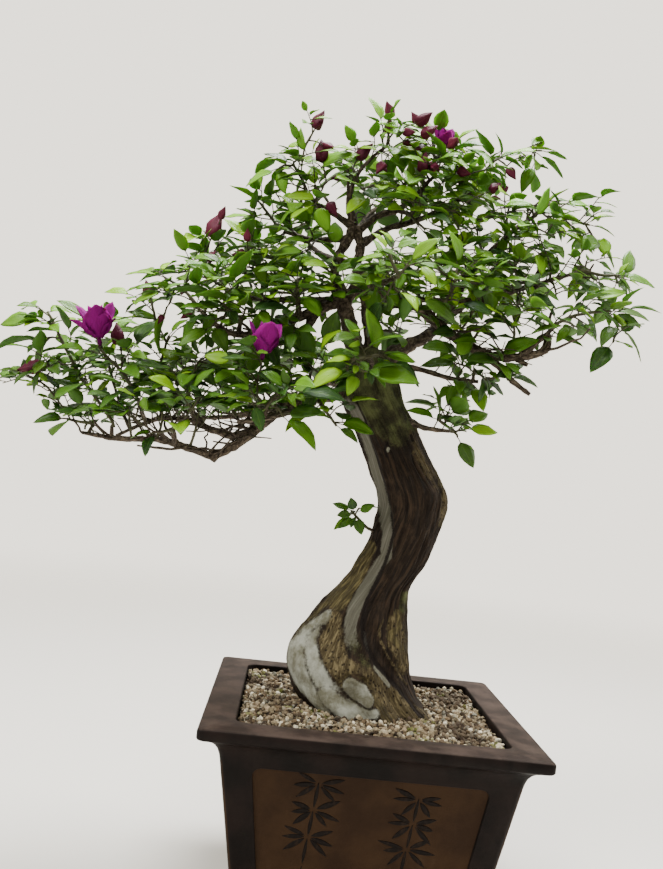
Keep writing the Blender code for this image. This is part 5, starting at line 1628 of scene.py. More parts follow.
    def nearest_stem(self, target: Vector) -> tuple[str, Vector, Vector]:
        """The nearest place on any spray's stems.

        Args:
            target: The point.

        Returns:
            The spray's name, the place and the stem's way there.
        """
        best = None
        for name, stems in self.growth.stems.items():
            for line, _ in stems:
                for step in range(1, 20):
                    point, way, _ = along_points(line, step / 20)
                    distance = (target - point).length
                    if best is None or distance < best[0]:
                        best = (distance, name, point, way)
        return best[1:]


LATE_BUDS = [
    (-258, -38, 598, 10), (-248, -45, 572, 9), (-221, -35, 580, 11), (-210, 30, 694, 12), (-232, -31, 606, 10),
    (-178, 5, 656, 11), (-6, 17, 820, 13), (-24, -6, 792, 9), (-42, 5, 764, 11), (-1, 14, 760, 12),
    (15, 12, 768, 11), (45, 38, 778, 13), (98, 40, 772, 10), (84, 42, 757, 9), (118, 32, 754, 10),
    (-85, -20, 740, 9), (30, 6, 776, 9), (-41, -20, 809, 15), (-14, -22, 806, 17), (-8, -26, 792, 16),
    (-25, -20, 795, 13), (-43, -24, 759, 14), (-2, -30, 752, 17), (9, -26, 762, 15), (36, -22, 762, 14),
    (72, -20, 745, 13), (24, -24, 785, 15), (-174, -28, 660, 11), (-212, -30, 634, 11), (-108, -24, 770, 12),
]
# Leaves of the trunk's own shoot: foot, tip and width.
SHOOT_LEAVES = [
    ((-35, -27, 396), (-40, -33, 410), 11), ((-31, -26, 396), (-15, -31, 406), 10),
    ((-31, -26, 391), (-25, -33, 374), 12),
    ((-33, -27, 392), (-37, -32, 380), 7), ((-36, -27, 394), (-52, -31, 391), 10),
    ((-38, -28, 392), (-54, -31, 376), 8),
]
BARE_BRANCHES = ("leader_left", "leader_right", "low_left_knee", "apex_cut_twig", "right_stub")
# The canopy's underside and top, read across it: (across, lowest, highest).
CANOPY_ROWS = [
    (-440, 478, 580), (-396, 486, 600), (-371, 466, 612), (-325, 455, 606), (-253, 468, 650), (-225, 474, 705),
    (-184, 478, 742), (-139, 484, 800), (-97, 484, 826), (-56, 482, 832), (21, 490, 832), (60, 482, 826),
    (85, 492, 823), (103, 528, 822), (114, 548, 822), (140, 572, 818), (167, 585, 800), (202, 590, 770),
    (254, 596, 735),
    (310, 598, 700),
]
# Places among the branches that need leaves, and the branch whose fine twig carries them.
LONG_TWIGS = [
    ("right_heavy", (60, -28, 716)), ("right_heavy", (92, -20, 730)), ("right_heavy", (110, -30, 690)),
    ("right_heavy", (46, -34, 690)), ("right_heavy", (30, -34, 660)), ("right_heavy", (84, -10, 660)),
    ("right_heavy", (150, 0, 710)), ("right_far", (96, -40, 668)), ("right_far", (130, -34, 690)),
    ("right_far", (150, -30, 640)), ("right_far", (120, -30, 625)), ("right_middle", (70, -60, 640)),
    ("right_middle", (100, -60, 615)), ("right_upper", (20, 10, 750)), ("right_upper", (60, 20, 740)),
    ("right_upper", (-10, -10, 730)), ("mid_left", (-120, -50, 610)), ("mid_left", (-150, -60, 590)),
    ("mid_left", (-175, -60, 610)), ("mid_left", (-90, -40, 640)), ("mid_left_back", (-150, 20, 640)),
    ("mid_left_back", (-120, 30, 650)), ("crown_left", (-110, -10, 660)), ("leader_left", (-95, -30, 610)),
    ("low_left", (-120, -50, 520)), ("low_left", (-200, -60, 480)), ("low_left", (-240, -50, 490)),
    ("low_left", (-160, -60, 500)), ("low_left", (-270, -50, 480)), ("low_left_inner", (-220, -20, 510)),
    ("low_left_back", (-150, 20, 520)), ("apex", (-50, -20, 790)), ("apex_right", (-10, -10, 780)),
    ("apex_right", (20, 0, 780)), ("apex_right", (-20, -30, 745)), ("apex_right", (5, -30, 760)),
    ("right_upper", (25, -20, 715)), ("right_upper", (45, 0, 765)), ("leader_right", (-10, -50, 640)),
    ("mid_left", (-110, -50, 585)), ("mid_left", (-190, -60, 605)), ("mid_left", (-70, -40, 620)),
    ("low_left_inner", (-180, -50, 500)), ("low_left", (-95, -60, 530)), ("leader_right", (8, -30, 612)),
    ("leader_right", (0, 20, 592)), ("right_heavy", (42, 12, 600)), ("right_middle", (66, -10, 596)),
    ("leader_left", (-80, 10, 606)), ("right_heavy", (20, 30, 580)),
]


@dataclass
class Template:
    """A shape that is modelled once: its points, faces and flat map."""

    points: list[Vector]
    faces: list[tuple[int, ...]]
    uvs: list[tuple[float, float]]

    @classmethod
    def taken_from(cls, piece: bpy.types.Object) -> "Template":
        """Takes the shape of a modelled object and removes the object.

        Args:
            piece: The object.

        Returns:
            The template; its flat map is left to the maker.
        """
        points = [vert.co.copy() for vert in piece.data.vertices]
        faces = [tuple(face.vertices) for face in piece.data.polygons]
        mesh = piece.data
        bpy.data.objects.remove(piece)
        bpy.data.meshes.remove(mesh)
        return cls(points, faces, [(0.0, 0.0)] * len(points))


@dataclass
class Draft:
    """Collects copies of shapes into one mesh, each with its own points."""

    points: list = field(default_factory=list)
    faces: list = field(default_factory=list)
    uvs: list = field(default_factory=list)
    tints: list = field(default_factory=list)
    slots: list = field(default_factory=list)

    def add(self, points: list[Vector], faces: list[tuple[int, ...]],
            tints: list[tuple] | tuple = (0.5, 0.0, 0.0), uvs: list[tuple] | None = None,
            slot: int = 0) -> None:
        """Adds one shape.

        Args:
            points: Its points in millimetres.
            faces: Its faces.
            tints: The tint of the whole shape or of each point.
            uvs: The map of each point, if it has one.
            slot: The material's number.
        """
        first = len(self.points)
        self.points += points
        self.tints += tints if isinstance(tints, list) else [tints] * len(points)
        for face in faces:
            self.faces.append(tuple(first + index for index in face))
            self.slots.append(slot)
            self.uvs += [uvs[index] if uvs else (0.0, 0.0) for index in face]

    def add_tube(self, points: list[Vector], radii: list[float], sides: int, tint: tuple = (0.5, 0.0, 0.0),
                 slot: int = 0) -> None:
        """Adds a round tube whose map runs once round it and along it in units of 40 mm.

        Args:
            points: Its middle line.
            radii: Its radii.
            sides: How many sides it has.
            tint: Its tint.
            slot: The material's number.
        """
        verts, faces = tube(points, radii, sides)
        first = len(self.points)
        self.points += verts
        self.tints += [tint] * len(verts)
        reach = [0.0]
        for low, high in zip(points, points[1:]):
            reach.append(reach[-1] + (high - low).length / 40.0)
        for number, face in enumerate(faces):
            self.faces.append(tuple(first + index for index in face))
            self.slots.append(slot)
            ring, step = divmod(number, sides)
            if ring < len(points) - 1:
                self.uvs += [(step / sides, reach[ring]), ((step + 1) / sides, reach[ring]),
                             ((step + 1) / sides, reach[ring + 1]), (step / sides, reach[ring + 1])]
            else:
                self.uvs += [(0.5, reach[-1])] * len(face)

    def piece(self, name: str, finishes: list[bpy.types.Material], middle: Vector) -> bpy.types.Object:
        """Makes the object, smooth, with its place in its mesh.

        Args:
            name: The piece's name.
            finishes: Its materials.
            middle: Where the ground under the pot's centre is, in metres.

        Returns:
            The object.
        """
        mesh = bpy.data.meshes.new(name)
        mesh.from_pydata([tuple(Vector(point) * MM + middle) for point in self.points], [], self.faces)
        layer = mesh.uv_layers.new(name="UVMap")
        layer.data.foreach_set("uv", [number for uv in self.uvs for number in uv])
        tint = mesh.attributes.new("tint", "FLOAT_COLOR", "POINT")
        tint.data.foreach_set("color", [number for value in self.tints for number in (*value, 1.0)])
        mesh.polygons.foreach_set("material_index", self.slots)
        mesh.polygons.foreach_set("use_smooth", [True] * len(self.faces))
        for finish in finishes:
            mesh.materials.append(finish)
        piece = bpy.data.objects.new(name, mesh)
        bpy.context.scene.collection.objects.link(piece)
        return piece


class Workbench:
    """The hand steps that the modelled pieces share."""

    @staticmethod
    def clear() -> None:
        """Leaves edit mode and deselects everything."""
        if bpy.context.object and bpy.context.object.mode != "OBJECT":
            bpy.ops.object.mode_set(mode="OBJECT")
        bpy.ops.object.select_all(action="DESELECT")

    @staticmethod
    def edit(piece: bpy.types.Object) -> bmesh.types.BMesh:
        """Opens a piece in edit mode with nothing selected.

        Args:
            piece: The piece.

        Returns:
            Its edit mesh.
        """
        Workbench.clear()
        piece.select_set(True)
        bpy.context.view_layer.objects.active = piece
        bpy.ops.object.mode_set(mode="EDIT")
        bpy.ops.mesh.select_all(action="DESELECT")
        return bmesh.from_edit_mesh(piece.data)

    @staticmethod
    def settle(piece: bpy.types.Object) -> bpy.types.Object:
        """Leaves edit mode and puts the object's place into its mesh.

        Args:
            piece: The piece.

        Returns:
            The same piece, at the origin.
        """
        bpy.ops.object.mode_set(mode="OBJECT")
        piece.data.transform(piece.matrix_world)
        piece.matrix_world = Matrix.Identity(4)
        return piece

    @staticmethod
    def close(piece: bpy.types.Object) -> bpy.types.Object:
        """Turns every face outward, then settles the piece.

        Args:
            piece: The piece.

        Returns:
            The same piece, at the origin.
        """
        bpy.ops.mesh.select_all(action="SELECT")
        bpy.ops.mesh.normals_make_consistent(inside=False)
        return Workbench.settle(piece)

    @staticmethod
    def apply(piece: bpy.types.Object, kind: str, **settings: object) -> None:
        """Adds a modifier and applies it.

        Args:
            piece: The piece.
            kind: The modifier's type.
            **settings: Its properties.
        """
        Workbench.clear()
        piece.select_set(True)
        bpy.context.view_layer.objects.active = piece
        step = piece.modifiers.new(kind.lower(), kind)
        for name, value in settings.items():
            setattr(step, name, value)
        bpy.ops.object.modifier_apply(modifier=step.name)


@dataclass
class BladeMaker:
    """Models one blade by hand and copies it to every leaf or bract."""

    rows: tuple[float, ...] = (0.0, 0.10, 0.26, 0.46, 0.67, 0.87, 1.0)
    shoulder: float = 0.75
    swell: float = 0.85
    thick: float = 0.55
    template: Template | None = None

    def model(self) -> None:
        """Shapes a grid into a leaf outline, doubles it for the underside and closes the rim."""
        Workbench.clear()
        bpy.ops.mesh.primitive_grid_add(x_subdivisions=4, y_subdivisions=len(self.rows) - 1, size=2.0)
        piece = bpy.context.object
        work = Workbench.edit(piece)
        for vert in work.verts:
            row = round((vert.co.y + 1.0) / 2.0 * (len(self.rows) - 1))
            part = self.rows[row]
            breadth = math.sin(math.pi * part ** self.shoulder) ** self.swell if 0.0 < part < 1.0 else 0.0
            rim = abs(vert.co.x) > 0.99 or breadth == 0.0
            vert.co = Vector((vert.co.x * breadth, part, 0.0 if rim else 0.5))
        bmesh.update_edit_mesh(piece.data)
        bpy.ops.mesh.select_all(action="SELECT")
        bpy.ops.mesh.duplicate()
        for vert in work.verts:
            if vert.select and vert.co.z > 0.0:
                vert.co.z = -0.5
        bpy.ops.mesh.flip_normals()
        bpy.ops.mesh.select_all(action="SELECT")
        bpy.ops.mesh.remove_doubles(threshold=1e-5)
        Workbench.settle(piece)
        self.template = Template.taken_from(piece)
        self.template.uvs = [(0.5 + 0.5 * self.across(point), point.y) for point in self.template.points]

    def across(self, point: Vector) -> float:
        """How far to the side a template point lies, from -1 to 1."""
        part = point.y
        if not 0.0 < part < 1.0:
            return 0.0
        return point.x / math.sin(math.pi * part ** self.shoulder) ** self.swell

    def lay(self, draft: Draft, blade: Blade, rng: random.Random, tone: tuple[float, float], slot: int,
            crinkle: float = 0.5) -> None:
        """Lays one copy along a blade.

        Args:
            draft: The mesh that takes it.
            blade: Where the blade is and how it is shaped.
            rng: The draw.
            tone: The blade's brightness and how young it looks; on leaves both rise with height in the canopy,
                partly as painted light and shade.
            slot: The material's number.
            crinkle: How wavy its margins are, in millimetres.
        """
        phase, curl = rng.uniform(0, math.tau), rng.uniform(-0.5, 1.6)
        waves = rng.uniform(9.0, 14.0)
        points, tints = [], []
        for point in self.template.points:
            off = abs(self.across(point))
            side = 1.0 if point.x > 0 else -1.0
            wave = math.sin(point.y * waves + phase + side * 0.8) * crinkle * off * off
            rise = point.z * self.thick + wave - curl * off ** 3 * blade.width * 0.04
            points.append(blade.place(point.y, point.x * blade.width / 2, rise))
            tints.append((tone[0], 1.0 if point.z < 0 else 0.0 if point.z > 0 else 0.25, tone[1]))
        draft.add(points, self.template.faces, tints, self.template.uvs, slot)

    def stalk(self, draft: Draft, blade: Blade, radius: float, slot: int) -> None:
        """Adds the blade's stalk, which runs into its midrib.

        Args:
            draft: The mesh that takes it.
            blade: The blade.
            radius: The stalk's radius.
            slot: The material's number.
        """
        sag = blade.up * (blade.stalk * 0.05)
        line = [blade.root, blade.root + blade.along * (blade.stalk * 0.5) + sag, blade.place(0.02, 0.0, -0.2),
                blade.place(0.16, 0.0, -0.35)]
        draft.add_tube(line, [radius * 1.25, radius, radius, radius * 0.35], 4, (0.6, 0.0, 0.0), slot)


@dataclass
class Foliage:
    """The leafy sprays: green stems, their leaves, fine side twigs and small leaves."""

    growth: Growth
    middle: Vector
    leaf: BladeMaker = field(default_factory=BladeMaker)
    stem_sides: int = 6

    def build(self) -> list[bpy.types.Object]:
        """Builds a piece for each spray and one for each branch that carries fine twigs.

        Returns:
            The pieces.
        """
        self.leaf.model()
        finishes = [LEAF.material(), GREEN_STEM.material()]
        pieces = []
        names = list(self.growth.stems) + [name for name in self.growth.fine if name not in self.growth.stems]
        for number, name in enumerate(names):
            rng = random.Random(SEED + 900 + number)
            draft = Draft()
            for line, radii in self.growth.stems.get(name, []):
                self.stem(draft, rng, line, radii)
            for line, radii in self.growth.fine.get(name, []):
                self.stem(draft, rng, line, radii)
            for blade in self.growth.leaves.get(name, []) + self.growth.small.get(name, []):
                self.set_leaf(draft, rng, blade)
            for root, tip, width in SHOOT_LEAVES if name == "trunk_shoot" else ():
                self.set_leaf(draft, rng, self.facing(Vector(root), Vector(tip), width))
            own = name in self.growth.stems
            piece = draft.piece(("leafy_" + name) if own else ("twigs_" + name), finishes, self.middle)
            if own:
                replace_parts(piece, "spray_" + name)
            pieces.append(piece)
        return pieces

    @staticmethod
    def facing(root: Vector, tip: Vector, width: float) -> Blade:
        """A leaf between two points whose face looks to the front."""
        along, reach = (tip - root).normalized(), (tip - root).length
        front = Vector((-0.1, -1.0, 0.4))
        up = (front - along * front.dot(along)).normalized()
        return Blade(root, along, up, reach * 0.85, width, reach * 0.15, 0.08, 0.2)

    def stem(self, draft: Draft, rng: random.Random, line: list[Vector], radii: list[float]) -> None:
        """Adds a stem: smooth, slightly swollen at its nodes.

        Args:
            draft: The mesh that takes it.
            rng: The draw.
            line: Its line.
            radii: Its radii.
        """
        points, sizes = Branches.smooth(line, radii, 6.0)
        for index in range(1, len(points) - 1):
            points[index] = points[index] + Vector([rng.uniform(-0.35, 0.35) for _ in range(3)])
            sizes[index] *= rng.choice((0.9, 1.0, 1.0, 1.22))
        draft.add_tube(points, sizes, self.stem_sides if radii[0] > 1.0 else 4, (rng.random(), 0.0, 0.0), 1)

    def set_leaf(self, draft: Draft, rng: random.Random, blade: Blade) -> None:
        """Adds a leaf and its stalk, with painted light and shade by its height in the canopy: high leaves are
        painted brighter and low ones darker.

        Args:
            draft: The mesh that takes it.
            rng: The draw.
            blade: The leaf.
        """
        floor, roof = spaced(CANOPY_ROWS, blade.root.x)
        height = min(max((blade.root.z - floor) / (roof - floor), 0.0), 1.0)
        # Painted light and shade: the tone rises with the leaf's height in the canopy, with a random spread.
        tone = min(max(rng.gauss(0.16 + 0.66 * height ** 1.2, 0.25), 0.0), 1.0)
        small = blade.length < 17.0
        # Young yellow-green leaves are set mostly high up: partly real young growth, partly painted light
        # shining through the top leaves.
        youth_and_painted_backlight = rng.random() ** (1.7 if small else 2.4)
        youth_and_painted_backlight *= 0.95 if rng.random() < 0.12 + 0.70 * height else 0.12
        self.leaf.lay(draft, blade, rng, (tone, youth_and_painted_backlight), 0)
        self.leaf.stalk(draft, blade, 0.42 if small else 0.55, 1)


@dataclass
class Branches:
    """The branches and the woody twigs that carry the sprays."""

    growth: Growth
    middle: Vector
    step: float = 4.0
    slim: float = 0.9
    bare_twigs: tuple = (("low_left", 34), ("low_left_inner", 22), ("low_left_back", 12), ("mid_left", 10),
                         ("right_heavy", 22), ("right_far", 22), ("right_middle", 18), ("leader_right", 5))

    @staticmethod
    def smooth(line: list[Vector], radii: list[float], step: float) -> tuple[list[Vector], list[float]]:
        """Resamples a line through its points by Catmull-Rom.

        Args:
            line: The line.
            radii: Its radii.
            step: About how far apart the new points are.

        Returns:
            The new points and radii.
        """
        points, sizes = [], []
        for index in range(len(line) - 1):
            low, high = line[index], line[index + 1]
            before, after = line[max(index - 1, 0)], line[min(index + 2, len(line) - 1)]
            count = max(2, round((high - low).length / step))
            for number in range(count):
                part = number / count
                points.append(cubic(part, low, (high - before) * 0.5, high, (after - low) * 0.5))
                sizes.append(radii[index] + (radii[index + 1] - radii[index]) * part)
        return points + [line[-1].copy()], sizes + [radii[-1]]

    def build(self) -> bpy.types.Object:
        """Builds all the branches as one piece.

        Returns:
            The piece.
        """
        rng = random.Random(SEED + 31)
        draft = Draft()
        for route in BRANCHES.values():
            self.limb(draft, rng, [Vector(step[:3]) for step in route], [step[3] for step in route], True)
        for points, radii in self.growth.twigs:
            self.limb(draft, rng, list(points), list(radii), False)
        for name, count in self.bare_twigs:
            for _ in range(count):
                self.bare_twig(draft, rng, BRANCHES[name])
        return draft.piece("branches", [BRANCH_BARK.material()], self.middle)

    def bare_twig(self, draft: Draft, rng: random.Random, route: list[tuple]) -> None:
        """Adds a thin bare twig that winds away from a branch.

        Args:
            draft: The mesh that takes it.
            rng: The draw.
            route: The branch's run.
        """
        spot = rng.uniform(0.25, 0.98) * (len(route) - 1)
        low, high = Vector(route[int(spot)][:3]), Vector(route[min(int(spot) + 1, len(route) - 1)][:3])
        point = low.lerp(high, spot % 1.0)
        way = (high - low).normalized() * rng.choice((1.0, 1.0, -0.8))
        way += Vector([rng.gauss(0, 0.3), rng.gauss(-0.1, 0.4), rng.gauss(0.15, 0.2)])
        line, size = [point], rng.uniform(0.9, 2.1)
        for _ in range(rng.randint(4, 9)):
            stray = Vector([rng.gauss(0, 0.35), rng.gauss(0, 0.35), rng.gauss(0.03, 0.25)])
            way = (way.normalized() + stray).normalized()
            spot = line[-1] + way * rng.uniform(6.0, 11.0)
            spot.z = min(max(spot.z, point.z - 3.0), point.z + 30.0)
            line.append(spot)
        radii = [size * (1.0 - 0.6 * index / len(line)) for index in range(len(line))]
        self.limb(draft, rng, line, radii, False)

    def limb(self, draft: Draft, rng: random.Random, line: list[Vector], radii: list[float],
             flared: bool) -> None:
        """Adds one limb, knotted and flared where it leaves thicker wood.

        Args:
            draft: The mesh that takes it.
            rng: The draw.
            line: Its line.
            radii: Its radii.
            flared: Whether its foot is flared.
        """
        points, sizes = self.smooth(line, radii, self.step)
        knot, phase = rng.uniform(14.0, 26.0), rng.uniform(0.0, 14.0)
        run = 0.0
        for index in range(len(points)):
            if index:
                run += (points[index] - points[index - 1]).length
            swell = 1.0 + 0.16 * math.exp(-(((run + phase) % knot - knot / 2) / 2.6) ** 2)
            swell *= 1.0 + (0.35 * math.exp(-run / 16.0) if flared else 0.0)
            sizes[index] *= swell * rng.uniform(0.95, 1.05) * self.slim
            if 0 < index < len(points) - 1:
                points[index] = points[index] + Vector([rng.gauss(0, 0.055) * sizes[index] for _ in range(3)])
        first = len(draft.points)
        sides = 12 if radii[0] > 4.7 else 8
        draft.add_tube(points, sizes, sides, (rng.random(), 0.0, 0.0))
        for index in range(first, len(draft.points)):
            point = draft.points[index]
            middle = points[min((index - first) // sides, len(points) - 1)]
            rough = noise.fractal(point * 0.22, 0.9, 2.0, 3) * 0.16
            draft.points[index] = middle + (point - middle) * (1.0 + rough)


@dataclass
class Buds:
    """The bud clusters: three young bracts folded round each other, modelled once."""

    growth: Growth
    middle: Vector
    sides: int = 12
    rings: int = 9
    template: Template | None = None

    def model(self) -> None:
        """Shapes a ball into a pointed spindle with three keels that turn as they rise."""
        Workbench.clear()
        bpy.ops.mesh.primitive_uv_sphere_add(segments=self.sides, ring_count=self.rings, radius=1.0)
        piece = bpy.context.object
        work = Workbench.edit(piece)
        for vert in work.verts:
            part = (vert.co.z + 1.0) / 2.0
            turn = math.atan2(vert.co.y, vert.co.x)
            keel = 0.70 + 0.30 * math.cos(3.0 * (turn - part * 1.0)) ** 3
            belly = math.sin(math.pi * min(part, 0.999) ** 0.62) ** 0.9 * (1.0 - 0.25 * part)
            reach = max(belly, 0.0) * keel * 0.36 + 0.06 * (1.0 - part)
            if math.hypot(vert.co.x, vert.co.y) < 1e-4:
                reach = 0.0
            vert.co = Vector((math.cos(turn) * reach, math.sin(turn) * reach, part))
        bmesh.update_edit_mesh(piece.data)
        Workbench.close(piece)
        self.template = Template.taken_from(piece)
        self.template.uvs = [((math.atan2(point.y, point.x) * 3.0 / math.tau) % 1.0, point.z)
                             for point in self.template.points]

    def build(self) -> list[bpy.types.Object]:
        """Copies the bud to every place.

        Returns:
            The pieces.
        """
        self.model()
        finish = YOUNG_BRACT.material()
        pieces = []
        late = Draft()
        for name, (end, way, size) in (self.growth.buds | self.growth.late_buds).items():
            rng = random.Random(SEED + len(name) * 7 + round(size * 10 + end.x))
            own = name in self.growth.buds
            draft = Draft() if own else late
            self.lay(draft, rng, end, way, size)
            if own:
                piece = draft.piece("buds_" + name, [finish], self.middle)
                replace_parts(piece, name)
                pieces.append(piece)
        pieces.append(late.piece("late_buds", [finish], self.middle))
        return pieces

    def lay(self, draft: Draft, rng: random.Random, end: Vector, way: Vector, size: float) -> None:
        """Lays one bud.

        Args:
            draft: The mesh that takes it.
            rng: The draw.
            end: The bud's foot.
            way: The way it points.
            size: Its length.
        """
        across = way.orthogonal().normalized()
        up = way.cross(across)
        tone = (rng.uniform(0.1, 0.9), 0.0, rng.random() ** 2 * 0.6)
        size *= 1.3
        points = [end + (across * point.x + up * point.y + way * point.z) * size
                  for point in self.template.points]
        draft.add(points, self.template.faces, tone, self.template.uvs)


@dataclass
class Blooms:
    """The open blooms: two rings of papery bracts round three small tubes."""

    growth: Growth
    middle: Vector
    bract: BladeMaker = field(default_factory=lambda: BladeMaker(
        (0.0, 0.08, 0.20, 0.36, 0.54, 0.72, 0.88, 1.0), 0.66, 0.62, 0.5))

    def build(self) -> list[bpy.types.Object]:
        """Builds each bloom.

        Returns:
            The pieces.
        """
        self.bract.model()
        finishes = [OPEN_BRACT.material(), FLOWER_TUBE.material()]
        pieces = []
        for name, (end, way, size) in self.growth.blooms.items():
            rng = random.Random(SEED + round(size))
            draft = Draft()
            for blade in bloom_blades(end, way, size):
                self.bract.lay(draft, blade, rng, (rng.uniform(0.25, 0.9), rng.random() * 0.35), 0, 1.3)
            for blade in self.inner_bracts(rng, end, way, size):
                self.bract.lay(draft, blade, rng, (rng.uniform(0.1, 0.8), rng.random() * 0.2), 0, 1.1)
            core = [end, end + way * 3.0, end + way * (size * 0.22)]
            draft.add_tube(core, [1.4, 2.4, 1.6], 8, (0.1, 0.0, 0.0), 0)
            self.tubes(draft, rng, end, way, size)
            piece = draft.piece("bracts_" + name, finishes, self.middle)
            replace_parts(piece, name)
            pieces.append(piece)
        return pieces

    def inner_bracts(self, rng: random.Random, end: Vector, way: Vector, size: float) -> list[Blade]:
        """More bracts between the two rings.

        Args:
            rng: The draw.
            end: The bloom's foot.
            way: The way it points.
            size: Its size.

        Returns:
            The bracts.
        """
        across = way.orthogonal().normalized()
        blades = []
        for step in range(6):
            out = across.copy()
            out.rotate(Quaternion(way, math.tau * step / 6 + 0.3 + rng.uniform(-0.2, 0.2)))
            along = (way * rng.uniform(0.9, 2.6) + out).normalized()
            up = (way - along * way.dot(along)).normalized()
            length = size * rng.uniform(0.52, 0.7)
            blades.append(Blade(end + way * rng.uniform(2.0, 4.0), along, up, length,
                                length * rng.uniform(0.7, 0.85), size * 0.1, rng.uniform(-0.15, 0.1), 0.4,
                                rng.uniform(-0.3, 0.3)))
        return blades

    def tubes(self, draft: Draft, rng: random.Random, end: Vector, way: Vector, size: float) -> None:
        """Adds three flower tubes with a flared mouth.

        Args:
            draft: The mesh that takes them.
            rng: The draw.
            end: The bloom's foot.
            way: The way it points.
            size: Its size.
        """
        across = way.orthogonal().normalized()
        for step in range(3):
            out = across.copy()
            out.rotate(Quaternion(way, math.tau * step / 3 + 0.9))
            heading = (way * 2.6 + out * rng.uniform(0.5, 0.8)).normalized()
            foot = end + way * (size * 0.16)
            reach = size * rng.uniform(0.34, 0.42)
            line = [foot + heading * (reach * part) for part in (0.0, 0.3, 0.75, 0.93, 1.0)]
            draft.add_tube(line, [0.7, 1.15, 0.95, 1.3, 2.3], 10, (rng.random(), 0.0, 0.5), 1)


@dataclass(frozen=True)
class Stroke:
    """A run of one zone on the trunk's face, with its own rise: points are (across, height, half width)."""

    zone: Zone | None
    run: list[tuple]
    rise: float = 0.0
    soft: float = 2.5
    behind: bool = False
    fade: tuple[float, float] | None = None


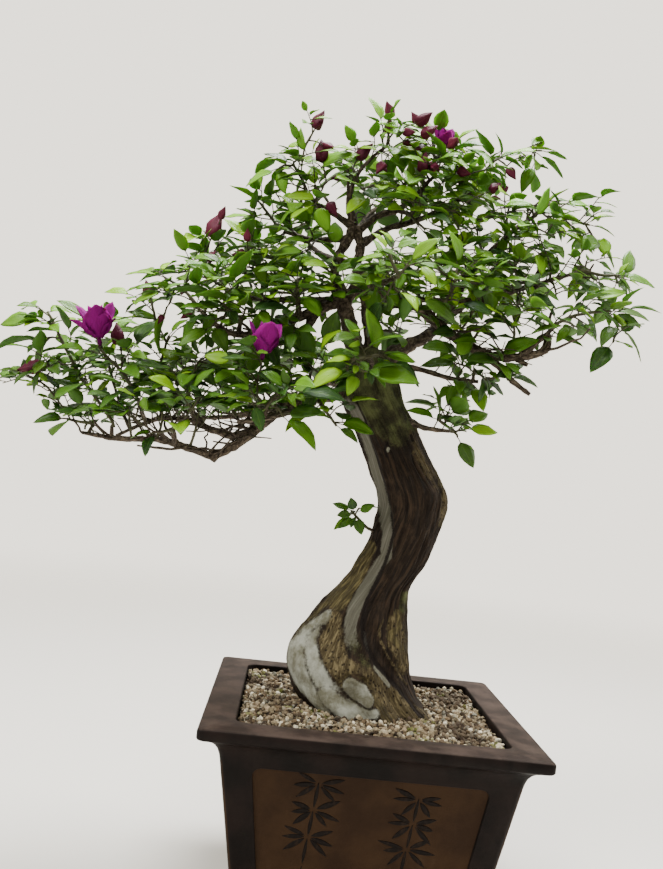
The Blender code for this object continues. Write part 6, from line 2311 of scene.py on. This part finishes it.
STROKES = [
    Stroke(Zone.OLIVE, [(-52, 292, 14), (-52, 262, 24), (-40, 236, 24), (-15, 222, 20), (18, 212, 16),
                        (44, 200, 10)], 0.0, 9.0),
    Stroke(Zone.OLIVE, [(22, 292, 8), (26, 268, 10), (34, 244, 8)], 0.0, 8.0),
    Stroke(Zone.GREEN, [(-62, 550, 24), (-32, 541, 36), (-20, 519, 32), (-10, 500, 24), (2, 482, 12)], 0.0,
           14.0),
    Stroke(Zone.GREEN, [(1, 502, 8), (14, 487, 6)], 0.0, 9.0),
    Stroke(Zone.OLIVE, [(18, 504, 3), (33, 480, 5), (46, 455, 6), (55, 432, 6), (61, 412, 6), (60, 392, 4)],
           1.0, 9.0),
    Stroke(Zone.GREEN, [(28, 316, 4), (27, 302, 5)], 0.0, 5.0),
    Stroke(Zone.OLIVE, [(-13, 362, 6), (-22, 334, 9), (-34, 315, 10), (-44, 301, 10), (-52, 290, 7)], 0.8, 4.0),
    Stroke(Zone.TAN, [(57, 428, 2), (59, 414, 3), (58, 402, 2)], 1.4, 7.0),
    Stroke(Zone.TAN, [(-44, 288, 8), (-46, 265, 12), (-42, 252, 13), (-34, 243, 13), (-19, 242, 9),
                      (-8, 241, 6)], 1.2, 5.0),
    Stroke(Zone.TAN, [(-7, 237, 7), (10, 224, 9), (26, 211, 10), (42, 202, 9), (54, 196, 7)], 2.2, 6.0),
    Stroke(Zone.TAN, [(19, 292, 6), (19, 281, 9), (22, 268, 9), (28, 255, 7), (36, 243, 4)], 1.6, 3.0),
    Stroke(Zone.OLIVE, [(21, 297, 5), (25, 284, 4), (14, 276, 4), (29, 262, 4)], 0.4, 3.0),
    # This tan run near the right edge is partly tan wood and partly a painted highlight where light falls on
    # the edge.
    Stroke(Zone.TAN, [(14, 486, 0), (23, 467, 4), (30, 456, 4), (41, 441, 2), (50, 424, -2)], 1.2, 9.0),
    Stroke(Zone.PALE, [(-49, 290, 4), (-59, 278, 6), (-70, 267, 7), (-77, 253, 9), (-76, 236, 10),
                       (-67, 221, 10), (-55, 211, 9), (-42, 203, 8)], 1.6, 3.5),
    Stroke(Zone.PALE, [(-56, 276, 2), (-63, 264, 5), (-62, 250, 7), (-55, 235, 8), (-45, 222, 9),
                       (-33, 212, 9)], 0.4, 5.0),
    Stroke(Zone.PALE, [(-43, 214, 9), (-29, 206, 9), (-11, 201, 7), (4, 203, 5)], 0.8, 4.5),
    Stroke(Zone.OLIVE, [(-33, 228, 1.0), (-25, 236, 1.2), (-10, 235, 1.2), (3, 223, 0.9)], -1.0, 3.0),
    Stroke(Zone.PALE, [(-21, 226, 8), (-13, 221, 9), (-3, 213, 6)], 2.4, 2.4),
    Stroke(Zone.DEADWOOD, [(-54, 508, 3), (-47, 503, 4.5), (-40, 491, 4.7), (-31, 473, 4), (-22, 453, 3.7),
                           (-15, 435, 4.1), (-8, 418, 4.6), (-3, 400, 5.1), (1, 378, 5.6), (2, 355, 5.6),
                           (-4, 346, 5.6), (-12, 327, 5.9), (-20, 311, 6.2), (-25, 297, 6.6), (-27, 284, 7.0),
                           (-25, 268, 7.4), (-17, 254, 6.6), (-8, 243, 4)], -1.4, 1.8, False, (228, 300)),
    Stroke(Zone.GREEN, [(-24, 306, -6), (-26, 290, 0), (-25, 272, 3), (-17, 256, 4), (-8, 246, 1)], -0.6, 13.0),
    # Painted shade: this crack run is sunk and painted near black.
    Stroke(Zone.CRACK, [(-47, 513, 1), (-34, 493, 1.2), (-26, 474, 1.2), (-17, 454, 1.3), (-8, 432, 1.4),
                        (1, 405, 1.4), (6, 379, 1.5), (5, 365, 1.7), (1, 346, 1.9), (-6, 326, 2.2),
                        (-13, 309, 2.4), (-15, 296, 2.6), (-14, 281, 3.0), (-10, 266, 2.8), (4, 247, 2.6),
                        (25, 228, 2.5), (45, 208, 2.4), (55, 199, 2)], -2.2, 1.8),
    Stroke(None, [(-9, 303, 5), (-6, 281, 5), (4, 262, 5), (22, 241, 5), (39, 222, 5), (51, 206, 4)], -2.0,
           5.0),
    Stroke(Zone.OLIVE, [(-49, 302, 2), (-59, 291, 2.4), (-71, 276, 1.8), (-81, 259, 1.2)], -0.4, 5.0),
    Stroke(Zone.PALE, [(-12, 277, 1.2), (-10, 268, 1.6), (-6, 260, 1)], 0.6, 1.4),
    Stroke(Zone.PALE, [(1, 245, 1.8), (10, 237, 2.8), (17, 227, 2)], 1.0, 1.6),
    Stroke(Zone.TAN, [(6, 291, 0.8), (3, 282, 0.9), (6, 269, 0.9), (14, 256, 0.9), (25, 243, 0.9),
                      (39, 227, 0.8)], 2.0, 1.6),
    Stroke(Zone.PALE, [(-7, 464, 1.8), (-7, 461, 1.2)], -1.0, 1.4),
    # Painted shade: these short cracks are sunk and painted near black.
    Stroke(Zone.CRACK, [(-8, 470, 1.2), (-11, 463, 1.2), (-8, 456, 1.2)], -1.0, 1.4),
    Stroke(Zone.CRACK, [(16, 480, 1.6), (19, 475, 1.4)], -1.6, 1.6),
    Stroke(Zone.CRACK, [(18, 460, 1), (21, 452, 1)], -1.2, 1.5),
    Stroke(Zone.DEADWOOD, [(4, 500, 0.5), (13, 476, 3), (24, 446, 4.6), (28, 416, 3.6), (25, 384, 5),
                           (15, 350, 3.4), (4, 318, 5.4), (-5, 286, 6.4), (-11, 258, 4), (-14, 238, 1)], -1.4,
           2.6, True, (228, 320)),
    Stroke(Zone.OLIVE, [(-30, 304, 5), (-44, 262, 10), (-34, 226, 8)], 0.6, 10.0, True),
    Stroke(Zone.GREEN, [(-30, 540, 16), (-24, 505, 14), (10, 460, 8)], 0.0, 9.0, True),
    Stroke(Zone.TAN, [(18, 300, 3), (24, 262, 8), (32, 224, 7)], 1.0, 9.0, True),
]


@dataclass
class Trunk:
    """The trunk, with its bark in relief and the zones of weathered, mossy and healed wood."""

    middle: Vector
    sides: int = 192
    ring_step: float = 1.5
    foot: float = 180.0
    top: float = 567.0

    def build(self) -> bpy.types.Object:
        """Shapes a tall cylinder into the trunk, point by point, and marks its zones.

        Returns:
            The piece.
        """
        rings = round((self.top - self.foot) / self.ring_step)
        Workbench.clear()
        bpy.ops.mesh.primitive_grid_add(x_subdivisions=self.sides, y_subdivisions=rings, size=2.0)
        piece = bpy.context.object
        piece.name = piece.data.name = "trunk"
        places = [(self.foot + (self.top - self.foot) * (vert.co.y + 1.0) / 2.0, (vert.co.x + 1.0) * math.pi)
                  for vert in piece.data.vertices]
        points = np.array([trunk_point(height, turn) for height, turn in places])
        heights = np.array([height for height, _ in places])
        turns = np.array([turn for _, turn in places])
        zones, rise = self.mark(points, turns)
        rise += self.relief(points, heights, turns, zones)
        rise *= np.clip((self.top + 2.0 - heights) / 14.0, 0.15, 1.0)
        out = np.stack([np.cos(turns), np.sin(turns), np.zeros(len(turns))], axis=1)
        points = (points + out * rise[:, None]) * MM + np.array(self.middle)
        piece.data.vertices.foreach_set("co", points.ravel())
        self.finish_mesh(piece, zones)
        piece.data.materials.append(TRUNK_BARK.material())
        return piece

    def finish_mesh(self, piece: bpy.types.Object, zones: np.ndarray) -> None:
        """Stores the zones and the map, joins the seam and closes the top.

        Args:
            piece: The trunk.
            zones: The zones' strength at each point.
        """
        for index, name in enumerate(("zones_a", "zones_b")):
            layer = piece.data.attributes.new(name, "FLOAT_COLOR", "POINT")
            values = np.ones((len(zones), 4))
            values[:, :3] = zones[:, index * 3:index * 3 + 3]
            layer.data.foreach_set("color", values.ravel())
        work = Workbench.edit(piece)
        bpy.ops.mesh.select_all(action="SELECT")
        bpy.ops.mesh.remove_doubles(threshold=1e-6)
        crown = max(vert.co.z for vert in work.verts)
        bpy.ops.mesh.select_all(action="DESELECT")
        for edge in work.edges:
            edge.select = edge.is_boundary and min(vert.co.z for vert in edge.verts) > crown - 0.0005
        bmesh.update_edit_mesh(piece.data)
        bpy.ops.mesh.extrude_region_move(TRANSFORM_OT_translate={"value": (0.0, 0.0, 0.003)})
        bpy.ops.mesh.merge(type="CENTER")
        bpy.ops.mesh.select_all(action="SELECT")
        bpy.ops.mesh.normals_make_consistent(inside=False)
        bpy.ops.mesh.faces_shade_smooth()
        Workbench.settle(piece)

    def mark(self, points: np.ndarray, turns: np.ndarray) -> tuple[np.ndarray, np.ndarray]:
        """Finds how strongly each stroke covers each point.

        Args:
            points: The trunk's points.
            turns: Their turns.

        Returns:
            The zones' strengths and the strokes' rise.
        """
        zones = np.zeros((len(points), 6))
        rise = np.zeros(len(points))
        front = np.clip(0.5 - np.sin(turns) * 2.2, 0.0, 1.0)
        for stroke in STROKES:
            gap = self.distance(points, stroke.run)
            cover = np.clip(0.5 - gap / (2.0 * stroke.soft), 0.0, 1.0)
            seen = 1.0 - front if stroke.behind else front
            cover *= seen
            if stroke.fade:
                low, high = stroke.fade
                cover *= np.clip((points[:, 2] - low) / (high - low), 0.0, 1.0)
            if stroke.zone is not None:
                others = 1.0 - cover * (0.0 if stroke.zone in (Zone.GREEN, Zone.CRACK) else 0.85)
                zones[:, :4] *= others[:, None]
                column = stroke.zone.value
                zones[:, column] = np.maximum(zones[:, column], cover)
            rise += stroke.rise * cover * cover * (3.0 - 2.0 * cover)
            if stroke.zone is Zone.DEADWOOD:
                rise += 1.5 * np.exp(-((gap - stroke.soft - 1.0) / 2.2) ** 2) * seen
        return zones, rise

    def distance(self, points: np.ndarray, run: list[tuple]) -> np.ndarray:
        """How far each point is outside a stroke, seen from the front.

        Args:
            points: The points.
            run: The stroke's run.

        Returns:
            The distances in millimetres, negative inside.
        """
        best = np.full(len(points), 1e9)
        flat = points[:, [0, 2]]
        for low, high in zip(run, run[1:]):
            start, way = np.array(low[:2], float), np.array(high[:2], float) - np.array(low[:2], float)
            part = np.clip(((flat - start) @ way) / max(way @ way, 1e-9), 0.0, 1.0)
            near = start + part[:, None] * way
            half = low[2] + (high[2] - low[2]) * part
            best = np.minimum(best, np.linalg.norm(flat - near, axis=1) - half)
        return best

    def relief(self, points: np.ndarray, heights: np.ndarray, turns: np.ndarray,
               zones: np.ndarray) -> np.ndarray:
        """Furrows that run up the trunk and lumps, calmer on bare wood.

        Args:
            points: The trunk's points.
            heights: Their heights.
            turns: Their turns.
            zones: The zones' strengths.

        Returns:
            The rise at each point in millimetres.
        """
        found = np.zeros(len(points))
        for index, (point, height, turn) in enumerate(zip(points, heights, turns)):
            drift = turn + (height - 380.0) * 0.0016
            place = Vector((math.cos(drift) * 5.2, math.sin(drift) * 5.2, height * 0.018))
            furrow = 1.0 - abs(noise.noise(place * 1.5)) * 2.6
            fine = noise.noise(Vector((math.cos(drift) * 16.0, math.sin(drift) * 16.0, height * 0.05)))
            lump = noise.noise(Vector(point) * 0.045)
            found[index] = 1.5 * furrow - 1.1 + 0.55 * fine + 1.2 * lump
        bare = np.clip(zones[:, 0] + zones[:, 1], 0.0, 1.0)
        return found * (1.0 - 0.78 * bare)


@dataclass
class ClayPot:
    """The square pot: flat overhanging rim, sloped walls with sunk panels, four corner feet, a drain hole."""

    middle: Vector
    profile: tuple = ((109.0, 6, 0.0), (138.4, 6, 167.0), (139.6, 6, 172.5), (141.4, 6, 177.2),
                      (144.2, 6, 181.2), (148.0, 6, 184.3), (152.6, 5, 186.4), (157.0, 5, 187.6),
                      (159.2, 5, 188.6), (160.0, 5, 190.4), (160.0, 5, 196.6), (159.2, 5, 198.4),
                      (157.4, 5, 199.2), (150.6, 5, 199.3), (149.4, 5, 200.0), (129.2, 13, 200.0),
                      (128.0, 12, 198.8), (127.5, 12, 173.0), (101.6, 12, 26.0))
    wall_top: tuple[float, float] = (139.5, 173.0)
    foot_half: float = 109.0
    slot_half: float = 68.0
    feet_height: float = 14.0
    drain_radius: float = 14.0
    panel_low: float = 45.0
    panel_high: float = 163.0
    panel_post: float = 29.0
    panel_corner: float = 9.0
    panel_depth: float = 2.5
    edge: float = 1.0
    corner_steps: int = 8
    side_steps: int = 7

    def build(self) -> bpy.types.Object:
        """Raises the body ring by ring, cuts the panels, feet and hole, and softens every edge.

        Returns:
            The piece.
        """
        pot = self.body()
        cutters = [self.panel(side) for side in range(4)]
        reach = max(row[0] for row in self.profile) + 10.0
        cutters += [self.block("slot_x", (reach, self.slot_half)),
                    self.block("slot_y", (self.slot_half, reach))]
        Workbench.clear()
        bpy.ops.mesh.primitive_cylinder_add(vertices=48, radius=self.drain_radius * MM, depth=0.04,
                                            location=self.middle + Vector((0, 0, 0.022)))
        cutters.append(Workbench.settle(bpy.context.object))
        for cutter in cutters:
            Workbench.apply(pot, "BOOLEAN", object=cutter, operation="DIFFERENCE", solver="EXACT")
            bpy.data.objects.remove(cutter)
        pot.data.materials.clear()
        for finish in (POT_CLAY.material(), PANEL_CLAY.material()):
            pot.data.materials.append(finish)
        for face in pot.data.polygons:
            face.material_index = int(self.in_panel(face.center, face.normal))
        Workbench.apply(pot, "BEVEL", width=self.edge * MM, segments=3, limit_method="ANGLE", angle_limit=0.6,
                        harden_normals=False)
        bpy.ops.object.shade_smooth_by_angle(angle=0.6)
        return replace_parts(pot, "pot")

    def ring(self, half: float, corner: float, height: float) -> list[Vector]:
        """A square ring with round corners.

        Args:
            half: Half its width.
            corner: Its corners' radius.
            height: Its height.

        Returns:
            Its points in metres, in order round +Z from the right front corner.
        """
        points = []
        for quarter in range(4):
            turn = math.radians(-90 + 90 * quarter)
            angle = turn + math.pi / 4
            centre = Vector((math.cos(angle), math.sin(angle), 0)) * (half - corner) * math.sqrt(2)
            arc = []
            for step in range(self.corner_steps + 1):
                angle = turn + math.pi / 2 * step / self.corner_steps
                arc.append(centre + Vector((math.cos(angle), math.sin(angle), 0)) * corner)
            angle = turn + math.pi / 2
            run = Vector((-math.sin(angle), math.cos(angle), 0)) * 2 * (half - corner)
            arc += [arc[-1] + run * step / (self.side_steps + 1) for step in range(1, self.side_steps + 1)]
            points += arc
        return [(point + Vector((0, 0, height))) * MM + self.middle for point in points]

    def body(self) -> bpy.types.Object:
        """Extrudes a disc up through the pot's profile, over the rim and down to its floor.

        Returns:
            The closed body.
        """
        count = 4 * (self.corner_steps + 1 + self.side_steps)
        Workbench.clear()
        bpy.ops.mesh.primitive_circle_add(vertices=count, radius=0.1, fill_type="NGON")
        piece = bpy.context.object
        piece.name = piece.data.name = "clay_pot"
        work = Workbench.edit(piece)
        bpy.ops.mesh.select_all(action="SELECT")
        order = sorted(work.verts, key=lambda vert: math.atan2(vert.co.y, vert.co.x))
        for vert, place in zip(order, self.in_order(self.profile[0])):
            vert.co = place
        for row in self.profile[1:]:
            bpy.ops.mesh.extrude_region_move(TRANSFORM_OT_translate={"value": (0.0, 0.0, 0.001)})
            work = bmesh.from_edit_mesh(piece.data)
            top = [vert for vert in work.verts if vert.select]
            top.sort(key=lambda vert: math.atan2(vert.co.y - self.middle.y, vert.co.x - self.middle.x))
            for vert, place in zip(top, self.in_order(row)):
                vert.co = place
            bmesh.update_edit_mesh(piece.data)
        return Workbench.close(piece)

    def in_order(self, row: tuple) -> list[Vector]:
        """A profile row's ring, sorted by its points' turn about the middle."""
        return sorted(self.ring(*row), key=lambda p: math.atan2(p.y - self.middle.y, p.x - self.middle.x))

    def wall_half(self, height: float) -> float:
        """Half the width of the outer wall at a height, in millimetres."""
        top, top_height = self.wall_top
        return self.foot_half + (top - self.foot_half) * height / top_height

    def on_wall(self, across: float, height: float, out: float, side: int) -> Vector:
        """A point by a wall.

        Args:
            across: How far from the wall's middle.
            height: Its height.
            out: How far out of the wall, square to it.
            side: The wall, counted from the front.

        Returns:
            The point in metres.
        """
        slope = math.atan2(self.wall_top[0] - self.foot_half, self.wall_top[1])
        outward = Vector((0, -math.cos(slope), -math.sin(slope)))
        point = Vector((across, -self.wall_half(height), height)) + outward * out
        point.rotate(Quaternion(Vector((0, 0, 1)), math.radians(90 * side)))
        return point * MM + self.middle

    def panel(self, side: int) -> bpy.types.Object:
        """The block that sinks one panel: a cube shaped to the panel's outline, its long edges rounded.

        Args:
            side: The wall.

        Returns:
            The cutter.
        """
        Workbench.clear()
        bpy.ops.mesh.primitive_cube_add(size=2.0)
        cutter = bpy.context.object
        work = Workbench.edit(cutter)
        for edge in work.edges:
            edge.select = all(abs(edge.verts[0].co[axis] - edge.verts[1].co[axis]) < 0.1 for axis in (0, 2))
        for vert in work.verts:
            height = self.panel_high if vert.co.z > 0 else self.panel_low
            half = self.wall_half(height) - self.panel_post + (0.0 if vert.co.z > 0 else 4.0)
            vert.co = self.on_wall(vert.co.x * half, height, 6.0 if vert.co.y < 0 else -self.panel_depth, side)
        bmesh.update_edit_mesh(cutter.data)
        bpy.ops.mesh.bevel(offset=self.panel_corner * MM, segments=6, affect="EDGES")
        return Workbench.close(cutter)

    def block(self, name: str, half: tuple[float, float]) -> bpy.types.Object:
        """The block that opens the way between the feet in one direction.

        Args:
            name: Its name.
            half: Its half size along X and Y.

        Returns:
            The cutter.
        """
        Workbench.clear()
        bpy.ops.mesh.primitive_cube_add(size=2.0, location=self.middle)
        cutter = bpy.context.object
        cutter.name = name
        Workbench.edit(cutter)
        bpy.ops.mesh.select_all(action="SELECT")
        bpy.ops.transform.resize(value=(half[0] * MM, half[1] * MM, self.feet_height * MM),
                                 center_override=self.middle)
        return Workbench.settle(cutter)

    def in_panel(self, centre: Vector, normal: Vector) -> bool:
        """Whether a face is the floor of a sunk panel.

        Args:
            centre: The face's middle.
            normal: Its normal.

        Returns:
            True on a panel's floor.
        """
        point = (centre - self.middle) / MM
        height = point.z
        if not self.panel_low < height < self.panel_high or abs(normal.z) > 0.4:
            return False
        reach = max(abs(point.x), abs(point.y))
        ground = self.wall_half(height) - self.panel_depth
        return ground - 1.2 < reach < ground + 1.2


@dataclass
class PanelSprigs:
    """Bamboo sprigs brushed on the front panel, a common ornament of such pots."""

    pot: ClayPot
    middle: Vector
    culms: tuple = (((-56.0, 48.0), (-47.0, 156.0)), ((34.0, 48.0), (45.0, 150.0)))
    stroke: BladeMaker = field(default_factory=lambda: BladeMaker(shoulder=0.9, swell=0.8, thick=0.5))

    def build(self) -> bpy.types.Object:
        """Lays the culms and their leaves as thin raised strokes.

        Returns:
            The piece.
        """
        self.stroke.model()
        rng = random.Random(SEED + 61)
        draft = Draft()
        for low, high in self.culms:
            foot, top = Vector(low), Vector(high)
            for step in range(4):
                start = foot.lerp(top, step / 4 + 0.008)
                self.brush(draft, rng, start, (top - foot).normalized(), (top - foot).length / 4 - 1.6, 3.4)
            for part in (0.50, 0.74, 0.97):
                node = foot.lerp(top, part)
                for turn in (-2.3, -1.75, -1.2, 1.25, 1.8, 2.35):
                    way = Vector((math.sin(turn + rng.uniform(-0.2, 0.2)),
                                  math.cos(turn + rng.uniform(-0.2, 0.2))))
                    self.brush(draft, rng, node + way * 3.0, way, rng.uniform(17.0, 27.0),
                               rng.uniform(4.2, 5.8))
        return draft.piece("panel_sprigs", [SLIP_INK.material()], self.middle)

    def brush(self, draft: Draft, rng: random.Random, start: Vector, way: Vector, length: float,
              width: float) -> None:
        """Lays one stroke on the panel's floor.

        Args:
            draft: The mesh that takes it.
            rng: The draw.
            start: Its start on the panel: across and height.
            way: Its way on the panel.
            length: Its length.
            width: Its width.
        """
        out = -self.pot.panel_depth + 0.12
        root = (self.pot.on_wall(start.x, start.y, out, 0) - self.middle) / MM
        end = (self.pot.on_wall(start.x + way.x, start.y + way.y, out, 0) - self.middle) / MM
        normal = (self.pot.on_wall(start.x, start.y, out + 1.0, 0) - self.middle) / MM - root
        blade = Blade(root, (end - root).normalized(), normal.normalized(), length, width, 0.0, 0.0, 0.0)
        self.stroke.lay(draft, blade, rng, (0.5, 0.0), 0, 0.0)


@dataclass
class GritBed:
    """The bed of coarse grit: a low mound and the loose grains on it."""

    middle: Vector
    half: float = 127.0
    edge_height: float = 191.0
    crown_height: float = 194.5
    spacing: float = 4.5
    loose: int = 1500
    kinds: int = 6
    grain: tuple[float, float] = (1.9, 3.8)

    def height(self, x: float, y: float) -> float:
        """The mound's height at a place, in millimetres.

        Args:
            x: Across.
            y: Away.

        Returns:
            The height.
        """
        off = min(max(abs(x), abs(y)) / self.half, 1.0)
        rough = noise.noise(Vector((x * 0.045, y * 0.045, 3.0))) * 1.5
        return self.edge_height + (self.crown_height - self.edge_height) * (1.0 - off ** 3) + rough

    def build(self) -> list[bpy.types.Object]:
        """Builds the bed and its grains.

        Returns:
            The pieces.
        """
        finish = GRIT.material()
        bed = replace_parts(self.bed(finish), "soil")
        return [bed, self.grains(finish)]

    def bed(self, finish: bpy.types.Material) -> bpy.types.Object:
        """Shapes a grid into the mound, closes it below and colours it near black as painted shade in the gaps
        between the grains.

        Args:
            finish: Its material.

        Returns:
            The piece.
        """
        Workbench.clear()
        bpy.ops.mesh.primitive_grid_add(x_subdivisions=72, y_subdivisions=72, size=2.0)
        piece = bpy.context.object
        piece.name = piece.data.name = "grit_bed"
        work = Workbench.edit(piece)
        for vert in work.verts:
            x, y = vert.co.x * self.half, vert.co.y * self.half
            over = max(abs(vert.co.x) + abs(vert.co.y) - 1.94, 0.0) * 0.5
            x -= math.copysign(over * self.half, x)
            y -= math.copysign(over * self.half, y)
            vert.co = Vector((x, y, self.height(x, y) - 1.0)) * MM + self.middle
        bmesh.update_edit_mesh(piece.data)
        bpy.ops.mesh.select_all(action="SELECT")
        bpy.ops.mesh.extrude_region_move(TRANSFORM_OT_translate={"value": (0.0, 0.0, -0.016)})
        Workbench.close(piece)
        # Painted shade: the bed takes the near-black grit colour, standing for the shade in the gaps between
        # the grains.
        tint = piece.data.attributes.new("tint", "FLOAT_COLOR", "POINT")
        tint.data.foreach_set("color", [0.88, 0.1, 0.0, 1.0] * len(piece.data.vertices))
        piece.data.materials.append(finish)
        return piece

    def model_grain(self, seed: int) -> Template:
        """Models one kind of grain: a ball of twenty faces pushed out of round.

        Args:
            seed: Its draw.

        Returns:
            The grain.
        """
        Workbench.clear()
        bpy.ops.mesh.primitive_ico_sphere_add(subdivisions=1, radius=1.0)
        piece = bpy.context.object
        Workbench.edit(piece)
        bpy.ops.mesh.select_all(action="SELECT")
        bpy.ops.transform.vertex_random(offset=0.42, seed=seed)
        bpy.ops.transform.resize(value=(1.0, 0.85, 0.72), center_override=(0.0, 0.0, 0.0))
        Workbench.settle(piece)
        return Template.taken_from(piece)

    def grains(self, finish: bpy.types.Material) -> bpy.types.Object:
        """Strews the grains: one close layer and some loose ones on it.

        Args:
            finish: Their material.

        Returns:
            The piece.
        """
        rng = random.Random(SEED + 71)
        kinds = [self.model_grain(seed) for seed in range(self.kinds)]
        draft = Draft()
        count = round(2 * self.half / self.spacing)
        places = [((column + rng.uniform(0.1, 0.9)) * self.spacing - self.half,
                   (row + rng.uniform(0.1, 0.9)) * self.spacing - self.half, 0.4)
                  for row in range(count) for column in range(count)]
        places += [(rng.uniform(-self.half, self.half), rng.uniform(-self.half, self.half), 2.6)
                   for _ in range(self.loose)]
        for x, y, lift in places:
            outside = max(abs(x), abs(y)) > self.half - 1.5 or abs(x) + abs(y) > 1.93 * self.half
            if outside or self.under_trunk(x, y):
                continue
            size = rng.triangular(*self.grain, 2.5)
            axis = Vector((rng.gauss(0, 1), rng.gauss(0, 1), rng.gauss(0, 1)))
            turn = Quaternion(axis.normalized(), rng.uniform(0, 6.2))
            place = Vector((x, y, self.height(x, y) + lift + rng.uniform(-0.5, 0.9)))
            moss = 0.75 if noise.noise(Vector((x * 0.03, y * 0.03, 9.0))) > 0.38 and rng.random() < 0.5 else 0.0
            grain = rng.choice(kinds)
            draft.add([place + turn @ (point * size) for point in grain.points], grain.faces,
                      (rng.random(), rng.random(), moss))
        piece = draft.piece("grit_grains", [finish], self.middle)
        piece.data.polygons.foreach_set("use_smooth", [False] * len(piece.data.polygons))
        return piece

    def under_trunk(self, x: float, y: float) -> bool:
        """Whether a place is inside the trunk's foot."""
        edge = trunk_point(194.0, math.atan2(y, x))
        return math.hypot(x, y) < math.hypot(edge.x, edge.y) - 1.5


@dataclass
class Studio:
    """The pale ground, the soft light and the camera at the photograph's angle."""

    middle: Vector
    stand: tuple[float, float, float] = (-0.102, -1.000, 0.4347)
    right: tuple[float, float, float] = (0.9932, -0.0406, 0.1095)
    up: tuple[float, float, float] = (-0.1109, -0.0341, 0.9932)
    forward: tuple[float, float, float] = (0.0366, 0.9986, 0.0384)
    focal_pixels: float = 950.0
    sensor: float = 36.0
    sky_light: float = 0.82
    sky_seen: float = 2.50

    def build(self) -> None:
        """Sets up the ground, the sky, the lamps and the camera."""
        self.ground()
        self.sky()
        self.lamp("window_light", (-1.5, -1.2, 2.5), 1.1, 100.0, (1.0, 0.985, 0.95))
        self.lamp("roof_light", (0.2, 0.5, 2.7), 1.3, 190.0, (0.99, 1.0, 1.0))
        self.lamp("right_light", (2.2, 0.3, 1.6), 1.2, 34.0, (1.0, 0.98, 0.94))
        self.camera()

    def ground(self) -> None:
        """Lays the ground."""
        Workbench.clear()
        bpy.ops.mesh.primitive_grid_add(x_subdivisions=8, y_subdivisions=8, size=40.0)
        floor = bpy.context.object
        floor.name = "ground"
        floor.data.materials.append(GROUND.material())

    def sky(self) -> None:
        """Fills the surroundings with soft pale light, a little dimmer than the pale wall that shows."""
        world = bpy.data.worlds.new("soft_surroundings")
        world.use_nodes = True
        work = ShaderTree(world.node_tree)
        seen = work.add("LightPath").outputs["Is Camera Ray"]
        back = world.node_tree.nodes["Background"]
        back.inputs["Color"].default_value = (0.93, 0.872, 0.76, 1.0)
        work.feed(back.inputs["Strength"], work.ease(seen, 0.0, 1.0, self.sky_light, self.sky_seen))
        bpy.context.scene.world = world

    def lamp(self, name: str, place: tuple, size: float, power: float, colour: tuple) -> None:
        """Hangs a square soft lamp that looks at the tree.

        Args:
            name: Its name.
            place: Its place.
            size: Its width.
            power: Its power in watts.
            colour: Its colour.
        """
        light = bpy.data.lights.new(name, "AREA")
        light.size, light.energy, light.color = size, power, colour
        lamp = bpy.data.objects.new(name, light)
        lamp.location = self.middle + Vector(place)
        lamp.rotation_euler = (Vector((0.0, 0.0, 0.45)) - Vector(place)).to_track_quat("-Z", "Y").to_euler()
        bpy.context.scene.collection.objects.link(lamp)

    def camera(self) -> None:
        """Stands the camera where the photograph was taken from."""
        lens = bpy.data.cameras.new("photo_camera")
        lens.sensor_width = self.sensor
        lens.lens = self.focal_pixels * self.sensor / PHOTO_SIZE[1]
        lens.clip_start, lens.clip_end = 0.01, 100.0
        camera = bpy.data.objects.new("photo_camera", lens)
        columns = Matrix((self.right, self.up, tuple(-value for value in self.forward))).transposed()
        camera.matrix_world = Matrix.Translation(self.middle + Vector(self.stand)) @ columns.to_4x4()
        bpy.context.scene.collection.objects.link(camera)
        bpy.context.scene.camera = camera


def main() -> None:
    """Builds the sub-assemblies in order and reports each piece."""
    logging.basicConfig(level=logging.INFO, format="%(name)s: %(message)s")
    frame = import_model()
    body = next(iter(frame["bodies"]))
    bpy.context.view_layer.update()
    low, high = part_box("pot")
    middle = Vector(((low.x + high.x) / 2, (low.y + high.y) / 2, low.z))
    growth = Growth().run()
    pot = ClayPot(middle)
    sets = {"pot": [pot.build(), PanelSprigs(pot, middle).build()], "soil": GritBed(middle).build()}
    wood = [Trunk(middle).build(), Branches(growth, middle).build()]
    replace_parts(wood[0], "wood")
    sets["wood"] = wood
    sets["leaves"] = Foliage(growth, middle).build()
    sets["bracts_young"] = Buds(growth, middle).build()
    sets["bracts_open"] = Blooms(growth, middle).build()
    for slot, pieces in sets.items():
        for piece in pieces:
            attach(piece, body)
            LOG.info("%s: %d faces", piece.name, len(piece.data.polygons))
    Studio(middle).build()


if __name__ == "__main__":
    main()
